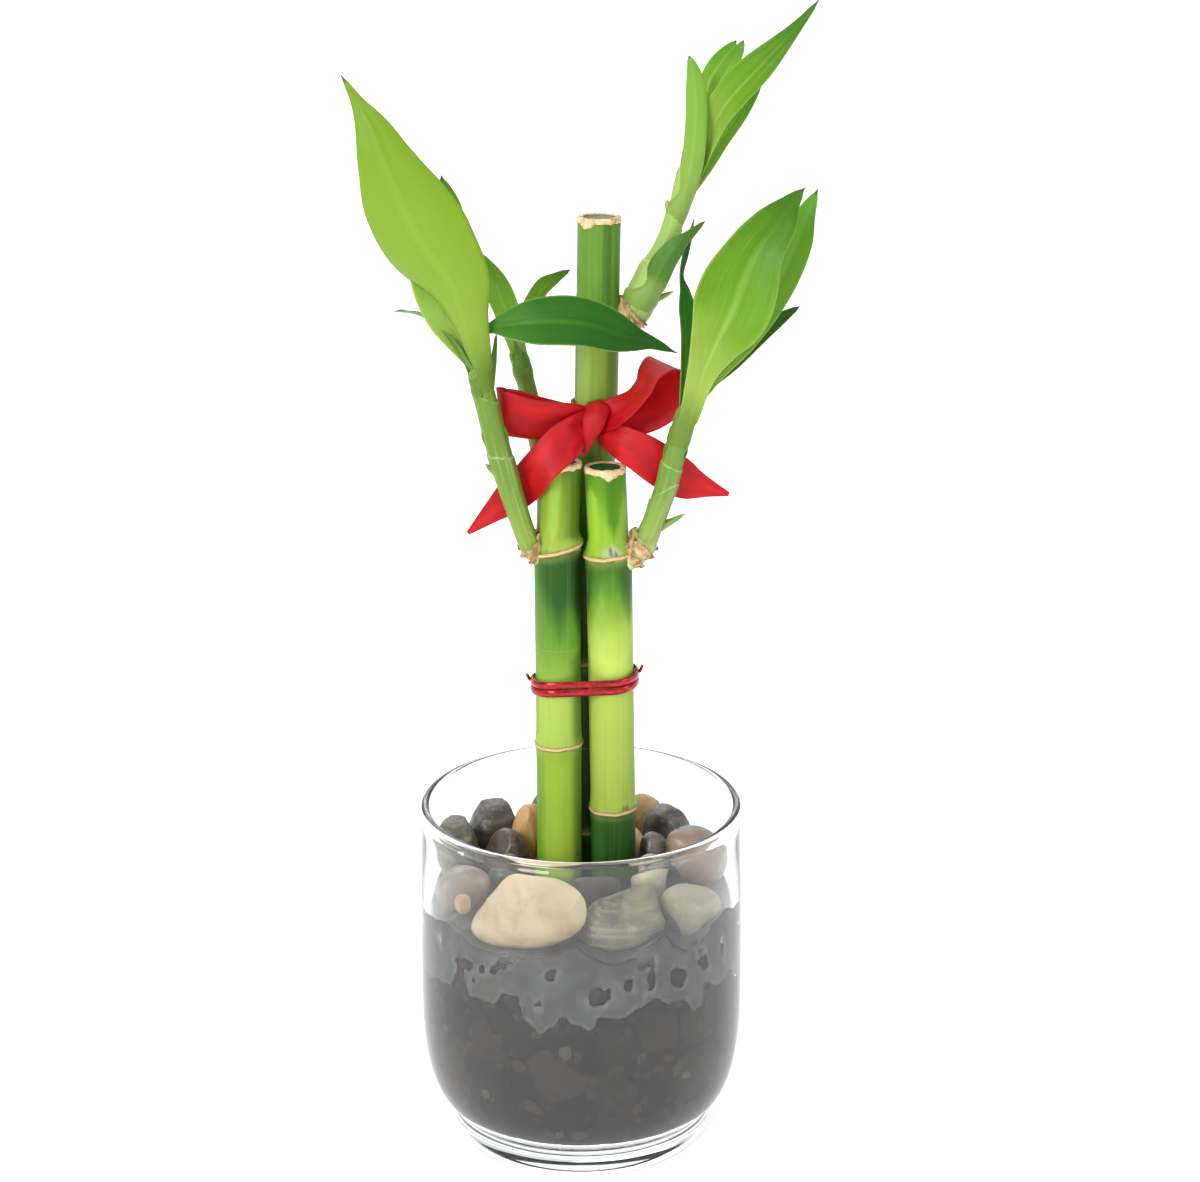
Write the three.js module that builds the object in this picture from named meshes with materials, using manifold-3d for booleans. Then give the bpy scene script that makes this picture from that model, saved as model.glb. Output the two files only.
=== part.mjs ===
// Lucky bamboo standing in gravel in a glass tumbler, with a ribbon bow and a wire tie.
// Millimetres, +Z up. The origin is the centre of the tumbler's underside; +X is the right
// hand of the front view and +Y points to the back.

import * as THREE from "three";
import { mergeVertices } from "three/addons/utils/BufferGeometryUtils.js";
import Module from "manifold-3d";

const wasm = await Module();
wasm.setup();

// ---------------------------------------------------------------- driving dimensions

const CLEARANCE = 0.3; // gap between pieces that touch
const WELD = 1e-4; // vertices closer than this are one

const GLASS_HEIGHT = 92.4;
const GLASS_RADIUS = 42.2;
const GLASS_WALL = 2.1;
const GLASS_FLOOR = 8.5; // thickness of the solid base
const GLASS_SIDES = 40;

const GRAVEL_TOP = 60.5;
const GRAVEL_SIDES = 52;
const GRAVEL_STONE = 12; // spacing of the larger stones that press against the glass
const GRAVEL_STONES_ROUND = 21; // and their number round the bed
const GRAVEL_RELIEF = 2.4; // depth of the gaps between them
const BINDER_TOP = 66;
const BINDER_SKIRT = 1.1; // thickness of the film that ran down between gravel and glass
const BINDER_LOWEST = 43.5; // lowest drip
const BINDER_SIDES = 48;

const CANE_SIDES = 16;
const CANE_FOOT = 14; // height of the buried ends
const RING_BULGE = 0.4; // how far a node ring stands out
const RING_SWELL = 5; // the cane thickens over this distance on each side of a node
const RING_LIP = 1.4; // and its ring is this high on each side
const CUT_STEP = 0.7; // a cut end is this much slimmer, and its wax sits in the step
const CUT_DEPTH = 1;
const WAX_INSET = 2.2; // how far the wax reaches in over the cut
const WAX_RISE = 0.75; // and how far it stands above it

const TIE_HEIGHT = 126; // middle of the lower turn of wire
const TIE_PITCH = 2.5;
const TIE_TURNS = 2;
const TIE_SLOPE = 0.04; // the tie runs up a little to the right
const TIE_SECTION = { thick: 0.9, tall: 1.9 };

const BLADE_THICKNESS = 0.7;
const RIBBON_THICKNESS = 0.8;

// ---------------------------------------------------------------- colours

const finish = (color, roughness, metalness = 0, extra = {}) =>
  new THREE.MeshStandardMaterial({ color, roughness, metalness, ...extra });

const FINISH = {
  glass: finish(0xe8f2f0, 0.05, 0, { transparent: true, opacity: 0.35 }),
  gravel: finish(0x3a3634, 0.7),
  binder: finish(0x8b9093, 0.35),
  cane: finish(0x7fae2e, 0.35),
  wax: finish(0xcdb583, 0.5),
  shoot: finish(0x9cc463, 0.4),
  leaf: finish(0x72b32f, 0.4),
  darkLeaf: finish(0x2f7d2a, 0.35),
  satin: finish(0xb5121b, 0.35),
  wire: finish(0xc0141c, 0.25, 0.8),
  cream: finish(0xdcc9a2, 0.45),
  beige: finish(0xb3a48c, 0.45),
  tan: finish(0xb98d5e, 0.5),
  pink: finish(0x9a7b6c, 0.5),
  greyGreen: finish(0x6f7468, 0.5),
  slate: finish(0x4d5254, 0.5),
  brown: finish(0x5c4a40, 0.5),
};

// ---------------------------------------------------------------- small helpers

const vec = ([x, y, z]) => new THREE.Vector3(x, y, z);
const lerp = (a, b, t) => a + (b - a) * t;
const clamp01 = (t) => Math.min(1, Math.max(0, t));
const smooth = (a, b, x) => {
  const t = clamp01((x - a) / (b - a));
  return t * t * (3 - 2 * t);
};

/** A repeatable number from 0 to 1 for a pair of whole numbers. */
function hash(i, j = 0) {
  const s = Math.sin(i * 127.1 + j * 311.7) * 43758.5453;
  return s - Math.floor(s);
}

/** A smooth curve through [x, y, z] points, read at t from 0 to 1. */
const curveThrough = (points) =>
  new THREE.CatmullRomCurve3(points.map(vec), false, "catmullrom", 0.5);

/** A smooth run through plain numbers that are spaced like the points of a curve. */
function runThrough(numbers) {
  const curve = curveThrough(numbers.map((n) => [n, 0, 0]));
  return (t) => Math.max(0, curve.getPoint(t).x);
}

/** Closed geometry from a list of vertices and a list of triangles. */
function closedGeometry(vertices, triangles) {
  const geometry = new THREE.BufferGeometry();
  geometry.setAttribute(
    "position",
    new THREE.Float32BufferAttribute(vertices.flatMap((v) => v.toArray()), 3),
  );
  geometry.setIndex(triangles.flat());
  return geometry;
}

/** Skin over rings of equal count, each running anticlockwise about the way they advance. */
function loft(rings) {
  const sides = rings[0].length;
  const triangles = [];
  const at = (ring, side) => ring * sides + (side % sides);
  for (let ring = 0; ring < rings.length - 1; ring++)
    for (let side = 0; side < sides; side++) {
      triangles.push([at(ring, side), at(ring, side + 1), at(ring + 1, side + 1)]);
      triangles.push([at(ring, side), at(ring + 1, side + 1), at(ring + 1, side)]);
    }
  const vertices = rings.flat();
  const last = rings.length - 1;
  const centre = (ring) =>
    ring.reduce((sum, p) => sum.add(p), new THREE.Vector3()).divideScalar(sides);
  vertices.push(centre(rings[0]), centre(rings[last]));
  for (let side = 0; side < sides; side++) {
    triangles.push([vertices.length - 2, at(0, side + 1), at(0, side)]);
    triangles.push([vertices.length - 1, at(last, side), at(last, side + 1)]);
  }
  return closedGeometry(vertices, triangles);
}

/** Ring-shaped skin: profile(angle) gives [radius, z] points, anticlockwise, closed on itself. */
function turnedRing(profile, sides, place = (p) => p) {
  const rows = profile(0).length;
  const vertices = [];
  for (let side = 0; side < sides; side++) {
    const angle = (2 * Math.PI * side) / sides;
    for (const [radius, z] of profile(angle))
      vertices.push(
        place(new THREE.Vector3(radius * Math.cos(angle), radius * Math.sin(angle), z)),
      );
  }
  const at = (side, row) => (side % sides) * rows + (row % rows);
  const triangles = [];
  for (let side = 0; side < sides; side++)
    for (let row = 0; row < rows; row++) {
      triangles.push([at(side, row), at(side + 1, row), at(side + 1, row + 1)]);
      triangles.push([at(side, row), at(side + 1, row + 1), at(side, row + 1)]);
    }
  return closedGeometry(vertices, triangles);
}

/** Disc-shaped skin: profile(angle) runs from the lower middle, outwards and up to the upper one. */
function turnedSolid(profile, sides) {
  const inner = profile(0).length - 2;
  const at = (side, row) => (side % sides) * inner + row;
  const vertices = [];
  let low = 0;
  let high = 0;
  for (let side = 0; side < sides; side++) {
    const angle = (2 * Math.PI * side) / sides;
    const points = profile(angle);
    low = points[0][1];
    high = points[points.length - 1][1];
    for (const [radius, z] of points.slice(1, -1))
      vertices.push(new THREE.Vector3(radius * Math.cos(angle), radius * Math.sin(angle), z));
  }
  vertices.push(new THREE.Vector3(0, 0, low), new THREE.Vector3(0, 0, high));
  const triangles = [];
  for (let side = 0; side < sides; side++) {
    triangles.push([vertices.length - 2, at(side + 1, 0), at(side, 0)]);
    triangles.push([vertices.length - 1, at(side, inner - 1), at(side + 1, inner - 1)]);
    for (let row = 0; row < inner - 1; row++) {
      triangles.push([at(side, row), at(side + 1, row), at(side + 1, row + 1)]);
      triangles.push([at(side, row), at(side + 1, row + 1), at(side, row + 1)]);
    }
  }
  return closedGeometry(vertices, triangles);
}

/** Closed geometry as a solid that can be joined and cut. */
function solidOf(geometry) {
  const bare = geometry.clone();
  bare.deleteAttribute("normal");
  bare.deleteAttribute("uv");
  const merged = mergeVertices(bare, WELD);
  return new wasm.Manifold(
    new wasm.Mesh({
      numProp: 3,
      vertProperties: merged.attributes.position.array,
      triVerts: new Uint32Array(merged.index.array),
    }),
  );
}

/** A solid back as geometry. */
function geometryOf(solid) {
  const mesh = solid.getMesh();
  const geometry = new THREE.BufferGeometry();
  geometry.setAttribute("position", new THREE.BufferAttribute(mesh.vertProperties, 3));
  geometry.setIndex(new THREE.BufferAttribute(mesh.triVerts, 1));
  return geometry;
}

/** The largest body of a solid, so that no scrap stays after a cut. */
function largestBody(solid) {
  return solid.decompose().reduce((best, body) => (body.volume() > best.volume() ? body : best));
}

/** A solid cut back from others, which are passed already grown by the clearance. */
function clearOf(solid, ...grown) {
  return largestBody(grown.reduce((rest, other) => rest.subtract(other), solid));
}

// ---------------------------------------------------------------- tumbler

const bellyOutside = [
  [33.8, 0],
  [34.5, 0.8],
  [34.6, 6.5],
  [35.5, 8.2],
  [37.4, 10],
  [39.4, 13],
  [41.2, 18],
  [42.5, 26],
  [42.9, 36],
  [42.7, 56],
  [42.4, 76],
  [GLASS_RADIUS, GLASS_HEIGHT - 1],
  [GLASS_RADIUS - 0.5, GLASS_HEIGHT - 0.1],
];
const bellyInside = [
  [GLASS_RADIUS - GLASS_WALL + 0.5, GLASS_HEIGHT],
  [GLASS_RADIUS - GLASS_WALL, GLASS_HEIGHT - 0.9],
  [40.3, 76],
  [40.6, 56],
  [40.8, 36],
  [40.3, 26],
  [38.7, 18.5],
  [35.6, 12.6],
  [31, 9.6],
  [24, GLASS_FLOOR],
];

/** Radius of the tumbler's inner wall at a height. */
function innerRadius(z) {
  for (let i = 0; i < bellyInside.length - 1; i++) {
    const [r1, z1] = bellyInside[i];
    const [r0, z0] = bellyInside[i + 1];
    if (z >= z0) return lerp(r0, r1, clamp01((z - z0) / (z1 - z0)));
  }
  return bellyInside[bellyInside.length - 1][0];
}

/** Radius that stays clear of the inner wall, flat facets included. */
function fillRadius(z) {
  const facet = Math.cos(Math.PI / GLASS_SIDES);
  return innerRadius(z) * facet - CLEARANCE;
}

function tumbler() {
  const profile = [[0, 0], ...bellyOutside, ...bellyInside, [0, GLASS_FLOOR]];
  return turnedSolid(() => profile, GLASS_SIDES);
}

// ---------------------------------------------------------------- gravel and binder

/** Depth of the gravel's face at an angle and a height: 0 on a large stone, most between two. */
function gravelInset(angle, z) {
  const across = (angle / (2 * Math.PI)) * GRAVEL_STONES_ROUND;
  const up = z / GRAVEL_STONE;
  const distances = [];
  for (let i = Math.floor(across) - 1; i <= Math.floor(across) + 1; i++)
    for (let j = Math.floor(up) - 1; j <= Math.floor(up) + 1; j++) {
      const column = (i + GRAVEL_STONES_ROUND) % GRAVEL_STONES_ROUND;
      const x = i + 0.2 + 0.6 * hash(column, j);
      const y = j + 0.2 + 0.6 * hash(j, column + GRAVEL_STONES_ROUND);
      distances.push(Math.hypot(across - x, up - y));
    }
  const [nearest, second] = distances.sort((a, b) => a - b);
  return GRAVEL_RELIEF * (1 - smooth(0, 0.45, second - nearest));
}

/** Lower edge of the binder's skirt: long and short drips side by side. */
function dripEdge(angle) {
  const broad = 0.5 + 0.5 * Math.sin(3 * angle + 0.6);
  const fine = 0.5 + 0.5 * Math.sin(11 * angle + 1.3 * Math.sin(4 * angle));
  return lerp(BINDER_LOWEST, GRAVEL_TOP - 3, 0.45 * broad + 0.55 * fine);
}

/** Gravel from the glass floor up to the binder, drawn in where the skirt runs down. */
function gravelProfile(angle) {
  const bottom = GLASS_FLOOR + CLEARANCE;
  const shoulder = BINDER_LOWEST - 0.6;
  const wall = [14, 19, 24.5, 30, 35.5, shoulder - 1].map((z) => [
    fillRadius(z) - gravelInset(angle, z),
    z,
  ]);
  const drawnIn = BINDER_SKIRT + CLEARANCE;
  const behind = [shoulder, 48.5, 54, GRAVEL_TOP].map((z) => [
    fillRadius(z) - drawnIn - gravelInset(angle, z),
    z,
  ]);
  return [
    [0, bottom],
    [23, bottom],
    [fillRadius(11) - 1.2, 11],
    ...wall,
    ...behind,
    [22, GRAVEL_TOP - 0.5 * gravelInset(angle, GRAVEL_TOP)],
    [0, GRAVEL_TOP - 0.4],
  ];
}

/** Binder layer with the skirt of drips that hangs from its rim. */
function binderProfile(angle) {
  const low = GRAVEL_TOP + CLEARANCE;
  const edge = dripEdge(angle);
  const film = fillRadius(50) - BINDER_SKIRT;
  const swell = (k) => 0.5 * Math.sin(k * angle + k);
  return [
    [0, low],
    [20, low],
    [film, low],
    [film, lerp(low, edge, 0.5)],
    [film, edge],
    [fillRadius(edge), edge + 0.3],
    [fillRadius(52), lerp(edge, low, 0.5)],
    [fillRadius(62), low],
    [fillRadius(66), BINDER_TOP + swell(5)],
    [27, BINDER_TOP - 0.3 + swell(7)],
    [14, BINDER_TOP - 0.3 + swell(4)],
    [0, BINDER_TOP],
  ];
}

// ---------------------------------------------------------------- canes

const CANES = [
  {
    name: "cane_left",
    path: [[-5.6, -3.4, CANE_FOOT], [-5.7, -3.4, 110.1], [-5.9, -3.4, 163.1], [-5.1, -3.4, 185.1]],
    radius: { below: 5.85, above: 5.4 },
    rings: [
      { z: 110.1, tilt: 0.02, bulge: RING_BULGE },
      { z: 163.1, tilt: 0.22, bulge: 2 * RING_BULGE },
    ],
    waxRun: { angle: -1.9, depth: 0.4 },
  },
  {
    name: "cane_right",
    path: [[9.2, -3.4, CANE_FOOT], [8.4, -3.4, 92.2], [7.3, -3.4, 161.5], [6.3, -3.4, 183.8]],
    radius: { below: 5.85, above: 5.2 },
    rings: [
      { z: 92.2, tilt: 0.03, bulge: RING_BULGE },
      { z: 161.5, tilt: 0.1, bulge: 2 * RING_BULGE },
    ],
    waxRun: { angle: -1.4, depth: 2.2 },
  },
  {
    name: "cane_rear",
    path: [[0.7, 7.7, CANE_FOOT], [0.8, 7.7, 129.5], [4, 7.7, 197.4], [4.8, 7.7, 245]],
    radius: { below: 5.5, above: 5.4 },
    rings: [
      { z: 82, tilt: 0, bulge: RING_BULGE },
      { z: 129.5, tilt: -0.02, bulge: 0.75 * RING_BULGE },
      { z: 219.8, tilt: 0.08, bulge: 1.5 * RING_BULGE },
    ],
    waxRun: { angle: -1.5, depth: 1.6 },
  },
];

/** Axis point of a cane at a height: straight between its given points, eased at the bends. */
function caneAxis(cane, z) {
  const { path } = cane;
  const i = Math.max(
    0,
    path.findLastIndex((p, k) => k < path.length - 1 && z >= p[2]),
  );
  const t = (z - path[i][2]) / (path[i + 1][2] - path[i][2]);
  return vec(path[i]).lerp(vec(path[i + 1]), t);
}

/** Height of a cane's cut top. */
const caneTop = (cane) => cane.path[cane.path.length - 1][2];

/** Radius of a cane at a height, node rings and the stepped cut end included. */
function caneRadius(cane, z) {
  const upper = cane.rings[cane.rings.length - 1].z;
  let radius = lerp(cane.radius.below, cane.radius.above, smooth(upper, upper + 4, z));
  for (const ring of cane.rings) {
    const swell = 1 - smooth(0.5, RING_SWELL, Math.abs(z - ring.z));
    const lip = 1 - smooth(0, RING_LIP, Math.abs(z - ring.z));
    radius += ring.bulge * (0.45 * swell + 0.55 * lip);
  }
  const inStep = z > caneTop(cane) - CUT_DEPTH;
  return inStep ? radius - CUT_STEP : radius;
}

/** Heights at which a cane's section is drawn: close together at the rings and the cut. */
function caneLevels(cane) {
  const steps = [-RING_SWELL, -RING_LIP, 0, RING_LIP, RING_SWELL];
  const near = cane.rings.flatMap(({ z }) => steps.map((step) => z + step));
  const step = caneTop(cane) - CUT_DEPTH;
  return [CANE_FOOT, ...near, step, step + 0.05, caneTop(cane)];
}

function caneGeometry(cane, grow = 0) {
  const rings = caneLevels(cane).map((z) => {
    const middle = caneAxis(cane, z);
    const radius = caneRadius(cane, z) + grow;
    const nearest = cane.rings.find((ring) => Math.abs(z - ring.z) <= RING_LIP + 0.1);
    const tilt = nearest ? nearest.tilt : 0;
    return Array.from({ length: CANE_SIDES }, (_, side) => {
      const angle = (2 * Math.PI * side) / CANE_SIDES;
      const dx = radius * Math.cos(angle);
      return new THREE.Vector3(
        middle.x + dx,
        middle.y + radius * Math.sin(angle),
        z + tilt * dx,
      );
    });
  });
  if (grow > 0) {
    rings[0].forEach((p) => (p.z -= grow));
    rings[rings.length - 1].forEach((p) => (p.z += grow));
  }
  return loft(rings);
}

/** Wax round the rim of a cut cane, with a run on one side. */
function waxSeal(cane) {
  const top = cane.path[cane.path.length - 1];
  const radius = cane.radius.above;
  const inStep = radius - CUT_STEP + CLEARANCE;
  const ledge = CLEARANCE - CUT_DEPTH;
  const { angle: runAngle, depth } = cane.waxRun;
  const profile = (angle) => {
    const run = 1 - smooth(0.12, 0.5, Math.abs(Math.sin((angle - runAngle) / 2)));
    const outside = radius + lerp(0.25, 1, run);
    const low = ledge - 0.05 - depth * run;
    return [
      [inStep, ledge],
      [inStep + 0.1, low],
      [outside, low],
      [outside, CLEARANCE],
      [radius - 0.3, WAX_RISE],
      [radius - WAX_INSET, WAX_RISE - 0.1],
      [radius - WAX_INSET, CLEARANCE],
      [inStep, CLEARANCE],
    ];
  };
  return turnedRing(profile, CANE_SIDES, (p) => p.add(vec(top)));
}

// ---------------------------------------------------------------- shoots

// Each point of a shoot is [x, y, z, radius]. A bud is at a share of the path, on one side.
const SHOOTS = [
  {
    name: "shoot_left",
    path: [
      [-8.5, -4.2, 160, 2.6], [-12, -5, 163.4, 2.9], [-14.3, -7, 169, 2.7], [-18, -10, 182.4, 3],
      [-21.2, -12, 195.2, 2.95], [-23.5, -13.3, 205.6, 2.7], [-25, -14, 213.2, 2.3],
      [-26.5, -14.5, 219, 1],
    ],
    buds: [{ at: 0.43, side: [-1, 0, 0], reach: 1.4 }],
  },
  {
    name: "shoot_right",
    path: [
      [11, -4, 159.5, 3.2], [15.3, -5, 163.4, 3.3], [18.1, -6.5, 169.7, 2.8],
      [20.8, -8, 177.9, 2.8], [23.2, -9, 187.3, 2.7], [25.3, -9.8, 196, 2.6],
      [27.2, -10.4, 203, 2.2], [29, -11, 209, 1],
    ],
    buds: [{ at: 0.25, side: [1, 0, 0.1], reach: 4.6 }],
  },
  {
    name: "shoot_top",
    path: [
      [8.5, 8, 218.5, 3.6], [13, 8, 221.1, 4.3], [15.2, 7.5, 225, 4.2], [18, 7.2, 231, 3.9],
      [20.8, 7, 237, 2.9], [23.4, 7.5, 244.4, 2.4], [25.6, 8, 252, 2.4], [27.9, 9, 262, 2],
      [29.5, 10, 268, 0.9],
    ],
    buds: [
      { at: 0.18, side: [1, 0, 0], reach: 3 },
      { at: 0.64, side: [-1, 0, 0], reach: 1.2 },
    ],
  },
  {
    name: "shoot_back",
    path: [
      [-6.8, 0.4, 160, 2.2], [-7.6, 4.4, 164, 2.4], [-8.6, 5.4, 171, 2.2], [-9.6, 6, 179, 2.2],
      [-11, 6.5, 188.4, 2.2], [-12.7, 6.8, 198.7, 2.3], [-14.7, 6.8, 207, 2.2],
      [-16.6, 6.5, 214, 1.8], [-17.8, 6.3, 219, 0.8],
    ],
    buds: [],
  },
];
const SHOOT_SIDES = 10;
const SHOOT_STEPS = 13;
const BUD = { rise: 4.5, root: 1.3, tip: 0.35, steps: 3, sides: 6 };

/** Round tube of changing radius along a curve. */
function taperedTube(curve, radiusAt, steps, sides) {
  const frames = curve.computeFrenetFrames(steps, false);
  const rings = [];
  for (let i = 0; i <= steps; i++) {
    const t = i / steps;
    const middle = curve.getPointAt(t);
    const radius = radiusAt(curve.getUtoTmapping(t));
    rings.push(
      Array.from({ length: sides }, (_, side) => {
        const angle = (2 * Math.PI * side) / sides;
        return middle
          .clone()
          .addScaledVector(frames.normals[i], radius * Math.cos(angle))
          .addScaledVector(frames.binormals[i], radius * Math.sin(angle));
      }),
    );
  }
  return loft(rings);
}

function shootSolid(shoot, grow = 0) {
  const curve = curveThrough(shoot.path);
  const radius = runThrough(shoot.path.map((point) => point[3]));
  const stem = solidOf(taperedTube(curve, (t) => radius(t) + grow, SHOOT_STEPS, SHOOT_SIDES));
  return shoot.buds.reduce((whole, bud) => whole.add(budSolid(curve, radius, bud, grow)), stem);
}

/** Pointed bud on the side of a shoot. */
function budSolid(curve, radius, bud, grow) {
  const start = curve.getPoint(bud.at);
  const along = curve.getTangent(bud.at);
  const out = vec(bud.side).normalize();
  const reach = radius(bud.at) + bud.reach;
  const tip = start.clone().addScaledVector(out, reach).addScaledVector(along, BUD.rise);
  const path = new THREE.CatmullRomCurve3([
    start,
    start.clone().lerp(tip, 0.6).addScaledVector(out, 0.4),
    tip,
  ]);
  const budRadius = (t) => lerp(BUD.root, BUD.tip, t) + grow;
  return solidOf(taperedTube(path, budRadius, BUD.steps, BUD.sides));
}

// ---------------------------------------------------------------- leaves

// Each spine point is [x, y, z, half width]. face is the way the upper side looks at the base
// and at the tip, and cup is how far the edges rise to it, as a share of the half width.
const LEAVES = [
  {
    name: "leaf_left_1",
    shoot: "shoot_left",
    spine: [
      [-24.7, -16.2, 212.9, 2.9], [-27.7, -17.4, 224.3, 5.2], [-30.6, -18.2, 233.4, 8.7],
      [-36.9, -18.6, 242.6, 11.5], [-42, -18, 252.2, 10.6], [-45.8, -17, 261.6, 7.3],
      [-49, -15.5, 269.8, 4.4], [-52.8, -13.5, 276.6, 1.5], [-56.3, -12, 282.2, 0.4],
    ],
    face: [[0.35, 0.9, 0.2], [-0.25, 0.95, 0.2]],
    cup: [0.8, 0.1],
    columns: 4,
    rows: 12,
  },
  {
    name: "leaf_left_2",
    shoot: "shoot_left",
    spine: [
      [-26.2, -13, 210.5, 2.6], [-31.8, -9, 217.7, 3.6], [-34.4, -5, 220.1, 4.2],
      [-37.9, -1, 221.6, 4], [-41.9, 3, 222, 2.8], [-46.6, 7, 221.5, 0.4],
    ],
    face: [[0.3, 0.25, 0.9], [0.1, 0.3, 0.95]],
    cup: [0.5, 0.1],
    columns: 2,
    rows: 8,
  },
  {
    name: "leaf_left_3",
    shoot: "shoot_left",
    spine: [
      [-26.4, -11.5, 213, 2], [-32.2, -9.3, 224, 5.6], [-34.3, -8, 234.6, 7.3],
      [-33.2, -7, 243.1, 6.1], [-32.6, -6, 250.4, 3.8], [-33.4, -5, 257.4, 0.4],
    ],
    face: [[0.1, -0.95, 0.2], [0.2, -0.95, 0.1]],
    cup: [0.6, 0.1],
    columns: 4,
    rows: 9,
  },
  {
    name: "leaf_left_4",
    shoot: "shoot_left",
    spine: [
      [-25.6, -14, 217.5, 0.9], [-22.3, -14, 221.3, 1.1], [-16.6, -14.3, 222.5, 3.9],
      [-10.3, -15, 223.3, 6], [-3.2, -15.5, 223.6, 6.6], [2.6, -15.5, 222.8, 6.2],
      [8.6, -15, 220.7, 5.2], [13.5, -14.5, 219.1, 3.4], [17.9, -14, 217.9, 1.7],
      [23.8, -13, 215.3, 0.4],
    ],
    face: [[0, -0.85, 0.5], [0.15, -0.8, 0.6]],
    cup: [0.25, 0.1],
    columns: 4,
    rows: 12,
  },
  {
    name: "leaf_left_5",
    shoot: "shoot_left",
    spine: [
      [-22.4, -11.5, 201, 1.6], [-21.6, -10.6, 207, 1.4], [-21, -10, 212.6, 1.2],
      [-20.4, -9.5, 219.3, 0.4],
    ],
    face: [[-0.75, -0.6, 0], [-0.75, -0.6, 0]],
    cup: [0.4, 0.1],
    columns: 2,
    rows: 6,
  },
  {
    name: "leaf_back_1",
    shoot: "shoot_back",
    spine: [
      [-15.8, 5.6, 211.5, 2], [-17.6, 7, 218.3, 3], [-20.1, 8, 225.5, 3.4],
      [-23, 9, 231.1, 2.6], [-26, 10, 236.5, 0.4],
    ],
    face: [[0.3, -0.9, 0.2], [0.1, -0.95, 0.2]],
    cup: [0.7, 0.15],
    columns: 2,
    rows: 8,
  },
  {
    name: "leaf_back_2",
    shoot: "shoot_back",
    spine: [
      [-15.4, 7.2, 214, 1.6], [-12.6, 9, 221.5, 2.2], [-9.3, 11, 226.7, 2.3],
      [-6.1, 12.5, 228.9, 1.5], [-2.6, 14, 230.7, 0.4],
    ],
    face: [[-0.4, -0.85, 0.3], [-0.3, -0.8, 0.5]],
    cup: [0.6, 0.15],
    columns: 2,
    rows: 8,
  },
  {
    name: "leaf_right_1",
    shoot: "shoot_right",
    spine: [
      [25.4, -8, 196, 1.6], [26, -5.6, 206, 2.2], [26.3, -3, 215.1, 3], [26.1, 1, 221.8, 3.4],
      [25.7, 4, 227, 2], [25.2, 6, 230.9, 0.8], [26, 8, 235.6, 1.3], [27, 10, 239, 1.1],
      [28.5, 12, 243.9, 0.4],
    ],
    face: [[0.55, -0.8, 0], [0.8, -0.5, 0]],
    cup: [0.5, 0.3],
    columns: 2,
    rows: 12,
  },
  {
    name: "leaf_right_2",
    shoot: "shoot_right",
    spine: [
      [28.6, -8.6, 200.5, 2.7], [30.2, -10, 209.5, 3.6], [33.4, -11.6, 217.5, 6.4],
      [36.9, -12.8, 225, 9.4], [39.4, -13.3, 232.8, 9.3], [42.9, -12.9, 240.8, 6.9],
      [48, -11.5, 247.5, 4.9], [51.2, -10, 251.7, 2.3], [54.4, -8.5, 255, 0.4],
    ],
    face: [[-0.35, -0.9, 0.15], [0.1, -0.95, 0.25]],
    cup: [0.7, 0.1],
    columns: 4,
    rows: 12,
  },
  {
    name: "leaf_right_3",
    shoot: "shoot_right",
    spine: [
      [28.6, -8.6, 202, 1.6], [34.5, -5, 209.5, 2.6], [41, -3.4, 217, 3.6],
      [48.1, -2, 228.8, 4.6], [53, 0, 239.5, 4.3], [55.6, 1.5, 246.7, 2.5],
      [58.5, 3, 252.8, 0.4],
    ],
    face: [[-0.3, -0.9, 0.3], [-0.1, -0.9, 0.4]],
    cup: [0.4, 0.15],
    columns: 4,
    rows: 9,
  },
  {
    name: "leaf_right_4",
    shoot: "shoot_right",
    spine: [
      [27.4, -7.2, 198.5, 1.4], [32, -3.2, 205, 1.9], [38.5, -0.8, 210.6, 2.3],
      [46, 1, 217.7, 2.3], [50.3, 2.4, 220.8, 1.6], [54.8, 4, 223.4, 0.4],
    ],
    face: [[-0.3, -0.8, 0.5], [-0.2, -0.85, 0.5]],
    cup: [0.4, 0.15],
    columns: 2,
    rows: 8,
  },
  {
    name: "leaf_top_1",
    shoot: "shoot_top",
    spine: [
      [26.2, 5.2, 252.6, 2.4], [27.7, 4.6, 260, 2.7], [28.4, 4.6, 269.4, 2.7],
      [28.3, 5, 276.7, 2.5], [27.6, 5.5, 281.4, 1.6], [26.6, 6, 284.8, 0.4],
    ],
    face: [[0.2, 0.95, 0.1], [0.1, 0.95, 0.1]],
    cup: [0.8, 0.3],
    columns: 4,
    rows: 8,
  },
  {
    name: "leaf_top_2",
    shoot: "shoot_top",
    spine: [
      [29.2, 10.6, 255.4, 2], [31.6, 9, 263.2, 2.8], [34.2, 6.5, 270.5, 3.8],
      [38.2, 4, 276.5, 4.4], [43, 2.6, 281.8, 4.1], [47.9, 2.2, 287.1, 2.8],
      [53.2, 2.5, 292.9, 1.3], [57.6, 3, 298.3, 0.4],
    ],
    face: [[-0.5, -0.85, 0.2], [-0.2, -0.9, 0.3]],
    cup: [0.7, 0.15],
    columns: 4,
    rows: 11,
  },
  {
    name: "leaf_top_3",
    shoot: "shoot_top",
    spine: [
      [29.2, 12.5, 262, 1.2], [30.9, 15, 270.7, 1.6], [31.7, 17.2, 276.6, 2.2],
      [34, 18.5, 280.8, 2.4], [36.7, 19.5, 284.2, 1.8], [38.8, 20.2, 287, 0.4],
    ],
    face: [[0, -0.95, 0.2], [-0.1, -0.9, 0.3]],
    cup: [0.5, 0.2],
    columns: 2,
    rows: 8,
  },
  {
    name: "leaf_top_4",
    shoot: "shoot_top",
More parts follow.
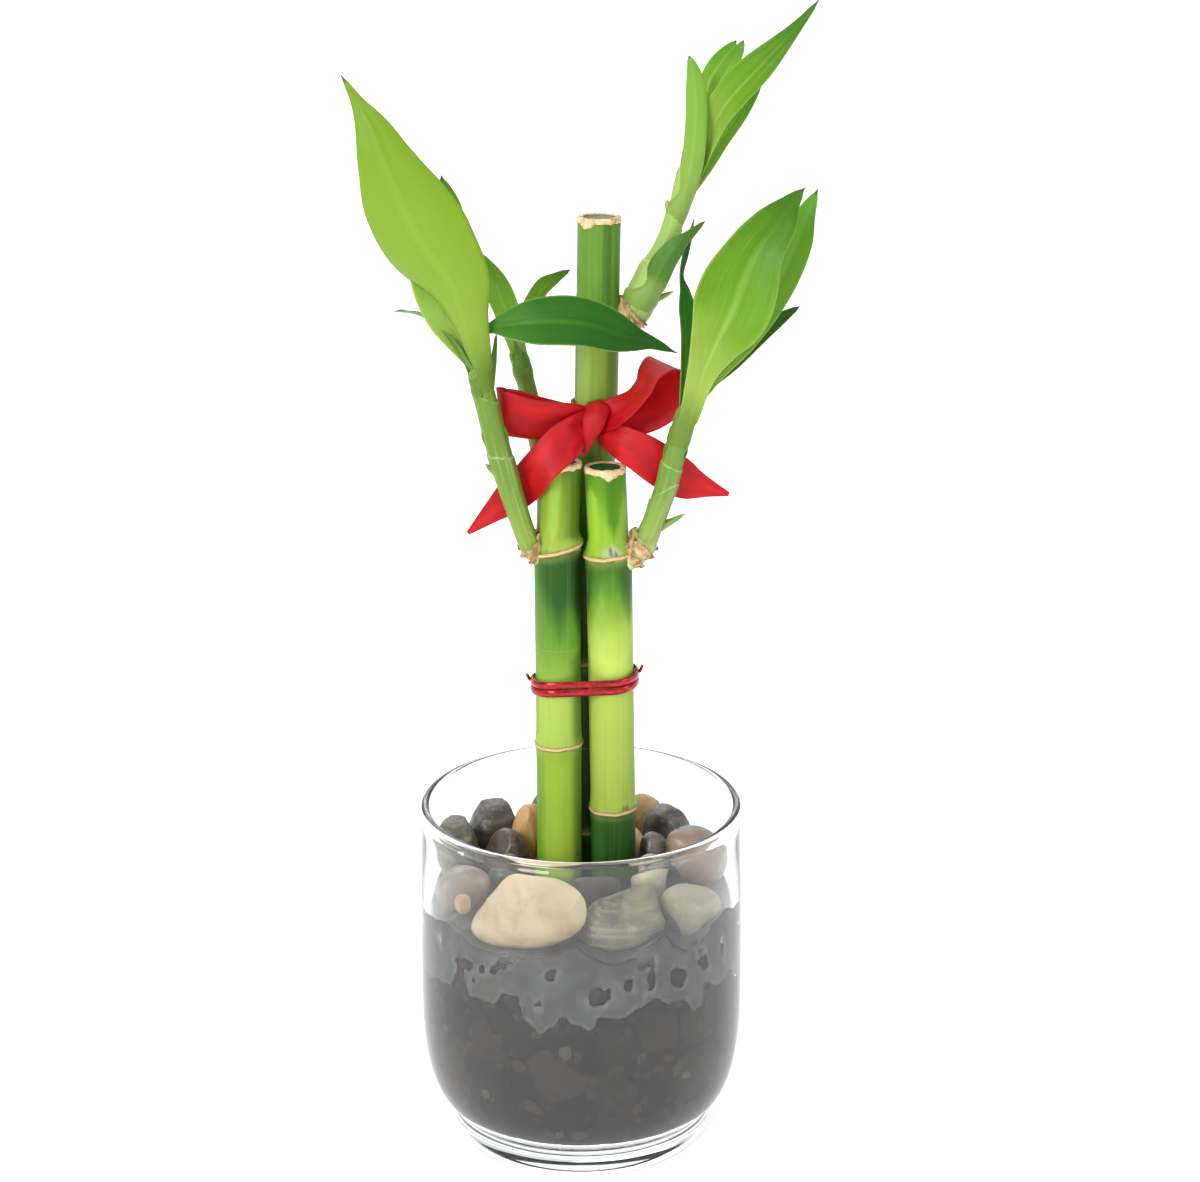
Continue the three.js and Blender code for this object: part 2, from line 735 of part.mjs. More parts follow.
    spine: [
      [30, 11.5, 266, 0.9], [31.8, 12.2, 271, 1.3], [34.3, 13.2, 277.2, 1.9],
      [37, 14.4, 281.4, 2.1], [39, 15.4, 284.6, 1.5], [40.4, 16.4, 287.4, 0.4],
    ],
    face: [[-0.3, -0.9, 0.3], [-0.2, -0.9, 0.3]],
    cup: [0.6, 0.3],
    columns: 2,
    rows: 8,
  },
  {
    name: "leaf_top_5",
    shoot: "shoot_top",
    spine: [
      [28, 11.4, 251.5, 1.4], [31.7, 12.6, 257.4, 2], [35.4, 12.8, 264, 2.5],
      [38.9, 13, 269.4, 2.6], [41.6, 13.5, 273, 2], [45, 14, 277.5, 0.4],
    ],
    face: [[-0.3, -0.9, 0.3], [-0.3, -0.85, 0.4]],
    cup: [0.5, 0.15],
    columns: 2,
    rows: 8,
  },
  {
    name: "leaf_top_6",
    shoot: "shoot_top",
    spine: [
      [18.4, 2.6, 229.5, 3], [20.6, 1.9, 234.3, 3.1], [23.8, 1.6, 238.6, 2.4],
      [27, 2.4, 241.4, 1.4], [30.9, 4, 244.7, 0.4],
    ],
    face: [[0.2, 0.9, 0.1], [-0.2, 0.9, 0.3]],
    cup: [0.6, 0.15],
    columns: 4,
    rows: 8,
  },
];
const DARK_LEAVES = ["leaf_left_4", "leaf_right_1"];

/** Thin closed blade. grow widens and thickens it, for cutting its neighbours back. */
function bladeGeometry(blade, thickness, grow = 0) {
  const spine = curveThrough(blade.spine);
  const halfWidth = runThrough(blade.spine.map((point) => point[3]));
  const acrossAt = blade.across ? curveThrough(blade.across) : null;
  const top = [];
  const bottom = [];
  for (let row = 0; row <= blade.rows; row++) {
    const t = row / blade.rows;
    const middle = spine.getPoint(t);
    const along = spine.getTangent(t);
    const facing = acrossAt
      ? new THREE.Vector3().crossVectors(acrossAt.getPoint(t), along)
      : vec(blade.face[0]).lerp(vec(blade.face[1]), t);
    const across = new THREE.Vector3().crossVectors(along, facing).normalize();
    const normal = new THREE.Vector3().crossVectors(across, along).normalize();
    const half = halfWidth(t) + grow;
    const cup = lerp(blade.cup[0], blade.cup[1], Math.sqrt(t));
    for (let column = 0; column <= blade.columns; column++) {
      const u = (2 * column) / blade.columns - 1;
      const point = middle
        .clone()
        .addScaledVector(across, u * half)
        .addScaledVector(normal, cup * half * u * u);
      top.push(point.clone().addScaledVector(normal, thickness / 2 + grow));
      bottom.push(point.clone().addScaledVector(normal, -thickness / 2 - grow));
    }
  }
  return closedGeometry([...top, ...bottom], bladeTriangles(blade.rows, blade.columns));
}

/** Triangles of a blade, split alike on both faces, with its four edges closed. */
function bladeTriangles(rows, columns) {
  const stride = columns + 1;
  const under = (rows + 1) * stride;
  const at = (row, column) => row * stride + column;
  const triangles = [];
  for (let row = 0; row < rows; row++)
    for (let column = 0; column < columns; column++) {
      const a = at(row, column);
      const b = at(row, column + 1);
      const c = at(row + 1, column + 1);
      const d = at(row + 1, column);
      triangles.push([a, b, c], [a, c, d]);
      triangles.push([under + a, under + c, under + b], [under + a, under + d, under + c]);
    }
  const wall = (a, b) => triangles.push([b, a, under + a], [b, under + a, under + b]);
  for (let row = 0; row < rows; row++) {
    wall(at(row + 1, 0), at(row, 0));
    wall(at(row, columns), at(row + 1, columns));
  }
  for (let column = 0; column < columns; column++) {
    wall(at(0, column), at(0, column + 1));
    wall(at(rows, column + 1), at(rows, column));
  }
  return triangles;
}

// ---------------------------------------------------------------- wire tie

/** Outline round the three canes at a direction angle: the cane that reaches furthest that way. */
function tiePoint(angle) {
  const dir = new THREE.Vector3(Math.cos(angle), Math.sin(angle), 0);
  const reach = (cane) => {
    const middle = caneAxis(cane, TIE_HEIGHT);
    const radius = caneRadius(cane, TIE_HEIGHT) + RING_BULGE;
    const out = radius + CLEARANCE / 2 + TIE_SECTION.thick / 2;
    return middle.clone().addScaledVector(dir, out);
  };
  const points = CANES.map(reach);
  return points.reduce((best, p) => (p.dot(dir) > best.dot(dir) ? p : best));
}

function wireTie() {
  const perTurn = 26;
  const steps = TIE_TURNS * perTurn;
  const start = 0.6 * Math.PI; // both ends lie at the back
  const corners = 6;
  const rings = [];
  for (let i = 0; i <= steps; i++) {
    const angle = start + (2 * Math.PI * i) / perTurn;
    const middle = tiePoint(angle);
    middle.z = TIE_HEIGHT - TIE_PITCH / 2 + (TIE_PITCH * i) / perTurn + TIE_SLOPE * middle.x;
    const out = new THREE.Vector3(Math.cos(angle), Math.sin(angle), 0);
    rings.push(
      Array.from({ length: corners }, (_, k) => {
        const turn = (2 * Math.PI * k) / corners;
        return middle
          .clone()
          .addScaledVector(out, -(TIE_SECTION.thick / 2) * Math.cos(turn))
          .add(new THREE.Vector3(0, 0, (TIE_SECTION.tall / 2) * Math.sin(turn)));
      }),
    );
  }
  return loft(rings);
}

// ---------------------------------------------------------------- ribbon bow

// Where the ribbon crosses the rear cane, the band round it and the knot's half sizes.
const BOW = { x: 3.6, z: 194.2, bandHalf: 4.2, knot: [4.2, 1.9, 4.4], knotLean: 0.25 };

// Each spine point is [x, y, z, half width]; across is the way the ribbon's width lies there.
const RIBBONS = {
  leftLoop: {
    spine: [
      [3, 1, 194.3, 3.6], [-2.5, -3.4, 195.8, 4.8], [-7.9, -6, 196.8, 5.6],
      [-13.9, -7.6, 197.9, 6], [-18.5, -8.4, 199.1, 6.2], [-20.1, -7.2, 199.1, 6.2],
      [-16.9, -5.6, 198.4, 6], [-11.2, -4, 196.8, 5.6], [-4.5, -1.6, 195.3, 4.8],
      [3, 1.4, 194.1, 3.6],
    ],
    across: [
      [0, 0, 1], [0.1, 0, 1], [0.2, 0, 1], [0.2, 0, 1], [0.15, 0, 1],
      [0.15, 0, 1], [0.2, 0, 1], [0.2, 0, 1], [0.1, 0, 1], [0, 0, 1],
    ],
    rows: 11,
  },
  rightLoop: {
    spine: [
      [5, 0.6, 195.4, 3.4], [10, -3.2, 198.9, 3.6], [14, -4.6, 202, 4.2],
      [17.6, -4.4, 205.6, 4.6], [20.4, -2.2, 208.2, 5], [22.9, 0.4, 207.2, 5.4],
      [23, 2, 203.3, 5.8], [21.6, 2.4, 199.3, 5.8], [17.9, 2.2, 196, 5.2],
      [12.1, 1.4, 194.1, 4.4], [5.5, 0.8, 193.6, 3.4],
    ],
    across: [
      [0, 0, 1], [-0.35, 0.1, 0.93], [-0.6, 0.5, 0.6], [-0.45, 0.85, 0.25], [-0.45, 0.85, 0.25],
      [-0.8, 0.55, 0.2], [-0.98, 0.2, 0], [-0.95, 0.15, 0.3], [-0.75, 0.1, 0.7],
      [-0.3, 0, 0.95], [0, 0, 1],
    ],
    rows: 14,
  },
  leftTail: {
    spine: [
      [3, 0.6, 193, 3.2], [-1.5, -6, 192.3, 4.4], [-5.7, -9.2, 190.1, 4.8],
      [-9.7, -10, 186, 4.8], [-12.5, -7.5, 181.9, 4.8], [-14.8, -5.2, 179, 4.8],
      [-18.2, -4, 175.6, 4.2], [-22.3, -4, 172.2, 2.7], [-28.4, -4, 166.8, 0.5],
    ],
    across: [
      [0, 0, 1], [-0.3, 0, 1], [-0.75, 0.2, 0.65], [-0.75, 0.5, 0.5], [-0.7, 0.3, 0.7],
      [-0.4, 0, 0.92], [-0.36, 0, 0.93], [-0.36, 0, 0.93], [-0.4, 0, 0.9],
    ],
    rows: 11,
  },
  rightTail: {
    spine: [
      [5, 0.4, 191.8, 3.4], [10, -4.4, 190.6, 4.4], [15.2, -5.8, 188.3, 5],
      [19.5, -5.2, 185.2, 5.3], [23.1, -4.2, 182.6, 5.3], [27.2, -3.4, 180, 4.6],
      [32.3, -2.4, 178.2, 2.4], [37.6, -1.4, 176.3, 0.5],
    ],
    across: [
      [0, 0, 1], [0.15, 0, 1], [0.3, 0, 1], [0.4, 0, 0.95], [0.4, 0, 0.95],
      [0.35, 0, 1], [0.3, 0, 1], [0.3, 0, 1],
    ],
    rows: 9,
  },
};

/** Band of ribbon round the rear cane. */
function ribbonBand() {
  const cane = CANES.find(({ name }) => name === "cane_rear");
  const middle = caneAxis(cane, BOW.z);
  const inner = caneRadius(cane, BOW.z) + CLEARANCE;
  const outer = inner + RIBBON_THICKNESS;
  const profile = () => [
    [inner, -BOW.bandHalf],
    [outer, -BOW.bandHalf],
    [outer, BOW.bandHalf],
    [inner, BOW.bandHalf],
  ];
  return turnedRing(profile, CANE_SIDES, (p) => p.add(middle));
}

/** Knot in front of the cane: a rounded lump that the loops and tails run into. */
function ribbonKnot() {
  const knot = new THREE.SphereGeometry(1, 10, 7);
  knot.scale(...BOW.knot);
  knot.rotateY(BOW.knotLean);
  knot.translate(BOW.x, -0.2, BOW.z - 0.4);
  return knot;
}

function ribbonBow() {
  const strips = Object.values(RIBBONS).map((strip) =>
    solidOf(bladeGeometry({ ...strip, cup: [0, 0], columns: 2 }, RIBBON_THICKNESS)),
  );
  const cane = CANES.find(({ name }) => name === "cane_rear");
  const room = solidOf(caneGeometry(cane, CLEARANCE));
  const whole = strips.reduce((sum, strip) => sum.add(strip), solidOf(ribbonBand()));
  return clearOf(whole.add(solidOf(ribbonKnot())), room);
}

// ---------------------------------------------------------------- pebbles

// Middle, half sizes along the wall, out from the axis and upwards, and colour. lean pushes the
// top along the wall, and taper makes the top wider than the bottom, both as a share.
const PEBBLES = [
  { at: [-12.8, -28.4, 74.8], size: [14.7, 8.2, 10.8], lean: 0.2, color: "cream", fine: true },
  { at: [11.2, -27.3, 71], size: [10, 7.6, 10], lean: 0.1, color: "greyGreen", fine: true },
  { at: [26.9, -19.8, 69.8], size: [8.2, 6.2, 8.8], taper: 0.3, color: "beige", fine: true },
  { at: [30.2, -3.4, 77.9], size: [8, 9.2, 9.8], color: "pink", fine: true },
  { at: [22.8, 14.4, 74.5], size: [8.2, 6.4, 10.9], color: "slate" },
  { at: [19.4, 3.2, 73.3], size: [4.4, 4.2, 8.8], color: "slate" },
  { at: [17.9, 28.6, 72.6], size: [6.4, 5.6, 9.4], color: "tan" },
  { at: [13.6, 10.6, 72.5], size: [4.6, 3.6, 7.7], color: "cream" },
  { at: [2.8, -16.2, 73], size: [7.4, 4.2, 8.4], color: "brown" },
  { at: [17.6, -13, 73.6], size: [5.8, 5, 8], color: "beige" },
  { at: [-33, 3, 75], size: [8.6, 6.2, 11.2], color: "greyGreen" },
  { at: [-24.4, 19.2, 74.2], size: [8.6, 6.8, 10.4], color: "slate" },
  { at: [-20, 3.2, 73.5], size: [5.4, 6, 8.7], color: "brown" },
  { at: [-14.2, 12.4, 75.4], size: [5.6, 4.2, 10.7], color: "tan" },
  { at: [-30.2, -15, 74], size: [6.6, 6.2, 6.2], color: "pink" },
  { at: [-29.4, -23.6, 73.6], size: [2.1, 2, 2.8], color: "tan" },
  { at: [-29, -18.4, 65], size: [6.4, 5.4, 3.4], color: "slate" },
  { at: [-19.8, -9.6, 73], size: [4.4, 4.4, 8.5], color: "slate" },
  { at: [-8.8, 28.4, 73.3], size: [7.8, 7, 9.4], color: "greyGreen" },
  { at: [4, 29.8, 73], size: [4.6, 7.6, 8.2], color: "brown" },
  { at: [0.6, 18.2, 71.7], size: [7.2, 3.6, 8], color: "beige" },
  { at: [-10.4, -15, 73], size: [3.6, 3.4, 7], color: "slate" },
];

const PEBBLE_WAVES = [
  { rate: 2.4, height: 0.045 },
  { rate: 2.9, height: 0.04 },
  { rate: 3.3, height: 0.035 },
];
const PEBBLE_SQUARENESS = 0.88; // 1 is a plain ellipsoid, and less is boxier
const PEBBLE_SHARE = 0.94; // the waves stay inside the given size

/** Rounded stone: a sphere squared up a little and pushed in and out by a few slow waves. */
function pebbleGeometry(pebble, index, grow = 0) {
  const stone = new THREE.IcosahedronGeometry(1, pebble.fine ? 2 : 1);
  const position = stone.attributes.position;
  const phase = PEBBLE_WAVES.map((wave, k) => 2 * Math.PI * hash(index, k));
  const square = (c) => Math.sign(c) * Math.abs(c) ** PEBBLE_SQUARENESS;
  for (let i = 0; i < position.count; i++) {
    const v = new THREE.Vector3().fromBufferAttribute(position, i);
    const swell = PEBBLE_WAVES.reduce(
      (sum, { rate, height }, k) => sum + height * Math.sin(rate * v.getComponent(k) + phase[k]),
      1,
    );
    v.set(square(v.x), square(v.y), square(v.z)).multiplyScalar(swell * PEBBLE_SHARE);
    const widening = 1 + (pebble.taper ?? 0) * v.z;
    position.setXYZ(i, v.x, v.y * widening + (pebble.lean ?? 0) * v.z, v.z);
  }
  const [along, out, up] = pebble.size.map((half) => half + grow);
  const [x, y, z] = pebble.at;
  stone.scale(out, along, up);
  stone.rotateZ(Math.atan2(y, x));
  stone.translate(x, y, z);
  return stone;
}

// ---------------------------------------------------------------- assembly

const part = new THREE.Group();

function addNode(name, geometry, material) {
  const mesh = new THREE.Mesh(geometry, material);
  mesh.name = name;
  part.add(mesh);
}

const grownCane = Object.fromEntries(
  CANES.map((cane) => [cane.name, solidOf(caneGeometry(cane, CLEARANCE))]),
);
const allGrownCanes = Object.values(grownCane);

addNode("glass_tumbler", tumbler(), FINISH.glass);

const gravel = clearOf(solidOf(turnedSolid(gravelProfile, GRAVEL_SIDES)), ...allGrownCanes);
addNode("gravel_bed", geometryOf(gravel), FINISH.gravel);

const seats = PEBBLES.map((pebble, i) => solidOf(pebbleGeometry(pebble, i, CLEARANCE)));
const binder = clearOf(
  solidOf(turnedSolid(binderProfile, BINDER_SIDES)),
  ...allGrownCanes,
  ...seats,
);
addNode("binder_layer", geometryOf(binder), FINISH.binder);

PEBBLES.forEach((pebble, i) => {
  const name = "pebble_" + String(i + 1).padStart(2, "0");
  addNode(name, pebbleGeometry(pebble, i), FINISH[pebble.color]);
});

for (const cane of CANES) {
  addNode(cane.name, caneGeometry(cane), FINISH.cane);
  const seal = clearOf(solidOf(waxSeal(cane)), ...allGrownCanes);
  addNode(cane.name.replace("cane", "wax_seal"), geometryOf(seal), FINISH.wax);
}

const grownShoot = {};
for (const shoot of SHOOTS) {
  const solid = clearOf(shootSolid(shoot), ...allGrownCanes);
  grownShoot[shoot.name] = shootSolid(shoot, CLEARANCE);
  addNode(shoot.name, geometryOf(solid), FINISH.shoot);
}

const grownLeaves = [];
for (const leaf of LEAVES) {
  const blade = solidOf(bladeGeometry(leaf, BLADE_THICKNESS));
  const neighbours = grownLeaves.filter(({ shoot }) => shoot === leaf.shoot);
  const cut = clearOf(
    blade,
    grownShoot[leaf.shoot],
    ...neighbours.map(({ solid }) => solid),
  );
  grownLeaves.push({
    shoot: leaf.shoot,
    solid: solidOf(bladeGeometry(leaf, BLADE_THICKNESS, CLEARANCE)),
  });
  const isDark = DARK_LEAVES.includes(leaf.name);
  addNode(leaf.name, geometryOf(cut), isDark ? FINISH.darkLeaf : FINISH.leaf);
}

addNode("ribbon_bow", geometryOf(ribbonBow()), FINISH.satin);
addNode("wire_tie", wireTie(), FINISH.wire);

export default part;
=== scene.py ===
"""Looks of a lucky bamboo that stands in gravel and pebbles in a glass tumbler.

Sizes in the classes are millimetres in the frame of the solids: the origin is the middle of the
tumbler's underside, +X is the right of the front view, +Y the back and +Z up. Meshes are written
in metres. Every piece rides on the one body, and its place is in its mesh.
"""

import logging
import math
from collections.abc import Callable, Iterator, Sequence
from dataclasses import dataclass, field
from enum import Enum
from typing import Any

import bmesh
import bpy
from mathutils import Matrix, Vector, noise

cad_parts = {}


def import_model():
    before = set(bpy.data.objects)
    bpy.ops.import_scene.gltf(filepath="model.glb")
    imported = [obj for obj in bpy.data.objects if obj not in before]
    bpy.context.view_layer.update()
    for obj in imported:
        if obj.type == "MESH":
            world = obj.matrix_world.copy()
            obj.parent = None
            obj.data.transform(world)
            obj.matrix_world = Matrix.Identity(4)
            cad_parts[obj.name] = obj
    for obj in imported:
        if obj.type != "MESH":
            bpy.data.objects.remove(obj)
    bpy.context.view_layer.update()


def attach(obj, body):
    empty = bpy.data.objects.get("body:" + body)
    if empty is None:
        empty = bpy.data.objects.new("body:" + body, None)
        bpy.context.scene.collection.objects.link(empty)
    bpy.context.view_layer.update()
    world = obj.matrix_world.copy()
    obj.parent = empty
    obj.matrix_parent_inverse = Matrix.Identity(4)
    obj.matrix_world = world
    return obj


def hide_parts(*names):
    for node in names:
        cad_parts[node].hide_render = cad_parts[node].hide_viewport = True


LOG = logging.getLogger("lucky_bamboo")

MM = 0.001
BODY = "root"
SEED = 7

Numbers = Sequence[float]
Pairs = Sequence[tuple[float, float]]
Colour = tuple[float, float, float, float]
Place = tuple[float, float, float]
Outline = tuple[tuple[float, float], ...]
Spine = tuple[tuple[float, float, float, float], ...]
Material = bpy.types.Material
Mesh = bpy.types.Mesh
Object = bpy.types.Object
Socket = bpy.types.NodeSocket


# ---- numbers and curves


def mix(a: float, b: float, share: float) -> float:
    """Number between a and b at a share of the way."""
    return a + (b - a) * share


def smooth(low: float, high: float, value: float) -> float:
    """Soft step from 0 at low to 1 at high."""
    t = min(1.0, max(0.0, (value - low) / (high - low)))
    return t * t * (3 - 2 * t)


def hash01(i: int, j: int = 0) -> float:
    """Repeatable number from 0 to 1 for two whole numbers."""
    s = math.sin(i * 127.1 + j * 311.7) * 43758.5453
    return s - math.floor(s)


def wave_noise(x: float, y: float = 0.0, z: float = 0.0) -> float:
    """Smooth noise of about -1 to 1 at a place given in its own periods."""
    return noise.noise(Vector((x, y, z)))


def curve_at(points: Sequence[Numbers], share: float) -> list[float]:
    """Smooth run through evenly counted points.

    Args:
        points: Points or rows of numbers of equal length.
        share: 0 at the first point and 1 at the last.

    Returns:
        The numbers at that share.
    """
    last = len(points) - 1
    place = min(max(share, 0.0), 1.0) * last
    first = min(int(place), last - 1)
    t = place - first
    here, after = points[first], points[first + 1]
    before = points[first - 1] if first > 0 else [2 * a - b for a, b in zip(here, after)]
    beyond = (
        points[first + 2] if first + 2 <= last else [2 * a - b for a, b in zip(after, here)]
    )
    found = []
    for p0, p1, p2, p3 in zip(before, here, after, beyond):
        t0, t1 = 0.5 * (p2 - p0), 0.5 * (p3 - p1)
        bend = -3 * p1 + 3 * p2 - 2 * t0 - t1
        turn = 2 * p1 - 2 * p2 + t0 + t1
        found.append(p1 + t * (t0 + t * (bend + t * turn)))
    return found


def place_at(points: Sequence[Numbers], share: float) -> Vector:
    """Point of a smooth run, from its first three numbers."""
    return Vector(curve_at(points, share)[:3])


def heading(points: Sequence[Numbers], share: float) -> Vector:
    """Unit direction of a smooth run at a share of it.

    Args:
        points: Points or rows of numbers.
        share: 0 at the first and 1 at the last.

    Returns:
        The direction.
    """
    step = 1e-3
    ahead = place_at(points, min(1.0, share + step))
    return (ahead - place_at(points, max(0.0, share - step))).normalized()


def walk(points: Sequence[Numbers], steps: int) -> Iterator[tuple[float, Vector, Vector]]:
    """Goes along a smooth run in evenly counted steps.

    Args:
        points: Points or rows of numbers.
        steps: How many steps.

    Yields:
        Share, place and direction, step by step.
    """
    for step in range(steps + 1):
        share = step / steps
        yield share, place_at(points, share), heading(points, share)


def lengths_of(spots: Sequence[Vector]) -> list[float]:
    """Length of the way from the first of these places up to each of them.

    Args:
        spots: The places, in order.

    Returns:
        The lengths, of which the first is 0.
    """
    lengths = [0.0]
    for a, b in zip(spots, spots[1:]):
        lengths.append(lengths[-1] + (b - a).length)
    return lengths


def square_to(along: Vector) -> tuple[Vector, Vector]:
    """Two directions square to one that rises, to the left of the front view and to the front."""
    side = Vector((0, -1, 0)).cross(along).normalized()
    return side, along.cross(side).normalized()


def cross_row(
    middle: Vector, across: Vector, normal: Vector, half: float, lifts: Numbers
) -> list[Vector]:
    """Points across a strip, each lifted off its middle plane.

    Args:
        middle: Middle of the strip.
        across: Unit direction from the first edge to the last.
        normal: Unit direction of the lifts.
        half: Half width.
        lifts: Lift of every point, from the first edge to the last.

    Returns:
        The points.
    """
    row = []
    for column, lift in enumerate(lifts):
        u = 2 * column / (len(lifts) - 1) - 1
        row.append(middle + across * (u * half) + normal * lift)
    return row


def between(table: Pairs, x: float) -> float:
    """Height over x in a table, eased so that each entry is a crest or a dip.

    Args:
        table: Pairs of x and height, in order of x.
        x: Where the height is wanted.

    Returns:
        The height.
    """
    for (x0, y0), (x1, y1) in zip(table, table[1:]):
        if x <= x1:
            return mix(y0, y1, smooth(x0, x1, x))
    return table[-1][1]


def rounded(points: Pairs, times: int, closed: bool = False) -> list[tuple[float, float]]:
    """Corners of a flat outline cut back again and again, which rounds it.

    Args:
        points: Flat points in order.
        times: How often the corners are cut.
        closed: Whether the last point runs on to the first.

    Returns:
        The rounded outline.
    """
    line = list(points)
    for _ in range(times):
        pairs = list(zip(line, line[1:] + line[:1])) if closed else list(zip(line, line[1:]))
        cut = [] if closed else [line[0]]
        for (x0, y0), (x1, y1) in pairs:
            cut.append((mix(x0, x1, 0.25), mix(y0, y1, 0.25)))
            cut.append((mix(x0, x1, 0.75), mix(y0, y1, 0.75)))
        line = cut if closed else cut + [line[-1]]
    return line


def angles(sides: int) -> list[float]:
    """Angles in radians of evenly spaced points round a ring."""
    return [2 * math.pi * side / sides for side in range(sides)]


def spoke(radius: float, angle: float, height: float = 0.0) -> Vector:
    """Point at a radius and an angle in radians round the upright axis."""
    return Vector((radius * math.cos(angle), radius * math.sin(angle), height))


def circle(radius: float, height: float, sides: int) -> list[Vector]:
    """Level ring of points round the upright axis."""
    return [spoke(radius, angle, height) for angle in angles(sides)]


def ink(code: str) -> Colour:
    """Linear colour of a six-figure screen colour.

    Args:
        code: The screen colour.

    Returns:
        Red, green, blue and 1.
    """
    parts = [int(code[i : i + 2], 16) / 255 for i in (0, 2, 4)]
    linear = [c / 12.92 if c <= 0.04045 else ((c + 0.055) / 1.055) ** 2.4 for c in parts]
    return (linear[0], linear[1], linear[2], 1.0)


# ---- meshes


@dataclass
class Skin:
    """Vertices, faces, map and marks of a mesh on its way, in millimetres."""

    vertices: list[Vector] = field(default_factory=list)
    faces: list[tuple[int, ...]] = field(default_factory=list)
    corners: list[Outline] = field(default_factory=list)
    marks: dict[str, list[float]] = field(default_factory=dict)

    def loft(
        self,
        rings: Sequence[Sequence[Vector]],
        closed: bool = False,
        across: Numbers | None = None,
        along: Numbers | None = None,
        marks: dict[str, Sequence[Numbers]] | None = None,
    ) -> None:
        """Adds a skin over rings of equal count, turned so that it faces outwards.

        Args:
            rings: The rings in order; each is closed on itself.
            closed: Whether the last ring joins the first; otherwise both ends are capped.
            across: Map value at each side, one more than there are sides.
            along: Map value at each ring, and one more if closed.
            marks: Named numbers for every point of every ring.
        """
        start, rows, sides = len(self.vertices), len(rings), len(rings[0])
        us = across or [k / sides for k in range(sides + 1)]
        steps = rows if closed else rows - 1
        vs = along or [row / steps for row in range(steps + 1)]
        self.vertices.extend(Vector(p) for ring in rings for p in ring)
        faces: list[tuple[int, ...]] = []
        corners: list[Outline] = []
        for row in range(steps):
            low, high = start + row * sides, start + (row + 1) % rows * sides
            for side in range(sides):
                after = (side + 1) % sides
                faces.append((low + side, low + after, high + after, high + side))
                u0, u1, v0, v1 = us[side], us[side + 1], vs[row], vs[row + 1]
                corners.append(((u0, v0), (u1, v0), (u1, v1), (u0, v1)))
        if not closed:
            for row, turned in ((0, True), (rows - 1, False)):
                middle = len(self.vertices)
                ring = rings[row]
                self.vertices.append(sum((Vector(p) for p in ring), Vector()) / sides)
                at = start + row * sides
                for side in range(sides):
                    after = (side + 1) % sides
                    pair = (at + after, at + side) if turned else (at + side, at + after)
                    faces.append((middle, *pair))
                    corners.append(((us[side], vs[row]),) * 3)
        if self._volume(faces) < 0:
            faces = [face[::-1] for face in faces]
            corners = [corner[::-1] for corner in corners]
        self.faces.extend(faces)
        self.corners.extend(corners)
        self._note(marks or {}, start, rows, sides, closed)

    def _volume(self, faces: Sequence[tuple[int, ...]]) -> float:
        """Six times the volume inside these faces, negative when they face inwards.

        Args:
            faces: Rows of vertex numbers.

        Returns:
            The volume, times six.
        """
        origin = self.vertices[faces[0][0]]
        total = 0.0
        for face in faces:
            a = self.vertices[face[0]] - origin
            for k in range(1, len(face) - 1):
                b = self.vertices[face[k]] - origin
                c = self.vertices[face[k + 1]] - origin
                total += a.dot(b.cross(c))
        return total

    def _note(
        self, marks: dict[str, Sequence[Numbers]], start: int, rows: int, sides: int, closed: bool
    ) -> None:
        """Keeps the marks of a loft, with the mean of an end ring at its cap.

        Args:
            marks: Named numbers for every point of every ring.
            start: Index of the loft's first vertex.
            rows: Number of rings.
            sides: Points of a ring.
            closed: Whether the loft has no caps.
        """
        for name in set(self.marks) | set(marks):
            values = self.marks.setdefault(name, [0.0] * start)
            if name in marks:
                grid = marks[name]
                values.extend(value for ring in grid for value in ring)
                if not closed:
                    values.extend(sum(grid[row]) / sides for row in (0, rows - 1))
            else:
                values.extend([0.0] * (len(self.vertices) - start))

    def sheet(
        self,
        points: Sequence[Sequence[Vector]],
        normals: Sequence[Sequence[Vector]],
        thickness: Callable[[int, int], float],
        marks: dict[str, Sequence[Numbers]] | None = None,
        along: Numbers | None = None,
    ) -> None:
        """Adds a thin closed sheet over a grid of middle points.

        Args:
            points: Rows of middle points.
            normals: Their unit normals.
            thickness: Thickness at a row and a column.
            marks: Named numbers for every middle point.
            along: Map value of each row.
        """
        columns = len(points[0])
        order = list(range(columns)) + list(range(columns - 1, -1, -1))
        signs = [0.5] * columns + [-0.5] * columns
        rings = [
            [line[c] + ups[c] * (s * thickness(row, c)) for c, s in zip(order, signs)]
            for row, (line, ups) in enumerate(zip(points, normals))
        ]
        spread = {
            name: [[grid[row][c] for c in order] for row in range(len(points))]
            for name, grid in (marks or {}).items()
        }
        spread["under"] = [[0.0] * columns + [1.0] * columns for _ in points]
        shares = [c / (columns - 1) for c in order] + [0.0]
        self.loft(rings, across=shares, along=along, marks=spread)

    def build(self, name: str, material: Material) -> Object:
        """Makes the object, in metres, with the map "map" and the marks as attributes.

        Args:
            name: Name of the piece.
            material: Its finish.

        Returns:
            The object.
        """
        mesh = bpy.data.meshes.new(name)
        mesh.from_pydata([p * MM for p in self.vertices], [], self.faces)
        flat = [number for face in self.corners for pair in face for number in pair]
        mesh.uv_layers.new(name="map").data.foreach_set("uv", flat)
        for key, values in self.marks.items():
            mesh.attributes.new(key, "FLOAT", "POINT").data.foreach_set("value", values)
        return object_of(mesh, name, material)


def linked(name: str, data: Any) -> Object:
    """Puts a mesh, a camera or a light into the scene as an object.

    Args:
        name: Name of the object.
        data: The mesh, camera or light.

    Returns:
        The object.
    """
    made = bpy.data.objects.new(name, data)
    bpy.context.scene.collection.objects.link(made)
    return made


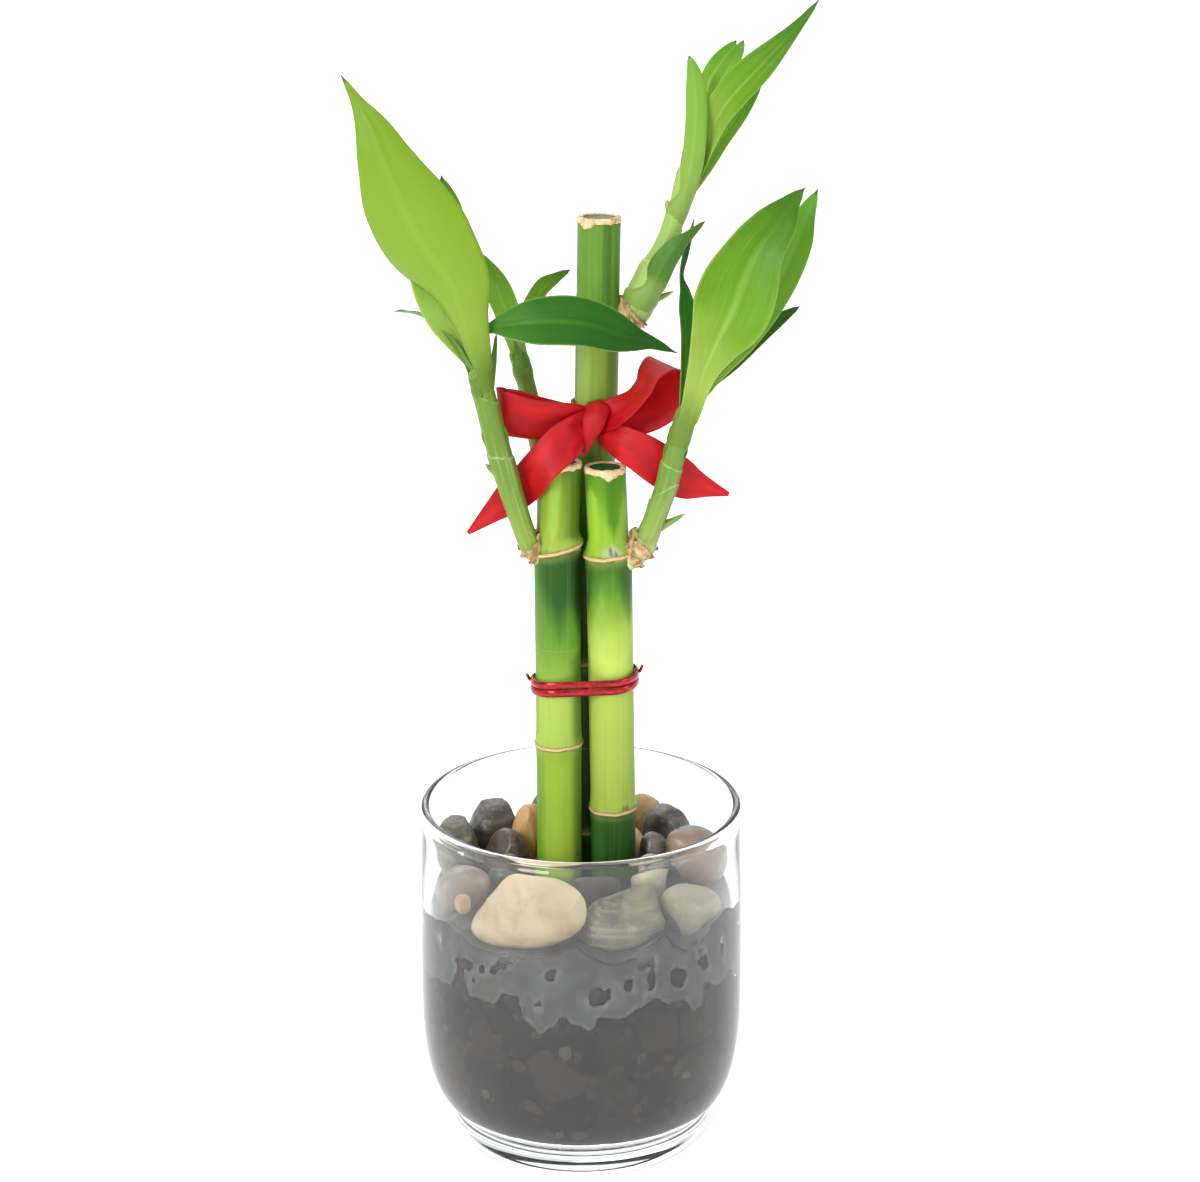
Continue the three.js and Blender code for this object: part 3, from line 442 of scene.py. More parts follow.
def object_of(mesh: Mesh, name: str, material: Material) -> Object:
    """Makes a smooth-shaded object that wears one material.

    Args:
        mesh: The mesh, in metres.
        name: Name of the piece.
        material: Its finish.

    Returns:
        The object.
    """
    mesh.polygons.foreach_set("use_smooth", [True] * len(mesh.polygons))
    mesh.materials.clear()
    mesh.materials.append(material)
    mesh.update()
    return linked(name, mesh)


def install(piece: Object, slot: str, *nodes: str) -> None:
    """Puts a finished piece on the body, in place of its solids, and reports it.

    Args:
        piece: The piece.
        slot: Name of a material slot; not used.
        *nodes: The solids that it stands for, if any.
    """
    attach(piece, BODY)
    if nodes:
        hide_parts(*nodes)
    LOG.info("%s: %d faces, for %s", piece.name, len(piece.data.polygons), ", ".join(nodes) or "-")


class Recipe:
    """A Geometry Nodes tree with named inputs, run once on a mesh."""

    def __init__(self, name: str) -> None:
        """Starts an empty tree.

        Args:
            name: Name of the tree.
        """
        self.tree = bpy.data.node_groups.new(name, "GeometryNodeTree")
        face = self.tree.interface
        face.new_socket("Geometry", in_out="INPUT", socket_type="NodeSocketGeometry")
        face.new_socket("Geometry", in_out="OUTPUT", socket_type="NodeSocketGeometry")
        self.source = self.tree.nodes.new("NodeGroupInput")
        self.result = self.tree.nodes.new("NodeGroupOutput")
        self.identifiers: dict[str, str] = {}

    def given(self) -> Socket:
        """The geometry that the tree works on."""
        return self.source.outputs["Geometry"]

    def number(self, name: str, kind: str = "NodeSocketFloat") -> Socket:
        """Adds a named input.

        Args:
            name: Name of the input.
            kind: Type of its socket.

        Returns:
            The socket.
        """
        item = self.tree.interface.new_socket(name, in_out="INPUT", socket_type=kind)
        self.identifiers[name] = item.identifier
        return self.source.outputs[name]

    def node(
        self, kind: str, settings: dict[str, Any] | None = None, **sockets: Any
    ) -> bpy.types.Node:
        """Adds a node.

        Args:
            kind: The node's type.
            settings: Properties that are set first.
            **sockets: Values or links of inputs, by name with _ for a space or by s and index.

        Returns:
            The node.
        """
        made = self.tree.nodes.new(kind)
        for key, value in (settings or {}).items():
            setattr(made, key, value)
        for key, value in sockets.items():
            index = int(key[1:]) if key[1:].isdigit() else key.replace("_", " ")
            if isinstance(value, Socket):
                self.tree.links.new(value, made.inputs[index])
            else:
                made.inputs[index].default_value = value
        return made

    def random(self, seed: Socket, low: Any, high: Any) -> Socket:
        """Random value of every point or copy.

        Args:
            seed: The seed's socket.
            low: Lowest number, or the lowest of each of three.
            high: Highest number, or the highest of each of three.

        Returns:
            Its socket.
        """
        kind = "FunctionNodeRandomValue"
        if isinstance(high, tuple):
            made = self.node(kind, {"data_type": "FLOAT_VECTOR"}, s0=low, s1=high, Seed=seed)
            return made.outputs[0]
        return self.node(kind, {"data_type": "FLOAT"}, s2=low, s3=high, Seed=seed).outputs[1]

    def serve(
        self,
        geometry: Socket,
        material: Material,
        piece: Object,
        values: dict[str, float],
    ) -> Mesh:
        """Ends the tree, runs it on an object and returns the plain mesh.

        Args:
            geometry: What the tree has made.
            material: The finish that every face gets.
            piece: The object that it works on, which is removed.
            values: The named inputs.

        Returns:
            The mesh that came out.
        """
        real = self.node("GeometryNodeRealizeInstances", Geometry=geometry).outputs[0]
        dressed = self.node("GeometryNodeSetMaterial", Geometry=real, Material=material)
        self.tree.links.new(dressed.outputs[0], self.result.inputs["Geometry"])
        modifier = piece.modifiers.new(self.tree.name, "NODES")
        modifier.node_group = self.tree
        for name, value in values.items():
            modifier[self.identifiers[name]] = value
        bpy.context.view_layer.update()
        graph = bpy.context.evaluated_depsgraph_get()
        mesh = bpy.data.meshes.new_from_object(piece.evaluated_get(graph))
        piece.modifiers.clear()
        bpy.data.objects.remove(piece)
        return mesh


def plain_object(name: str, vertices: Sequence[Vector], edges: Any, faces: Any) -> Object:
    """Makes a bare helper object.

    Args:
        name: Its name.
        vertices: Its vertices, in millimetres.
        edges: Pairs of vertex numbers.
        faces: Rows of vertex numbers.

    Returns:
        The object.
    """
    mesh = bpy.data.meshes.new(name)
    mesh.from_pydata([Vector(v) * MM for v in vertices], edges, faces)
    return linked(name, mesh)


# ---- shader maths


class Value:
    """A number in a shader tree on which Python's operators work."""

    def __init__(self, shader: "Shader", socket: Socket) -> None:
        """Wraps a socket of a shader's tree."""
        self.shader = shader
        self.socket = socket

    def calc(self, operation: str, *others: Any, swapped: bool = False) -> "Value":
        """Adds a Math node on this number and others.

        Args:
            operation: The node's operation.
            *others: The other numbers.
            swapped: Whether this number comes last.

        Returns:
            The result.
        """
        terms = dict(enumerate([*others, self] if swapped else [self, *others]))
        made = self.shader.node("ShaderNodeMath", {"operation": operation}, terms)
        return Value(self.shader, made.outputs[0])

    def __add__(self, other: Any) -> "Value":
        """Sum."""
        return self.calc("ADD", other)

    __radd__ = __add__

    def __sub__(self, other: Any) -> "Value":
        """Difference."""
        return self.calc("SUBTRACT", other)

    def __rsub__(self, other: Any) -> "Value":
        """Difference from a plain number."""
        return self.calc("SUBTRACT", other, swapped=True)

    def __mul__(self, other: Any) -> "Value":
        """Product."""
        return self.calc("MULTIPLY", other)

    __rmul__ = __mul__

    def __truediv__(self, other: Any) -> "Value":
        """Quotient."""
        return self.calc("DIVIDE", other)

    def __abs__(self) -> "Value":
        """Size without sign."""
        return self.calc("ABSOLUTE")

    def wave(self) -> "Value":
        """Sine."""
        return self.calc("SINE")

    def least(self, other: Any) -> "Value":
        """The lower of two."""
        return self.calc("MINIMUM", other)

    def step(self, low: float, high: float) -> "Value":
        """Soft step from 0 at low to 1 at high, or down when high is the lower.

        Args:
            low: Number at which the result is 0.
            high: Number at which it is 1.

        Returns:
            The step.
        """
        sockets = {"Value": self, "From Min": min(low, high), "From Max": max(low, high)}
        settings = {"interpolation_type": "SMOOTHSTEP"}
        made = self.shader.node("ShaderNodeMapRange", settings, sockets)
        rising = Value(self.shader, made.outputs["Result"])
        return rising if high > low else 1 - rising


class Shader:
    """One material and the tree behind it."""

    def __init__(self, name: str) -> None:
        """Starts an empty material.

        Args:
            name: Name of the material.
        """
        self.material = bpy.data.materials.new(name)
        self.material.use_nodes = True
        self.tree = self.material.node_tree
        self.tree.nodes.clear()

    def node(
        self,
        kind: str,
        settings: dict[str, Any] | None = None,
        sockets: dict[str | int, Any] | None = None,
    ) -> bpy.types.Node:
        """Adds a node.

        Args:
            kind: The node's type.
            settings: Properties that are set first; "stops" is a ramp's list of (place, colour).
            sockets: Values or links of the inputs, by name or index.

        Returns:
            The node.
        """
        made = self.tree.nodes.new(kind)
        for key, value in (settings or {}).items():
            if key == "stops":
                self._set_stops(made.color_ramp, value)
            else:
                setattr(made, key, value)
        for key, value in (sockets or {}).items():
            if isinstance(value, Value):
                value = value.socket
            if isinstance(value, Socket):
                self.tree.links.new(value, made.inputs[key])
            else:
                made.inputs[key].default_value = value
        return made

    @staticmethod
    def _set_stops(ramp: bpy.types.ColorRamp, stops: Sequence[tuple[float, Colour]]) -> None:
        """Gives a ramp its stops.

        Args:
            ramp: The ramp.
            stops: Pairs of place and colour, in order.
        """
        while len(ramp.elements) > 1:
            ramp.elements.remove(ramp.elements[-1])
        ramp.elements[0].position, ramp.elements[0].color = stops[0]
        for position, colour in stops[1:]:
            ramp.elements.new(position).color = colour

    def coords(self) -> Socket:
        """Object coordinates, in metres."""
        return self.node("ShaderNodeTexCoord").outputs["Object"]

    def stretched(self, scale: Numbers, turn: Numbers = (0, 0, 0)) -> Socket:
        """Object coordinates turned and scaled by a Mapping node."""
        sockets = {"Vector": self.coords(), "Rotation": tuple(turn), "Scale": tuple(scale)}
        return self.node("ShaderNodeMapping", None, sockets).outputs[0]

    def axis(self, which: str, vector: Socket | None = None) -> Value:
        """One of X, Y and Z of a vector, by default of the object coordinates."""
        made = self.node("ShaderNodeSeparateXYZ", None, {0: vector or self.coords()})
        return Value(self, made.outputs[which])

    def place(self, *parts: Value) -> Socket:
        """Vector of up to three numbers, for a texture to read."""
        return self.node("ShaderNodeCombineXYZ", None, dict(enumerate(parts))).outputs[0]

    def on_map(self, which: str) -> Value:
        """X or Y of the piece's own map."""
        made = self.node("ShaderNodeUVMap", {"uv_map": "map"})
        return self.axis(which, made.outputs[0])

    def mark(self, name: str) -> Value:
        """Named attribute of the mesh."""
        made = self.node("ShaderNodeAttribute", {"attribute_name": name})
        return Value(self, made.outputs["Fac"])

    def noise(
        self,
        scale: float,
        vector: Socket | None = None,
        detail: float = 3.0,
        rough: float = 0.5,
        twist: float = 0.0,
    ) -> Value:
        """Cloudy noise of about 0.2 to 0.8.

        Args:
            scale: Clouds per metre, or per unit of the vector.
            vector: Link of the place, by default the object coordinates.
            detail: How many finer layers are added.
            rough: How strong these are.
            twist: How far the clouds are bent.

        Returns:
            The noise.
        """
        sockets = {"Scale": scale, "Detail": detail, "Roughness": rough, "Distortion": twist}
        sockets["Vector"] = vector or self.coords()
        return Value(self, self.node("ShaderNodeTexNoise", None, sockets).outputs[0])

    def cells(self, scale: float, vector: Socket | None = None) -> Value:
        """Distance to the nearest of scattered points."""
        sockets = {"Vector": vector or self.coords(), "Scale": scale}
        return Value(self, self.node("ShaderNodeTexVoronoi", None, sockets).outputs["Distance"])

    def blend(self, share: Any, low: Any, high: Any) -> Socket:
        """Colour between two colours.

        Args:
            share: 0 for the low colour and 1 for the high one.
            low: Link of a colour, or a six-figure screen colour.
            high: The same for the other colour.

        Returns:
            Link of the colour.
        """
        low, high = (ink(c) if isinstance(c, str) else c for c in (low, high))
        settings = {"data_type": "RGBA", "blend_type": "MIX"}
        return self.node("ShaderNodeMix", settings, {0: share, 6: low, 7: high}).outputs[2]

    def layers(self, colour: Socket, *layers: tuple[Any, Any]) -> Socket:
        """Lays colours over a colour.

        Args:
            colour: The colour underneath.
            *layers: Masks, each with the colour that shows through it, in order.

        Returns:
            Link of the colour.
        """
        for mask, tone in layers:
            colour = self.blend(mask, colour, tone)
        return colour

    def ramp(self, share: Value, stops: Sequence[tuple[float, str]]) -> Socket:
        """Colour from a ramp whose stops are (place, screen colour)."""
        settings = {"stops": [(place, ink(code)) for place, code in stops]}
        return self.node("ShaderNodeValToRGB", settings, {0: share}).outputs[0]

    def bump(self, height: Value, depth: float, strength: float = 1.0) -> Socket:
        """Normal from a height that stands for a depth in millimetres."""
        sockets = {"Height": height, "Distance": depth * MM, "Strength": strength}
        return self.node("ShaderNodeBump", None, sockets).outputs[0]

    def surface(self, colour: Any, rough: Any, normal: Any = None, **more: Any) -> Socket:
        """Principled shader.

        Args:
            colour: Link of the base colour, or a six-figure screen colour.
            rough: Roughness.
            normal: Link of the normal, where it isn't plain.
            **more: Values of other sockets, by name with _ for a space.

        Returns:
            Link of the shader.
        """
        colour = ink(colour) if isinstance(colour, str) else colour
        sockets = {"Base Color": colour, "Roughness": rough}
        sockets |= {name.replace("_", " "): value for name, value in more.items()}
        if normal is not None:
            sockets["Normal"] = normal
        return self.node("ShaderNodeBsdfPrincipled", None, sockets).outputs[0]

    def through(self, share: float, code: str, front: Any) -> Socket:
        """Surface that lets part of the light through in a screen colour, as a leaf does."""
        glow = self.node("ShaderNodeBsdfTranslucent", None, {"Color": ink(code)}).outputs[0]
        return self.node("ShaderNodeMixShader", None, {0: share, 1: front, 2: glow}).outputs[0]

    def done(self, surface: Socket) -> Material:
        """Ends the tree and returns the material."""
        self.node("ShaderNodeOutputMaterial", None, {"Surface": surface})
        return self.material


# ---- finishes


@dataclass(frozen=True)
class GlassFinish:
    """Clear pressed glass with faint smears."""

    tint: str = "f6faf9"
    ior: float = 1.5

    def material(self) -> Material:
        """Builds the material.

        Returns:
            The material.
        """
        s = Shader("clear_glass")
        smear = s.noise(60, detail=4, rough=0.6)
        flow = s.noise(35, s.stretched((1, 1, 0.35)), detail=1)
        rough, normal = smear.step(0.45, 0.8) * 0.012, s.bump(flow, 0.05, 0.35)
        return s.done(s.surface(self.tint, rough, normal, IOR=self.ior, Transmission_Weight=1.0))


@dataclass(frozen=True)
class GravelFinish:
    """Small dark stones, each in a shade of its own."""

    shades: tuple[tuple[float, str], ...] = (
        (0.0, "1f1b1b"),
        (0.35, "2c2827"),
        (0.65, "3b3634"),
        (0.85, "463f3b"),
        (0.95, "4b3a2f"),
        (0.985, "4c453e"),
        (1.0, "645d56"),
    )

    def material(self) -> Material:
        """Builds the material.

        Returns:
            The material.
        """
        s = Shader("dark_gravel")
        fleck = s.noise(240, detail=2, rough=0.5)
        colour = s.layers(
            s.ramp(s.mark("shade"), self.shades),
            (fleck.step(0.4, 0.8) * 0.3, "4a4544"),
            (s.noise(120).step(0.5, 0.75) * 0.35, "221f1e"),
        )
        return s.done(s.surface(colour, fleck * 0.4 + 0.35, s.bump(fleck, 0.06)))


@dataclass(frozen=True)
class BinderFinish:
    """Set grey binder with a painted highlight along the edges of its film, with the gravel showing
    brown through it.
    """

    body: str = "616061"
    pale: str = "757475"
    deep: str = "4e4c4d"
    # Pale grey of the painted highlight along the film's edges.
    rim: str = "8b8a8a"

    def material(self) -> Material:
        """Builds the material.

        Returns:
            The material.
        """
        s = Shader("set_binder")
        cloud = s.noise(110, detail=4, rough=0.6)
        film = s.noise(330, s.stretched((1, 1, 0.6)), detail=3)
        brown = s.noise(95, s.stretched((1, 1, 1), (0.4, 0.2, 1.1)), detail=2)
        speck = s.cells(420).step(0.1, 0.05) * cloud.step(0.5, 0.7)
        colour = s.layers(
            s.blend(cloud.step(0.38, 0.62), self.deep, self.body),
            (film.step(0.5, 0.75) * 0.6, self.pale),
            (brown.step(0.58, 0.72) * 0.5, "5b4c41"),
            # Painted highlight along the drip edges and the holes of the film.
            (s.mark("rim") * (film * 0.8 + 0.2), self.rim),
            (speck * 0.6, "c9cbcb"),
        )
        rough, normal = film * 0.35 + 0.22, s.bump(film, 0.2, 0.6)
        return s.done(s.surface(colour, rough, normal, Coat_Weight=0.3, Coat_Roughness=0.15))


@dataclass(frozen=True)
class StonePalette:
    """Colours and markings of a kind of river stone."""

    light: str
    base: str
    dark: str
    vein: str
    band: float = 0.0
    band_turn: Place = (0.0, 0.0, 0.0)
    speck: float = 0.3
    rough: float = 0.36
    pit: float = 0.12


class Stone(Enum):
    """The kinds of stone on the bed."""

    CREAM = StonePalette("f4e5c8", "e7cba3", "cfad80", "bf9a6c", speck=0.12, rough=0.3, pit=0.05)
    BEIGE = StonePalette("d0c4aa", "b1a58a", "8d8169", "7a6c56", speck=0.3, pit=0.14)
    TAN = StonePalette("dcb98c", "c49a66", "a07648", "7f5a38", speck=0.3)
    PINK = StonePalette("a89584", "857163", "645244", "9d6d43", speck=0.5, pit=0.1)
    GREY_GREEN = StonePalette(
        "8b897a", "615f52", "3d3c34", "a08f62", band=0.7, band_turn=(0.2, 0.9, 0.3), pit=0.35
    )
    SCHIST = StonePalette(
        "c0b8a0", "8b8470", "545046", "b79a62", band=0.35, band_turn=(0.2, 0.9, 0.3), speck=0.6,
        rough=0.45, pit=0.7,
    )
    SLATE = StonePalette(
        "77716a", "4e4a46", "2f2c2a", "9c9486", band=0.45, band_turn=(0.5, 0.6, 0.2), pit=0.2
    )
    BROWN = StonePalette("6e5e54", "4d4139", "302823", "8f7d6c", band=0.25, pit=0.15)


@dataclass(frozen=True)
class StoneFinish:
    """Half-polished river stone."""

    kind: Stone

    def material(self, index: int) -> Material:
        """Builds the material of one stone, with its pattern in a place of its own.

        Args:
            index: Number of the stone.

        Returns:
            The material.
        """
        look = self.kind.value
        s = Shader(f"river_stone_{index:02d}")
        shift = (hash01(index, 5) * 3, hash01(index, 6) * 3, hash01(index, 7) * 3)
        place = s.stretched((1, 1, 1), shift)
        cloud = s.noise(90, place, detail=4, rough=0.55, twist=0.4)
        colour = s.ramp(
            cloud, ((0.3, look.dark), (0.45, look.base), (0.58, look.base), (0.72, look.light))
        )
        grain = s.noise(1500, place, detail=2, rough=0.6)
        height = grain
        if look.band:
            turned = s.stretched((60, 60, 520), look.band_turn)
            warp = s.noise(1, turned, detail=3, rough=0.6, twist=0.5)
            colour = s.layers(
                colour,
                (warp.step(0.5, 0.62) * look.band, look.light),
                (warp.step(0.47, 0.36) * look.band, look.dark),
            )
            height = grain * 0.5 + warp
        patch = s.noise(55, s.stretched((1, 1, 1), (shift[1], shift[2], shift[0])), detail=2)
        colour = s.layers(
            colour,
            (s.cells(620, place).step(0.28, 0.12) * look.speck, look.vein),
            (patch.step(0.58, 0.7) * look.speck, look.vein),
        )
        rough, normal = grain * 0.22 + (look.rough - 0.06), s.bump(height, look.pit)
        return s.done(s.surface(colour, rough, normal, Coat_Weight=0.25, Coat_Roughness=0.2))


@dataclass(frozen=True)
class StreakAndLightBand:
    """Tone that runs along part of a cane, for the skin's own streaks and for bands of painted shade
    and painted highlight.

    place is where round the cane, as a share of a turn with 0.75 at the front, and half the half
    width in the same shares; low and high are heights, and taper how far from each of them the
    streak reaches its full width, in millimetres.
    """

    place: float
    half: float
    low: float
    high: float
    tone: str
    strength: float = 0.8
    taper: tuple[float, float] = (4.0, 4.0)
    soft: float = 0.6


@dataclass(frozen=True)
class CaneFinish:
    """Waxy green skin of a cut cane, with painted shade and painted highlight in some of its streaks.
    """

    name: str
    tones: tuple[tuple[float, str], ...]
    streaks_and_light_bands: tuple[StreakAndLightBand, ...] = ()
    # Greens of the sunken cut face; the default dark ones also paint the shade in the recess.
    dish: tuple[str, str] = ("1d3a19", "33642a")

    def material(self) -> Material:
        """Builds the material; the tones are (height in millimetres, colour).

        Returns:
            The material.
        """
        s = Shader(f"{self.name}_skin")
        low, high = 60.0, 250.0
        along, around = s.axis("Z") / MM, s.on_map("X")
        fibre = s.noise(900, s.stretched((1, 1, 0.02)), detail=2)
        patch = s.noise(70, s.stretched((1.6, 1.6, 0.45)), detail=3, rough=0.6)
        warped = along + (patch - 0.5) * 9 + (fibre - 0.5) * 3
        stops = tuple(((z - low) / (high - low), tone) for z, tone in self.tones)
        colour = s.ramp((warped - low) / (high - low), stops)
        # The skin's own streaks, and bands of painted shade and painted highlight.
        for tone_run in self.streaks_and_light_bands:
            mask = self._mask(tone_run, around + (patch - 0.5) * 0.05, along + (patch - 0.5) * 4)
            colour = s.blend(mask * tone_run.strength, colour, tone_run.tone)
        near, cut = abs(s.mark("ring")), s.mark("cut")
        fray = s.noise(700, s.stretched((1, 1, 0.7)), detail=4, rough=0.7)
        collar = (near - (fray - 0.5) * 0.9).step(0.66, 0.36)
        line = (abs(near - 0.5) - (fray - 0.5) * 0.3).step(0.2, 0.06)
        shade = (near - (patch - 0.5) * 3).step(3.5, 0.8)
        pith = s.noise(1600, detail=3, rough=0.6)
        colour = s.layers(
            colour,
            (fibre.step(0.5, 0.8) * 0.07, "b9cc7c"),
            (fibre.step(0.5, 0.2) * 0.14, "2c5a1c"),
            (collar, "cfb484"),
            (line * 0.85, "7e5a34"),
            (shade * (1 - collar) * 0.25, "93a552"),
            # Cut face, whose dark greens also paint the shade in the recess.
            (cut, s.ramp(pith, ((0.3, self.dish[0]), (0.7, self.dish[1])))),
        )
        rough = collar * 0.4 + cut * 0.3 + fibre * 0.15 + 0.34
        normal = s.bump(fibre * (1 - collar) + fray * collar, 0.08, 0.6)
        return s.done(s.surface(colour, rough, normal, Specular_IOR_Level=0.18))

    @staticmethod
    def _mask(tone_run: StreakAndLightBand, around: Value, along: Value) -> Value:
        """How strongly a streak shows at a place, from 0 to 1.

        Args:
            tone_run: The streak.
            around: Share of a turn round the cane.
            along: Height in millimetres.

        Returns:
            The strength.
        """
        rise = ((along - tone_run.low) / tone_run.taper[0]).least(1.0)
        fall = ((tone_run.high - along) / tone_run.taper[1]).least(1.0)
        turned = (around - (tone_run.place - 0.5)).calc("FRACT")
        away = abs(turned - 0.5) / tone_run.half
        return (rise.least(fall) - away).step(0.0, tone_run.soft)


@dataclass(frozen=True)
class WaxFinish:
    """Cream sealing wax that has browned in places."""

    def material(self) -> Material:
        """Builds the material.

        Returns:
            The material.
        """
        s = Shader("sealing_wax")
        cloud = s.noise(450, detail=4, rough=0.65)
        colour = s.ramp(cloud, ((0.32, "8f6a3e"), (0.44, "cfae79"), (0.62, "e6d3ab")))
        crumb = s.noise(1500, detail=3)
        colour = s.blend(crumb.step(0.62, 0.72) * 0.5, colour, "7a5730")
        normal = s.bump(cloud * 0.6 + crumb * 0.4, 0.4)
        return s.done(s.surface(colour, crumb * 0.3 + 0.35, normal))


@dataclass(frozen=True)
class HuskFinish:
    """Dry papery bracts and fibres."""

    def material(self) -> Material:
        """Builds the material.

        Returns:
            The material.
        """
        s = Shader("dry_husk")
        fibre = s.noise(900, s.stretched((1, 1, 0.3)), detail=4, rough=0.7)
        colour = s.ramp(fibre, ((0.28, "6e4a26"), (0.45, "b08a56"), (0.6, "d8bf91")))
        front = s.surface(colour, fibre * 0.3 + 0.5, s.bump(fibre, 0.15))
        return s.done(s.through(0.15, "d2b07a", front))


@dataclass(frozen=True)
class ShootFinish:
    """Pale green shoot, whitish low down, with fine lines along it, pale sheath edges and painted
    shade down its right side.
    """

    name: str
    low: str = "c9d080"
    middle: str = "7c9839"
    high: str = "607f27"
    # Darker green of the painted shade down the right side, and of the darker fine lines.
    shade: str = "45661b"

    def material(self) -> Material:
        """Builds the material from the map along the shoot and the sheath marks.

        Returns:
            The material.
        """
        s = Shader(f"{self.name}_skin")
        along, across = s.on_map("Y"), s.on_map("X")
        rib = s.noise(1, self._lines(s, across, along), detail=3, rough=0.6)
        cloud = s.noise(120, detail=3)
        colour = s.ramp(
            along + (cloud - 0.5) * 0.3,
            ((0.02, self.low), (0.25, self.middle), (0.6, self.high), (1.0, self.high)),
        )
        # Painted shade down the right side of the shoot, away from the key light.
        side = abs(across - 0.5 + (cloud - 0.5) * 0.1).step(0.16, 0.04)
        colour = s.layers(
            colour,
            (side * 0.55, self.shade),
            (rib.step(0.5, 0.75) * 0.2, "c9dba0"),
            (rib.step(0.48, 0.25) * 0.3, self.shade),
            (s.mark("sheath").step(0.5, 1.0) * 0.35, "cbd99c"),
        )
        rough, normal = rib * 0.2 + 0.34, s.bump(rib, 0.12, 0.7)
        return s.done(s.surface(colour, rough, normal, Specular_IOR_Level=0.28))

    @staticmethod
    def _lines(s: Shader, across: Value, along: Value) -> Socket:
        """Map coordinates that draw noise out into fine lines along the shoot."""
        turn = across * (2 * math.pi)
        return s.place(turn.wave() * 7, (turn + math.pi / 2).wave() * 7, along * 3)


@dataclass(frozen=True)
class LeafPalette:
    """Greens of a leaf from its base to its tip, and how it takes the light."""

    base: str
    middle: str
    tip: str
    rib: str
    under: str
    glow: str = "b5e03a"
    light_through: float = 0.3
    rough: float = 0.34
    vein: float = 0.35


class LeafTone(Enum):
    """The tones of leaf on the plant."""

    BRIGHT = LeafPalette("9fae55", "88a32d", "457c14", "a9c650", "84a92f", "b0d03a")
    MIDDLE = LeafPalette("b2c660", "72a01e", "3a7013", "a3c65c", "6b9a3c", "a5cc34")
    YOUNG = LeafPalette("b0cb6a", "8cb944", "5a952a", "b4d272", "83ad46", "b2d83c")
    DARK = LeafPalette(
        "417f14", "22640b", "184c08", "48801c", "5f8250", "74ae22", 0.12, 0.32, 0.45
    )
    SHADED = LeafPalette(
        "66963a", "457b25", "2d5f1a", "74a04a", "567f30", "83b538", light_through=0.2
    )


@dataclass(frozen=True)
class LeafFinish:
    """Leaf skin with long veins, a lighter rib, a thin pale rim of painted highlight and a dry tip."""

    name: str
    tone: LeafTone
    stem: str
    dry: float = 0.955

    def material(self) -> Material:
        """Builds the material from the map: X across the blade and Y along it.

        Returns:
            The material.
        """
        look = self.tone.value
        s = Shader(f"{self.name}_skin")
        along, across = s.on_map("Y"), s.on_map("X")
        out = abs(across - 0.5) * 2
        cloud = s.noise(70, detail=3, rough=0.55)
        vein = s.noise(1, s.place(across * 22, along * 1.2), detail=4, rough=0.65)
        thread = s.noise(1, s.place(across * 75, along * 4), detail=2)
        run = along + (cloud - 0.5) * 0.22 + (vein - 0.5) * 0.16
        colour = s.ramp(run, ((0.05, look.base), (0.38, look.middle), (0.82, look.tip)))
        rib = out.step(0.16, 0.0) * along.step(0.85, 0.2)
        tip = (along + (thread - 0.5) * 0.04).step(self.dry, self.dry + 0.02)
        colour = s.layers(
            colour,
            (vein.step(0.52, 0.72) * look.vein, look.rib),
            (vein.step(0.48, 0.28) * look.vein, look.tip),
            (thread.step(0.5, 0.7) * 0.2, look.tip),
            (rib * 0.6, look.rib),
            # Painted highlight along the lit edges of the blade.
            (out.step(0.93, 0.99) * 0.3, "c3d97c"),
            (s.mark("under") * 0.7, look.under),
            (along.step(0.12, -0.06) * 0.85, self.stem),
            (tip * 0.9, "4a3d1f"),
        )
        rough, normal = vein * 0.15 + (look.rough - 0.07), s.bump(vein * 0.7 + thread * 0.3, 0.16, 0.6)
        front = s.surface(colour, rough, normal, Specular_IOR_Level=0.22)
        return s.done(s.through(look.light_through, look.glow, front))


@dataclass(frozen=True)
class SatinFinish:
    """Red satin ribbon with a fine crosswise weave and soft random bands of painted shade along it."""

    colour: str = "cc151b"
    # Darker red of the painted shade bands, and of the darker selvages.
    shade: str = "9c0c12"
    light: str = "dc3034"

    def material(self) -> Material:
        """Builds the material from the map: X across the ribbon and Y along it in millimetres.

        Returns:
            The material.
        """
        s = Shader("red_satin")
        along, across = s.on_map("Y"), s.on_map("X")
        warp = (across * (2 * math.pi * 60)).wave()
        weft = (along * (2 * math.pi * 3.2)).wave()
        soft = s.noise(1, s.place(across * 3, along * 0.09), detail=2)
        colour = s.layers(
            # Soft random bands of painted shade along the ribbon, between the darker red and the full
            # red.
            s.blend(soft.step(0.35, 0.65) * 0.55 + 0.35, self.shade, self.colour),
            ((warp * weft).step(0.2, 1.0) * 0.12, self.light),
            (abs(across - 0.5).step(0.47, 0.485) * 0.4, self.shade),
        )
        normal = s.bump(warp * 0.5 + weft * 0.5, 0.02, 0.6)
        front = s.surface(colour, soft * 0.1 + 0.36, normal, Specular_IOR_Level=0.3)
        return s.done(s.through(0.25, "ff2a28", front))


@dataclass(frozen=True)
class WireFinish:
    """Red lacquered foil wire with fine creases, whose shade and glints are painted into its colour.
    """

    def material(self) -> Material:
        """Builds the material.

        Returns:
            The material.
        """
        s = Shader("red_wire_foil")
        crease = s.noise(1500, s.stretched((0.35, 0.35, 1)), detail=3, rough=0.6)
        # Dark and light reds over the creases: painted shade and painted glints.
        colour = s.ramp(crease, ((0.3, "5e0508"), (0.5, "9e1016"), (0.7, "c62c30")))
        coat = {"Coat_Weight": 0.5, "Coat_Roughness": 0.1, "Metallic": crease * 0.1 + 0.85}
        return s.done(s.surface(colour, crease * 0.2 + 0.12, s.bump(crease, 0.12, 0.8), **coat))


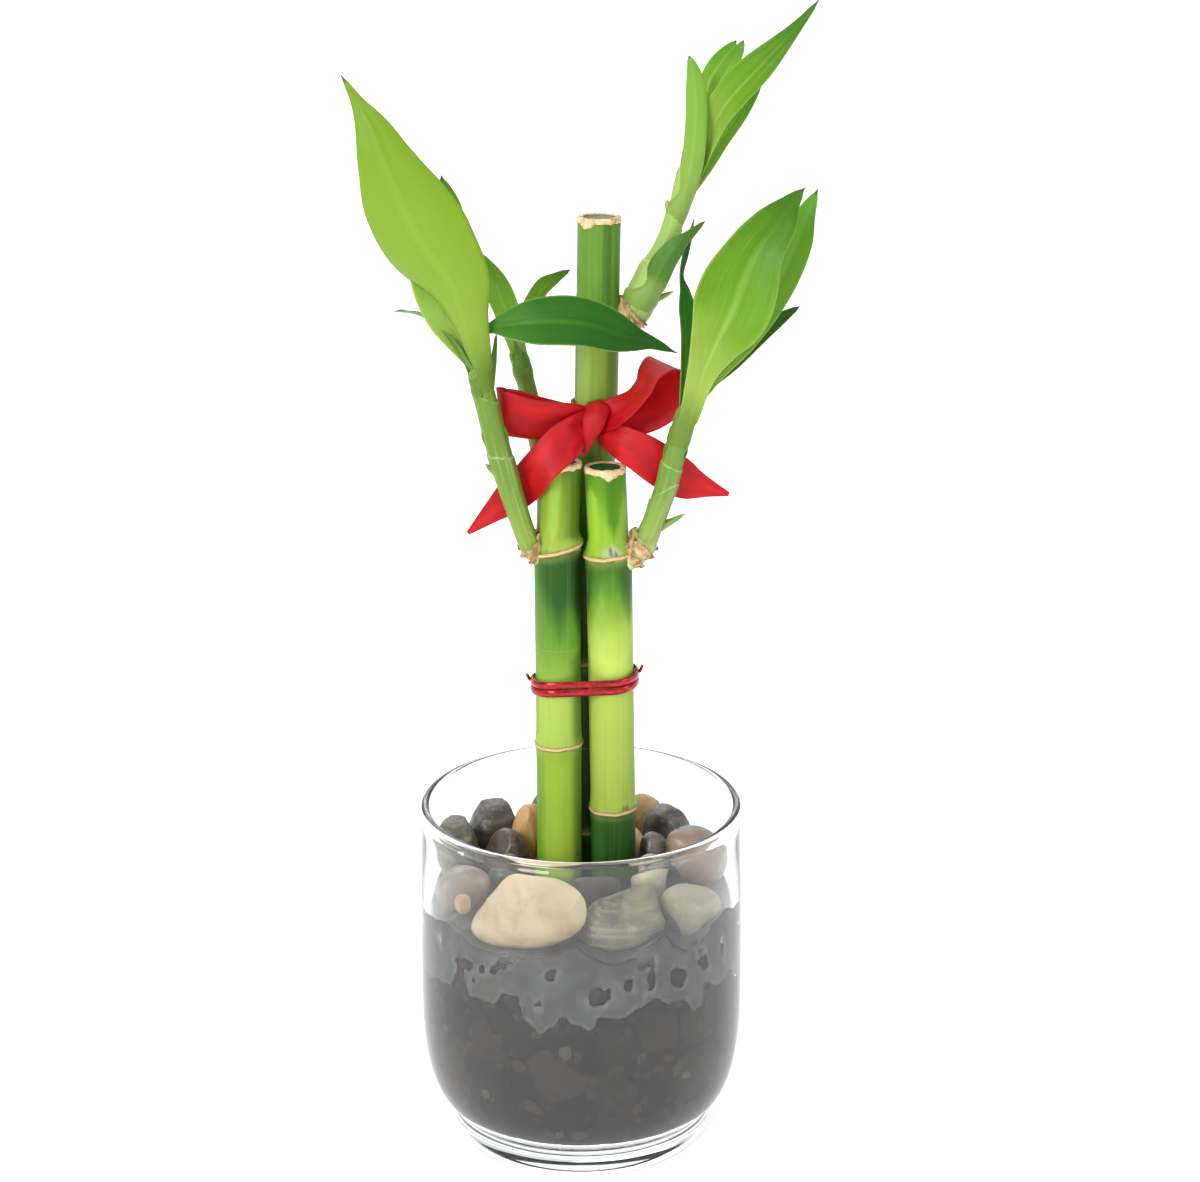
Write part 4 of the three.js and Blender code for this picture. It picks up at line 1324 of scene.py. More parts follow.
@dataclass(frozen=True)
class FloorFinish:
    """Plain pale table top, lit a little from within."""

    glow: float = 0.62

    def material(self) -> Material:
        """Builds the material.

        Returns:
            The material.
        """
        s = Shader("pale_table")
        colour = s.blend(s.noise(3), "dadada", "dedede")
        lit = {"Emission_Color": (1.0, 1.0, 1.0, 1.0), "Emission_Strength": self.glow}
        return s.done(s.surface(colour, 0.9, **lit))


# ---- studio


@dataclass
class Studio:
    """Camera, soft light and a pale table."""

    camera_place: Place = (5.0, -640.0, 355.0)
    tilt: float = 72.25
    lens: float = 78.6
    sensor: float = 36.0
    floor_half: float = 15000.0
    sky: float = 0.8
    overhead: float = 0.45

    def build(self) -> None:
        """Sets the whole studio up."""
        self._camera()
        self._floor()
        self._world()
        self._overhead()
        self._lamp("key", (-560, -820, 620), 420, 7.0)
        self._lamp("fill", (820, -520, 420), 420, 1.2)
        self._lamp("back", (-240, 760, 700), 600, 2.0)
        bpy.context.scene.view_settings.view_transform = "Standard"

    def _camera(self) -> None:
        """Camera at the height and the distance of the photograph."""
        data = bpy.data.cameras.new("camera")
        data.lens, data.sensor_width, data.sensor_fit = self.lens, self.sensor, "HORIZONTAL"
        data.clip_start, data.clip_end = 0.01, 100.0
        camera = linked("camera", data)
        camera.location = Vector(self.camera_place) * MM
        camera.rotation_euler = (math.radians(self.tilt), 0.0, 0.0)
        bpy.context.scene.camera = camera

    def _floor(self) -> None:
        """Table that fills the view."""
        h = self.floor_half
        square = [(-h, -h, 0), (h, -h, 0), (h, h, 0), (-h, h, 0)]
        floor = plain_object("table", [Vector(p) for p in square], [], [(0, 1, 2, 3)])
        floor.data.materials.append(FloorFinish().material())

    def _world(self) -> None:
        """Even white light from all round."""
        world = bpy.data.worlds.new("studio")
        world.use_nodes = True
        shade = world.node_tree.nodes["Background"]
        shade.inputs["Color"].default_value = (1.0, 1.0, 1.0, 1.0)
        shade.inputs["Strength"].default_value = self.sky
        bpy.context.scene.world = world

    def _overhead(self) -> None:
        """Broad, even light from above and in front, which keeps the table white."""
        data = bpy.data.lights.new("overhead", "SUN")
        data.energy, data.angle = self.overhead, math.radians(60)
        way = Vector((0.2, 0.35, -1.0))
        linked("overhead", data).rotation_euler = way.to_track_quat("-Z", "Y").to_euler()

    @staticmethod
    def _lamp(name: str, place: Numbers, size: float, power: float) -> None:
        """Adds a square soft light that looks at the middle of the plant.

        Args:
            name: Its name.
            place: Where it hangs, in millimetres.
            size: Its side, in millimetres.
            power: Its power, in watts.
        """
        data = bpy.data.lights.new(name, "AREA")
        data.size, data.energy = size * MM, power
        lamp = linked(name, data)
        lamp.location = Vector(place) * MM
        toward = Vector((0, 0, 130)) * MM - lamp.location
        lamp.rotation_euler = toward.to_track_quat("-Z", "Y").to_euler()


# ---- tumbler


@dataclass
class Tumbler:
    """Glass tumbler with a thick base, a belly and a rounded lip."""

    height: float = 92.4
    lip_radius: float = 42.2
    wall: float = 2.5
    floor: float = 8.5
    lip_rise: float = 1.3
    sides: int = 192
    outside: Outline = (
        (33.0, 0.0), (33.8, 0.15), (34.5, 0.9), (34.6, 6.3), (35.5, 8.2), (37.4, 10.0),
        (39.4, 13.0), (41.2, 18.0), (42.5, 26.0), (42.95, 36.0), (42.8, 56.0), (42.35, 76.0),
        (42.1, 84.0), (41.95, 87.4), (41.95, 88.8), (42.1, 89.9), (42.2, 91.1),
    )
    inside: Outline = (
        (39.7, 91.1), (39.85, 89.9), (40.15, 88.8), (40.3, 87.2), (40.35, 76.0), (40.6, 56.0),
        (40.8, 36.0), (40.3, 26.0), (38.7, 18.5),
        (35.6, 12.6), (31.0, 9.6), (24.0, 8.5),
    )

    def inner_radius(self, z: float) -> float:
        """Radius of the inner wall at a height.

        Args:
            z: The height.

        Returns:
            The radius.
        """
        for (r1, z1), (r0, z0) in zip(self.inside, self.inside[1:]):
            if z >= z0:
                return mix(r0, r1, min(1.0, (z - z0) / (z1 - z0)))
        return self.inside[-1][0]

    def _lip(self) -> list[tuple[float, float]]:
        """Half round over the wall.

        Returns:
            Points as (radius, height), from the outside in.
        """
        middle, half, rise = self.lip_radius - self.wall / 2, self.wall / 2, self.lip_rise
        turns = [math.pi * k / 14 for k in range(15)]
        return [
            (middle + half * math.cos(a), self.height - rise + rise * math.sin(a)) for a in turns
        ]

    def build(self) -> Object:
        """Turns the glass from its outline.

        Returns:
            The tumbler.
        """
        foot = [(8.0, 0.55), (16.0, 0.5), (24.0, 0.38), (27.0, 0.1), (28.5, 0.0)]
        outside = rounded(self.outside, 2)
        inside = rounded(self.inside, 2)
        outline = foot + outside + self._lip() + inside + [(16.0, 8.45), (8.0, 8.4)]
        skin = Skin()
        skin.loft([circle(r, z, self.sides) for r, z in outline])
        return skin.build("tumbler_glass", GlassFinish().material())


# ---- gravel and binder

# Lower edge of the binder on the glass: (degrees round from the front, to the right; height).
DRIPS = (
    (-180, 50.0), (-172, 46.0), (-163, 52.5), (-156, 48.0), (-149, 55.0), (-141, 49.5),
    (-133, 45.5), (-126, 51.0), (-118, 47.5), (-111, 54.0), (-103, 50.0), (-96, 46.5),
    (-89, 53.0), (-80, 50.0), (-70, 48.3), (-62, 50.2), (-54, 50.9), (-47, 58.0), (-43, 50.7),
    (-32, 50.7), (-28, 54.5), (-23, 54.1), (-20, 48.2), (-14, 44.7), (-10, 46.7), (-6, 50.0),
    (-1, 47.6), (4, 46.3), (7, 49.9), (14, 48.9), (21, 51.2), (27, 53.1), (33, 50.5),
    (39, 50.4), (45, 46.2), (49, 46.6), (50.5, 52.6), (59, 49.4), (68, 51.4), (76, 47.0),
    (84, 53.0), (92, 49.0), (99, 45.5), (107, 52.0), (114, 48.5), (122, 54.0), (130, 50.5),
    (138, 46.0), (146, 51.5), (154, 47.5), (163, 53.5), (171, 49.0), (180, 50.0),
)
# Upper edge of the binder on the glass, which laps round the pebbles.
LAPS = (
    (-180, 66.0), (-165, 67.5), (-150, 65.0), (-135, 67.0), (-120, 65.0), (-105, 67.5),
    (-90, 65.5), (-75, 65.5), (-66, 66.5), (-56, 68.0), (-49, 67.0), (-42, 65.0), (-33, 65.0),
    (-21, 65.0), (-11, 66.3), (-5, 68.4), (-1, 69.6), (4, 66.8), (9, 64.8), (14, 64.4),
    (20, 65.0), (25, 67.2), (31, 70.4), (36, 66.2), (41, 63.8), (45, 63.6), (50, 65.6),
    (56, 68.4), (64, 69.6), (72, 67.5), (90, 66.0), (105, 67.5), (120, 65.0), (135, 67.5),
    (150, 65.5), (165, 67.0), (180, 66.0),
)
# Holes in the film on the glass: degrees, height, half width, half height, lean.
HOLES = (
    (-60, 62.4, 1.2, 1.8, 0.3), (-46, 59.1, 2.9, 1.7, 0.2), (-37, 59.2, 1.1, 1.0, 0.0),
    (-41, 55.6, 0.9, 1.1, 0.4), (-28, 62.8, 1.3, 4.2, -0.85), (-10, 61.5, 1.5, 1.4, 0.2),
    (-15, 53.3, 0.6, 1.0, 0.0), (6.5, 55.4, 3.3, 2.2, 0.45), (17, 58.1, 1.5, 1.6, 0.3),
    (23.5, 64.0, 1.9, 2.6, 0.1), (25.5, 59.0, 1.3, 3.6, -0.1), (37, 57.5, 2.0, 2.9, 0.25),
    (49, 59.0, 1.6, 3.4, 0.45), (61, 59.9, 1.0, 2.8, 0.3), (-78, 60.0, 1.4, 2.2, 0.2),
    (-92, 58.0, 2.2, 1.7, 0.0), (-112, 60.5, 1.6, 2.5, -0.4), (-134, 57.5, 2.4, 1.9, 0.3),
    (-152, 60.0, 1.5, 2.8, 0.2), (-170, 58.0, 2.1, 1.6, 0.0), (78, 58.5, 1.8, 2.4, -0.3),
    (96, 60.0, 2.3, 1.7, 0.2), (118, 58.5, 1.5, 2.6, 0.4), (140, 60.0, 2.2, 1.8, 0.0),
    (160, 58.0, 1.6, 2.4, -0.3),
)


@dataclass
class BinderLayer:
    """Set binder between gravel and pebbles, with the film that ran down the glass."""

    tumbler: Tumbler
    low: float = 60.8
    top: float = 66.0
    press: float = 0.3
    film: float = 0.95
    round_over: float = 1.3
    columns: int = 640
    rows: int = 62
    floor: float = 43.6
    ceiling: float = 71.4
    sides: int = 288
    wall_at: float = 64.0
    open_below: float = 64.5
    stand_off: tuple[float, float] = (2.6, 0.5)

    def film_depth(self, degrees: float, z: float) -> float:
        """How far inside the film's outline a place on the glass lies, in millimetres.

        Args:
            degrees: Angle round from the front, to the right.
            z: Height.

        Returns:
            Distance to the nearest edge, negative in a hole or past a rim.
        """
        return min(self.ragged_depth(degrees, z), between(LAPS, degrees) - z)

    def ragged_depth(self, degrees: float, z: float) -> float:
        """How far inside the drips and outside the holes a place lies, whatever its height.

        Args:
            degrees: Angle round from the front, to the right.
            z: Height.

        Returns:
            Distance in millimetres to the nearest drip's edge or hole, negative past either.
        """
        per_degree = math.radians(1) * self.tumbler.inner_radius(z)
        along = degrees * per_degree
        wobble = 0.45 * wave_noise(along * 0.55, z * 0.55, 3.1)
        wobble += 0.3 * wave_noise(along * 1.1, z * 1.1, 8.4)
        bend = 1.3 * wave_noise(along * 0.42, z * 0.42, 5.7)
        sway = 1.3 * wave_noise(along * 0.42, z * 0.42, 9.2)
        reach = 0.4
        rise = between(DRIPS, degrees + reach) - between(DRIPS, degrees - reach)
        slope = rise / (2 * reach * per_degree)
        depth = (z - between(DRIPS, degrees)) / math.sqrt(1 + slope * slope) + wobble
        for at, height, wide, tall, lean in HOLES:
            dx = (degrees - at) * per_degree + bend
            if abs(dx) > 8:
                continue
            dz = z - height + sway
            x = dx * math.cos(lean) + dz * math.sin(lean)
            y = dz * math.cos(lean) - dx * math.sin(lean)
            away = (math.hypot(x / wide, y / tall) - 1) * min(wide, tall) + wobble
            depth = min(depth, away)
        return depth

    def build(self) -> Object:
        """Makes the layer and its film.

        Returns:
            The binder.
        """
        skin = Skin()
        self._layer(skin)
        self._film(skin)
        return skin.build("binder_film", BinderFinish().material())

    def _layer(self, skin: Skin) -> None:
        """Adds the layer under the pebbles, raised towards the film at the wall.

        Args:
            skin: The mesh that it is added to.
        """
        rings = [self._ring(share, lambda a: self.low) for share in (0.15, 0.5, 0.85, 0.97)]
        for part in (0.0, 0.3, 0.6, 0.85, 1.0):
            rings.append(
                self._ring(1.0, lambda a, t=part: mix(self.low + 0.3, between(LAPS, a) - 0.7, t))
            )
        for share, rise in (
            (0.985, 0.9), (0.95, 0.7), (0.9, 0.35), (0.8, 0.1), (0.7, 0), (0.6, 0), (0.5, 0),
            (0.4, 0), (0.3, 0), (0.2, 0), (0.1, 0),
        ):
            rings.append(self._ring(share, lambda a, s=share, r=rise: self._upper(a, s, r)))
        skin.loft(rings)

    def _ring(self, share: float, height: Callable[[float], float]) -> list[Vector]:
        """Ring of the layer, drawn in where the film beside it is open.

        Args:
            share: Its share of the layer's radius.
            height: Its height at an angle in degrees.

        Returns:
            Its points.
        """
        points = []
        for side in range(self.sides):
            a = 360 * side / self.sides - 180
            z = height(a)
            deep = smooth(0.3, 1.6, self.film_depth(a, min(z, self.open_below)))
            radius = (self.tumbler.inner_radius(self.wall_at) - mix(*self.stand_off, deep)) * share
            points.append(spoke(radius, math.radians(a - 90), z))
        return points

    def _upper(self, degrees: float, share: float, rise: float) -> float:
        """Height of the layer's upper face.

        Args:
            degrees: Angle round from the front, to the right.
            share: Share of the layer's radius.
            rise: How far it has risen to the laps on the glass, from 0 to 1.

        Returns:
            The height.
        """
        turn = math.radians(degrees)
        x, y = math.cos(turn) * share * 4, math.sin(turn) * share * 4
        flat = self.top + 0.5 * wave_noise(x, y, 2.0)
        return mix(flat, between(LAPS, degrees) - 0.4, rise) if rise else flat

    def _film(self, skin: Skin) -> None:
        """Adds the film on the glass, cut along its outline and closed round every edge.

        Args:
            skin: The mesh that it is added to.
        """
        turn = 360 / self.columns
        rise = (self.ceiling - self.floor) / self.rows
        spots: dict[tuple[int, int], tuple[float, float]] = {}
        depths: dict[tuple[int, int], float] = {}
        for column in range(self.columns):
            for row in range(self.rows + 1):
                spot = (column * turn - 180, self.floor + row * rise)
                spots[column, row] = spot
                depths[column, row] = self.film_depth(*spot)
        kept = set()
        for column in range(self.columns):
            for row in range(self.rows):
                cell = self._cell(column, row)
                if sum(depths[corner] for corner in cell) > 0:
                    kept.add((column, row))
        edges = self._edges(kept)
        for corner in {corner for pair in edges for corner in pair}:
            spots[corner] = self._slide(spots[corner], turn, rise)
            depths[corner] = 0.0
        start = len(skin.vertices)
        number: dict[tuple[int, int], int] = {}
        rim_highlights = []
        for column, row in sorted({corner for cell in kept for corner in self._cell(*cell)}):
            number[column, row] = start + 2 * len(number)
            degrees, z = spots[column, row]
            lip = 1 - smooth(0.0, self.round_over, depths[column, row])
            wall = self.tumbler.inner_radius(z)
            for radius in (wall + self.press - 0.24 * lip**2, wall - self.film + 0.25 * lip):
                skin.vertices.append(spoke(radius, math.radians(degrees - 90), z))
                # Mark that places the painted highlight along the film's drip edges and holes.
                rim_highlights.append(1 - smooth(0.2, 1.5, self.ragged_depth(degrees, z)))
        for cell in sorted(kept):
            a, b, c, d = (number[corner] for corner in self._cell(*cell))
            skin.faces += [(a, b, c, d), (a + 1, d + 1, c + 1, b + 1)]
        for p, q in edges:
            a, b = number[p], number[q]
            skin.faces.append((b, a, a + 1, b + 1))
        skin.corners += [((0.0, 0.0),) * len(f) for f in skin.faces[len(skin.corners):]]
        skin.marks.setdefault("rim", [0.0] * start).extend(rim_highlights)

    def _cell(self, column: int, row: int) -> tuple[tuple[int, int], ...]:
        """Corners of a cell, anticlockwise as seen from outside."""
        after = (column + 1) % self.columns
        return ((column, row), (after, row), (after, row + 1), (column, row + 1))

    def _edges(self, kept: set[tuple[int, int]]) -> list[tuple[tuple[int, int], ...]]:
        """Edges of kept cells beside cells that are left out, in the cells' own order.

        Args:
            kept: Cells of the film, as (column, row).

        Returns:
            Pairs of corners.
        """
        found = []
        for column, row in sorted(kept):
            cell = self._cell(column, row)
            right, left = (column + 1) % self.columns, (column - 1) % self.columns
            beside = ((column, row - 1), (right, row), (column, row + 1), (left, row))
            for k, other in enumerate(beside):
                if other not in kept:
                    found.append((cell[k], cell[(k + 1) % 4]))
        return found

    def _slide(self, spot: tuple[float, float], turn: float, rise: float) -> tuple[float, float]:
        """Moves a place on the film's stepped edge onto its true outline.

        Args:
            spot: The place, as degrees round from the front and height.
            turn: Width of a cell, in degrees.
            rise: Height of a cell.

        Returns:
            The place moved, by 0.6 of a cell at most.
        """
        degrees, z = spot
        per_degree = math.radians(1) * self.tumbler.inner_radius(z)
        for _ in range(2):
            depth = self.film_depth(degrees, z)
            gx = (self.film_depth(degrees + 0.1, z) - depth) / (0.1 * per_degree)
            gz = (self.film_depth(degrees, z + 0.05) - depth) / 0.05
            size = max(gx * gx + gz * gz, 0.1)
            degrees -= min(0.3, max(-0.3, depth * gx / size)) / per_degree
            z -= min(0.3, max(-0.3, depth * gz / size))
        degrees = min(spot[0] + 0.6 * turn, max(spot[0] - 0.6 * turn, degrees))
        return degrees, min(spot[1] + 0.6 * rise, max(spot[1] - 0.6 * rise, z))


@dataclass
class GravelBed:
    """Bed of small dark stones that press against the glass."""

    tumbler: Tumbler
    binder: BinderLayer
    top: float = 60.4
    large: float = 12.0
    large_round: int = 21
    gap: float = 0.12
    seat: float = 0.24
    bare: tuple[float, float] = (11.0, 13.0)
    spacing: float = 2.3
    smallest: float = 1.1
    largest: float = 2.7
    press: float = 0.36
    give: float = 0.32
    sides: int = 320

    def build(self) -> list[Object]:
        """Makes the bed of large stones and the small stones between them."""
        material = GravelFinish().material()
        return [self._bed(material), self._stones(material)]

    def _stone_at(self, turn: float, z: float) -> tuple[float, float]:
        """Large stone under a place on the bed's face.

        Args:
            turn: Share of a full turn round the bed.
            z: Height.

        Returns:
            How far from its rim the place lies, from 0 to 1, and the stone's own shade.
        """
        across, up = turn * self.large_round, z / self.large
        found = []
        for i in range(math.floor(across) - 1, math.floor(across) + 2):
            for j in range(math.floor(up) - 1, math.floor(up) + 2):
                column = i % self.large_round
                x = i + 0.2 + 0.6 * hash01(column, j)
                y = j + 0.2 + 0.6 * hash01(j, column + self.large_round)
                found.append((math.hypot(across - x, up - y), hash01(column, j + 50)))
        found.sort()
        return smooth(0.0, 0.12, found[1][0] - found[0][0]), found[0][1]

    def _bed(self, material: Material) -> Object:
        """Packed bed whose large stones touch the glass, with painted shade darkening the shallow gaps
        between them.

        Args:
            material: Its finish.

        Returns:
            The bed.
        """
        levels = [10.2] + [11 + 0.8 * k for k in range(62)] + [self.top]
        rings, shades = [], []
        for radius in (6.0, 14.0, 22.0, 27.0):
            rings.append(circle(radius, 9.2, self.sides))
            shades.append([0.2] * self.sides)
        for level in levels:
            ring, tones = [], []
            for p in circle(1.0, level, self.sides):
                share = math.atan2(p.y, p.x) / (2 * math.pi) % 1.0
                full, tone = self._stone_at(share, level)
                lump = wave_noise(p.x * 9, p.y * 9, level * 0.25)
                depth = mix(self.gap, 0.0, full) + 0.06 * lump + self._behind(p, level)
                radius = self.tumbler.inner_radius(level) + self._seated(self.seat, level) - depth
                ring.append(Vector((p.x * radius, p.y * radius, level)))
                # Tone of the stone, fading to painted shade at its rim, in the gaps between the large
                # stones.
                tones.append(0.1 + 0.75 * tone * full)
            rings.append(ring)
            shades.append(tones)
        for radius in (34.0, 26.0, 17.0, 8.0):
            rings.append(circle(radius, self.top, self.sides))
            shades.append([0.2] * self.sides)
        skin = Skin()
        skin.loft(rings, marks={"shade": shades})
        return skin.build("gravel_bed_face", material)

    def _seated(self, press: float, z: float) -> float:
        """Press against the glass at a height, with a thin space left over the floor."""
        return mix(-0.2, press, smooth(*self.bare, z))

    def _behind(self, p: Vector, z: float) -> float:
        """How far the bed keeps back from the glass behind the film.

        Args:
            p: Place, of which only the direction counts.
            z: Its height.

        Returns:
            The distance.
        """
        if z < self.binder.floor - 1:
            return 0.0
        degrees = math.degrees(math.atan2(p.x, -p.y))
        under = smooth(0.0, 0.6, self.binder.film_depth(degrees, z))
        return under * (self.binder.film + 0.4)

    def _stones(self, material: Material) -> Object:
        """Stones scattered over the wall and the floor, pressed flat against the glass.

        Args:
            material: Their finish.

        Returns:
            The stones as one piece.
        """
        sides = 96
        outline = [(3.0, 9.3), (12.0, 9.3), (24.0, 9.3), (29.0, 9.9)]
        outline += [(self.tumbler.inner_radius(z) - 0.5, z)
                    for z in (11.5, 14, 18, 24, 30, 38, 46, 53, 59.5)]
        vertices = [p for r, z in outline for p in circle(r, z, sides)]
        faces = []
        for row in range(len(outline) - 1):
            for side in range(sides):
                a, b = row * sides + side, row * sides + (side + 1) % sides
                faces.append((a, b, b + sides, a + sides))
        emitter = plain_object("gravel_seat", vertices, [], faces)
        mesh = self._scatter(emitter, material)
        for vertex in mesh.vertices:
            vertex.co = self._pressed(vertex.co / MM) * MM
        return object_of(mesh, "gravel_stones", material)

    def _scatter(self, emitter: Object, material: Material) -> Mesh:
        """Scatters stones with a Geometry Nodes tree, each with a size and a shade of its own.

        Args:
            emitter: Open shell that the stones sit on.
            material: Finish of the stones.

        Returns:
            The stones.
        """
        r = Recipe("scattered_stones")
        spacing, smallest, largest = (r.number(n) for n in ("Spacing", "Smallest", "Largest"))
        seed = r.number("Seed", "NodeSocketInt")
        spots = r.node(
            "GeometryNodeDistributePointsOnFaces", {"distribute_method": "POISSON"},
            Mesh=r.given(), Distance_Min=spacing, Density_Max=900000.0, Seed=seed,
        )
        ball = r.node("GeometryNodeMeshIcoSphere", Radius=1.0, Subdivisions=2)
        lump = r.node("ShaderNodeTexNoise", Scale=1.3, Detail=1.0)
        centred = r.node(
            "ShaderNodeVectorMath", {"operation": "SUBTRACT"}, s0=lump.outputs[1], s1=(0.5,) * 3
        )
        scaled = {"operation": "SCALE"}
        push = r.node("ShaderNodeVectorMath", scaled, s0=centred.outputs[0], Scale=0.9)
        stone = r.node(
            "GeometryNodeSetPosition", Geometry=ball.outputs[0], Offset=push.outputs[0]
        )
        turn = r.random(seed, (0.0,) * 3, (6.28,) * 3)
        size = r.random(seed, smallest, largest)
        squash = r.random(seed, (0.6,) * 3, (1.15,) * 3)
        scale = r.node("ShaderNodeVectorMath", scaled, s0=squash, Scale=size)
        copies = r.node(
            "GeometryNodeInstanceOnPoints",
            Points=spots.outputs[0], Instance=stone.outputs[0], Rotation=turn, Scale=scale.outputs[0],
        )
        shaded = r.node(
            "GeometryNodeStoreNamedAttribute", {"data_type": "FLOAT", "domain": "INSTANCE"},
            Geometry=copies.outputs[0], Name="shade", Value=r.random(seed, 0.0, 1.0),
        )
        sizes = {"Spacing": self.spacing, "Smallest": self.smallest, "Largest": self.largest}
        values = {name: size * MM for name, size in sizes.items()} | {"Seed": SEED}
        return r.serve(shaded.outputs[0], material, emitter, values)

    def _pressed(self, p: Vector) -> Vector:
        """Place of a stone's point once the glass, the film and the floor have held it back.

        Args:
            p: The point where it was scattered.

        Returns:
            The place.
        """
        z = min(max(p.z, self.tumbler.floor + 0.1), self.top)
        radius = math.hypot(p.x, p.y)
        limit = self.tumbler.inner_radius(z) + self._seated(self.press, z)
        if radius > limit - 1.2:
            limit -= self._behind(p, z)
        free = limit - self.give
        if radius <= free:
            return Vector((p.x, p.y, z))
        share = (limit - self.give * math.exp((free - radius) / 1.2)) / radius
        return Vector((p.x * share, p.y * share, z))


# ---- pebbles


@dataclass(frozen=True)
class Pebble:
    """One stone on the bed.

    at is its middle; size its half sizes along the wall, outwards and upwards; outline, where
    given, how it looks from the front, as (right, up) from the middle.
    """

    at: Place
    size: Place
    kind: Stone
    lean: float = 0.0
    taper: float = 0.0
    outline: Outline = ()


PEBBLES = (
    Pebble((-12.8, -28.4, 74.8), (14.7, 8.2, 10.8), Stone.CREAM, lean=0.2, outline=(
        (-15.2, -4.9), (-10.5, 2.1), (-5.0, 10.2), (0.8, 10.6), (8.2, 8.4), (13.7, 3.2),
        (14.7, -2.1), (12.4, -7.1), (7.6, -10.6), (-2.7, -11.4), (-9.6, -11.0), (-14.2, -8.6))),
    Pebble((11.2, -27.3, 71.0), (10, 7.6, 10), Stone.SCHIST, lean=0.1, outline=(
        (-10.3, 4.2), (1.4, 8.4), (7.3, 10.1), (9.2, 4.2), (10.4, -2.7), (5.9, -7.5),
        (-1.8, -10.6), (-9.6, -9.6), (-12.0, -6.5))),
    Pebble((26.9, -19.8, 69.8), (8.2, 6.2, 8.8), Stone.BEIGE, taper=0.3, outline=(
        (-7.9, 3.1), (-2.3, 7.9), (7.5, 6.2), (9.2, 2.0), (7.6, -3.2), (1.2, -10.0),
        (-2.4, -8.2))),
    Pebble((30.2, -3.4, 77.9), (8, 9.2, 9.8), Stone.PINK, outline=(
        (-8.4, 4.5), (-6.3, 7.7), (-0.8, 9.6), (3.2, 7.6), (7.2, 4.6), (9.0, -0.9),
        (8.0, -6.9), (4.5, -9.0), (-1.6, -9.0), (-6.8, -4.0))),
    Pebble((22.8, 14.4, 74.5), (8.2, 6.4, 10.9), Stone.SLATE),
    Pebble((19.4, 3.2, 73.3), (4.4, 4.2, 8.8), Stone.SLATE),
    Pebble((17.9, 28.6, 72.6), (6.4, 5.6, 9.4), Stone.TAN),
    Pebble((13.6, 10.6, 72.5), (4.6, 3.6, 7.7), Stone.CREAM),
    Pebble((2.8, -16.2, 73.0), (7.4, 4.2, 8.4), Stone.BROWN),
    Pebble((17.6, -13.0, 73.6), (5.8, 5, 8), Stone.BEIGE),
    Pebble((-33.0, 3.0, 75.0), (8.6, 6.2, 11.2), Stone.GREY_GREEN),
    Pebble((-24.4, 19.2, 74.2), (8.6, 6.8, 10.4), Stone.SLATE),
    Pebble((-20.0, 3.2, 73.5), (5.4, 6, 8.7), Stone.BROWN),
    Pebble((-14.2, 12.4, 75.4), (5.6, 4.2, 10.7), Stone.TAN),
    Pebble((-30.2, -15.0, 74.0), (6.6, 6.2, 6.2), Stone.PINK),
    Pebble((-29.4, -23.6, 73.6), (2.1, 2, 2.8), Stone.TAN),
    Pebble((-29.0, -18.4, 65.0), (6.4, 5.4, 3.4), Stone.SLATE),
    Pebble((-19.8, -9.6, 73.0), (4.4, 4.4, 8.5), Stone.SLATE),
    Pebble((-8.8, 28.4, 73.3), (7.8, 7, 9.4), Stone.GREY_GREEN),
    Pebble((4.0, 29.8, 73.0), (4.6, 7.6, 8.2), Stone.BROWN),
    Pebble((0.6, 18.2, 71.7), (7.2, 3.6, 8), Stone.BEIGE),
    Pebble((-10.4, -15.0, 73.0), (3.6, 3.4, 7), Stone.SLATE),
)


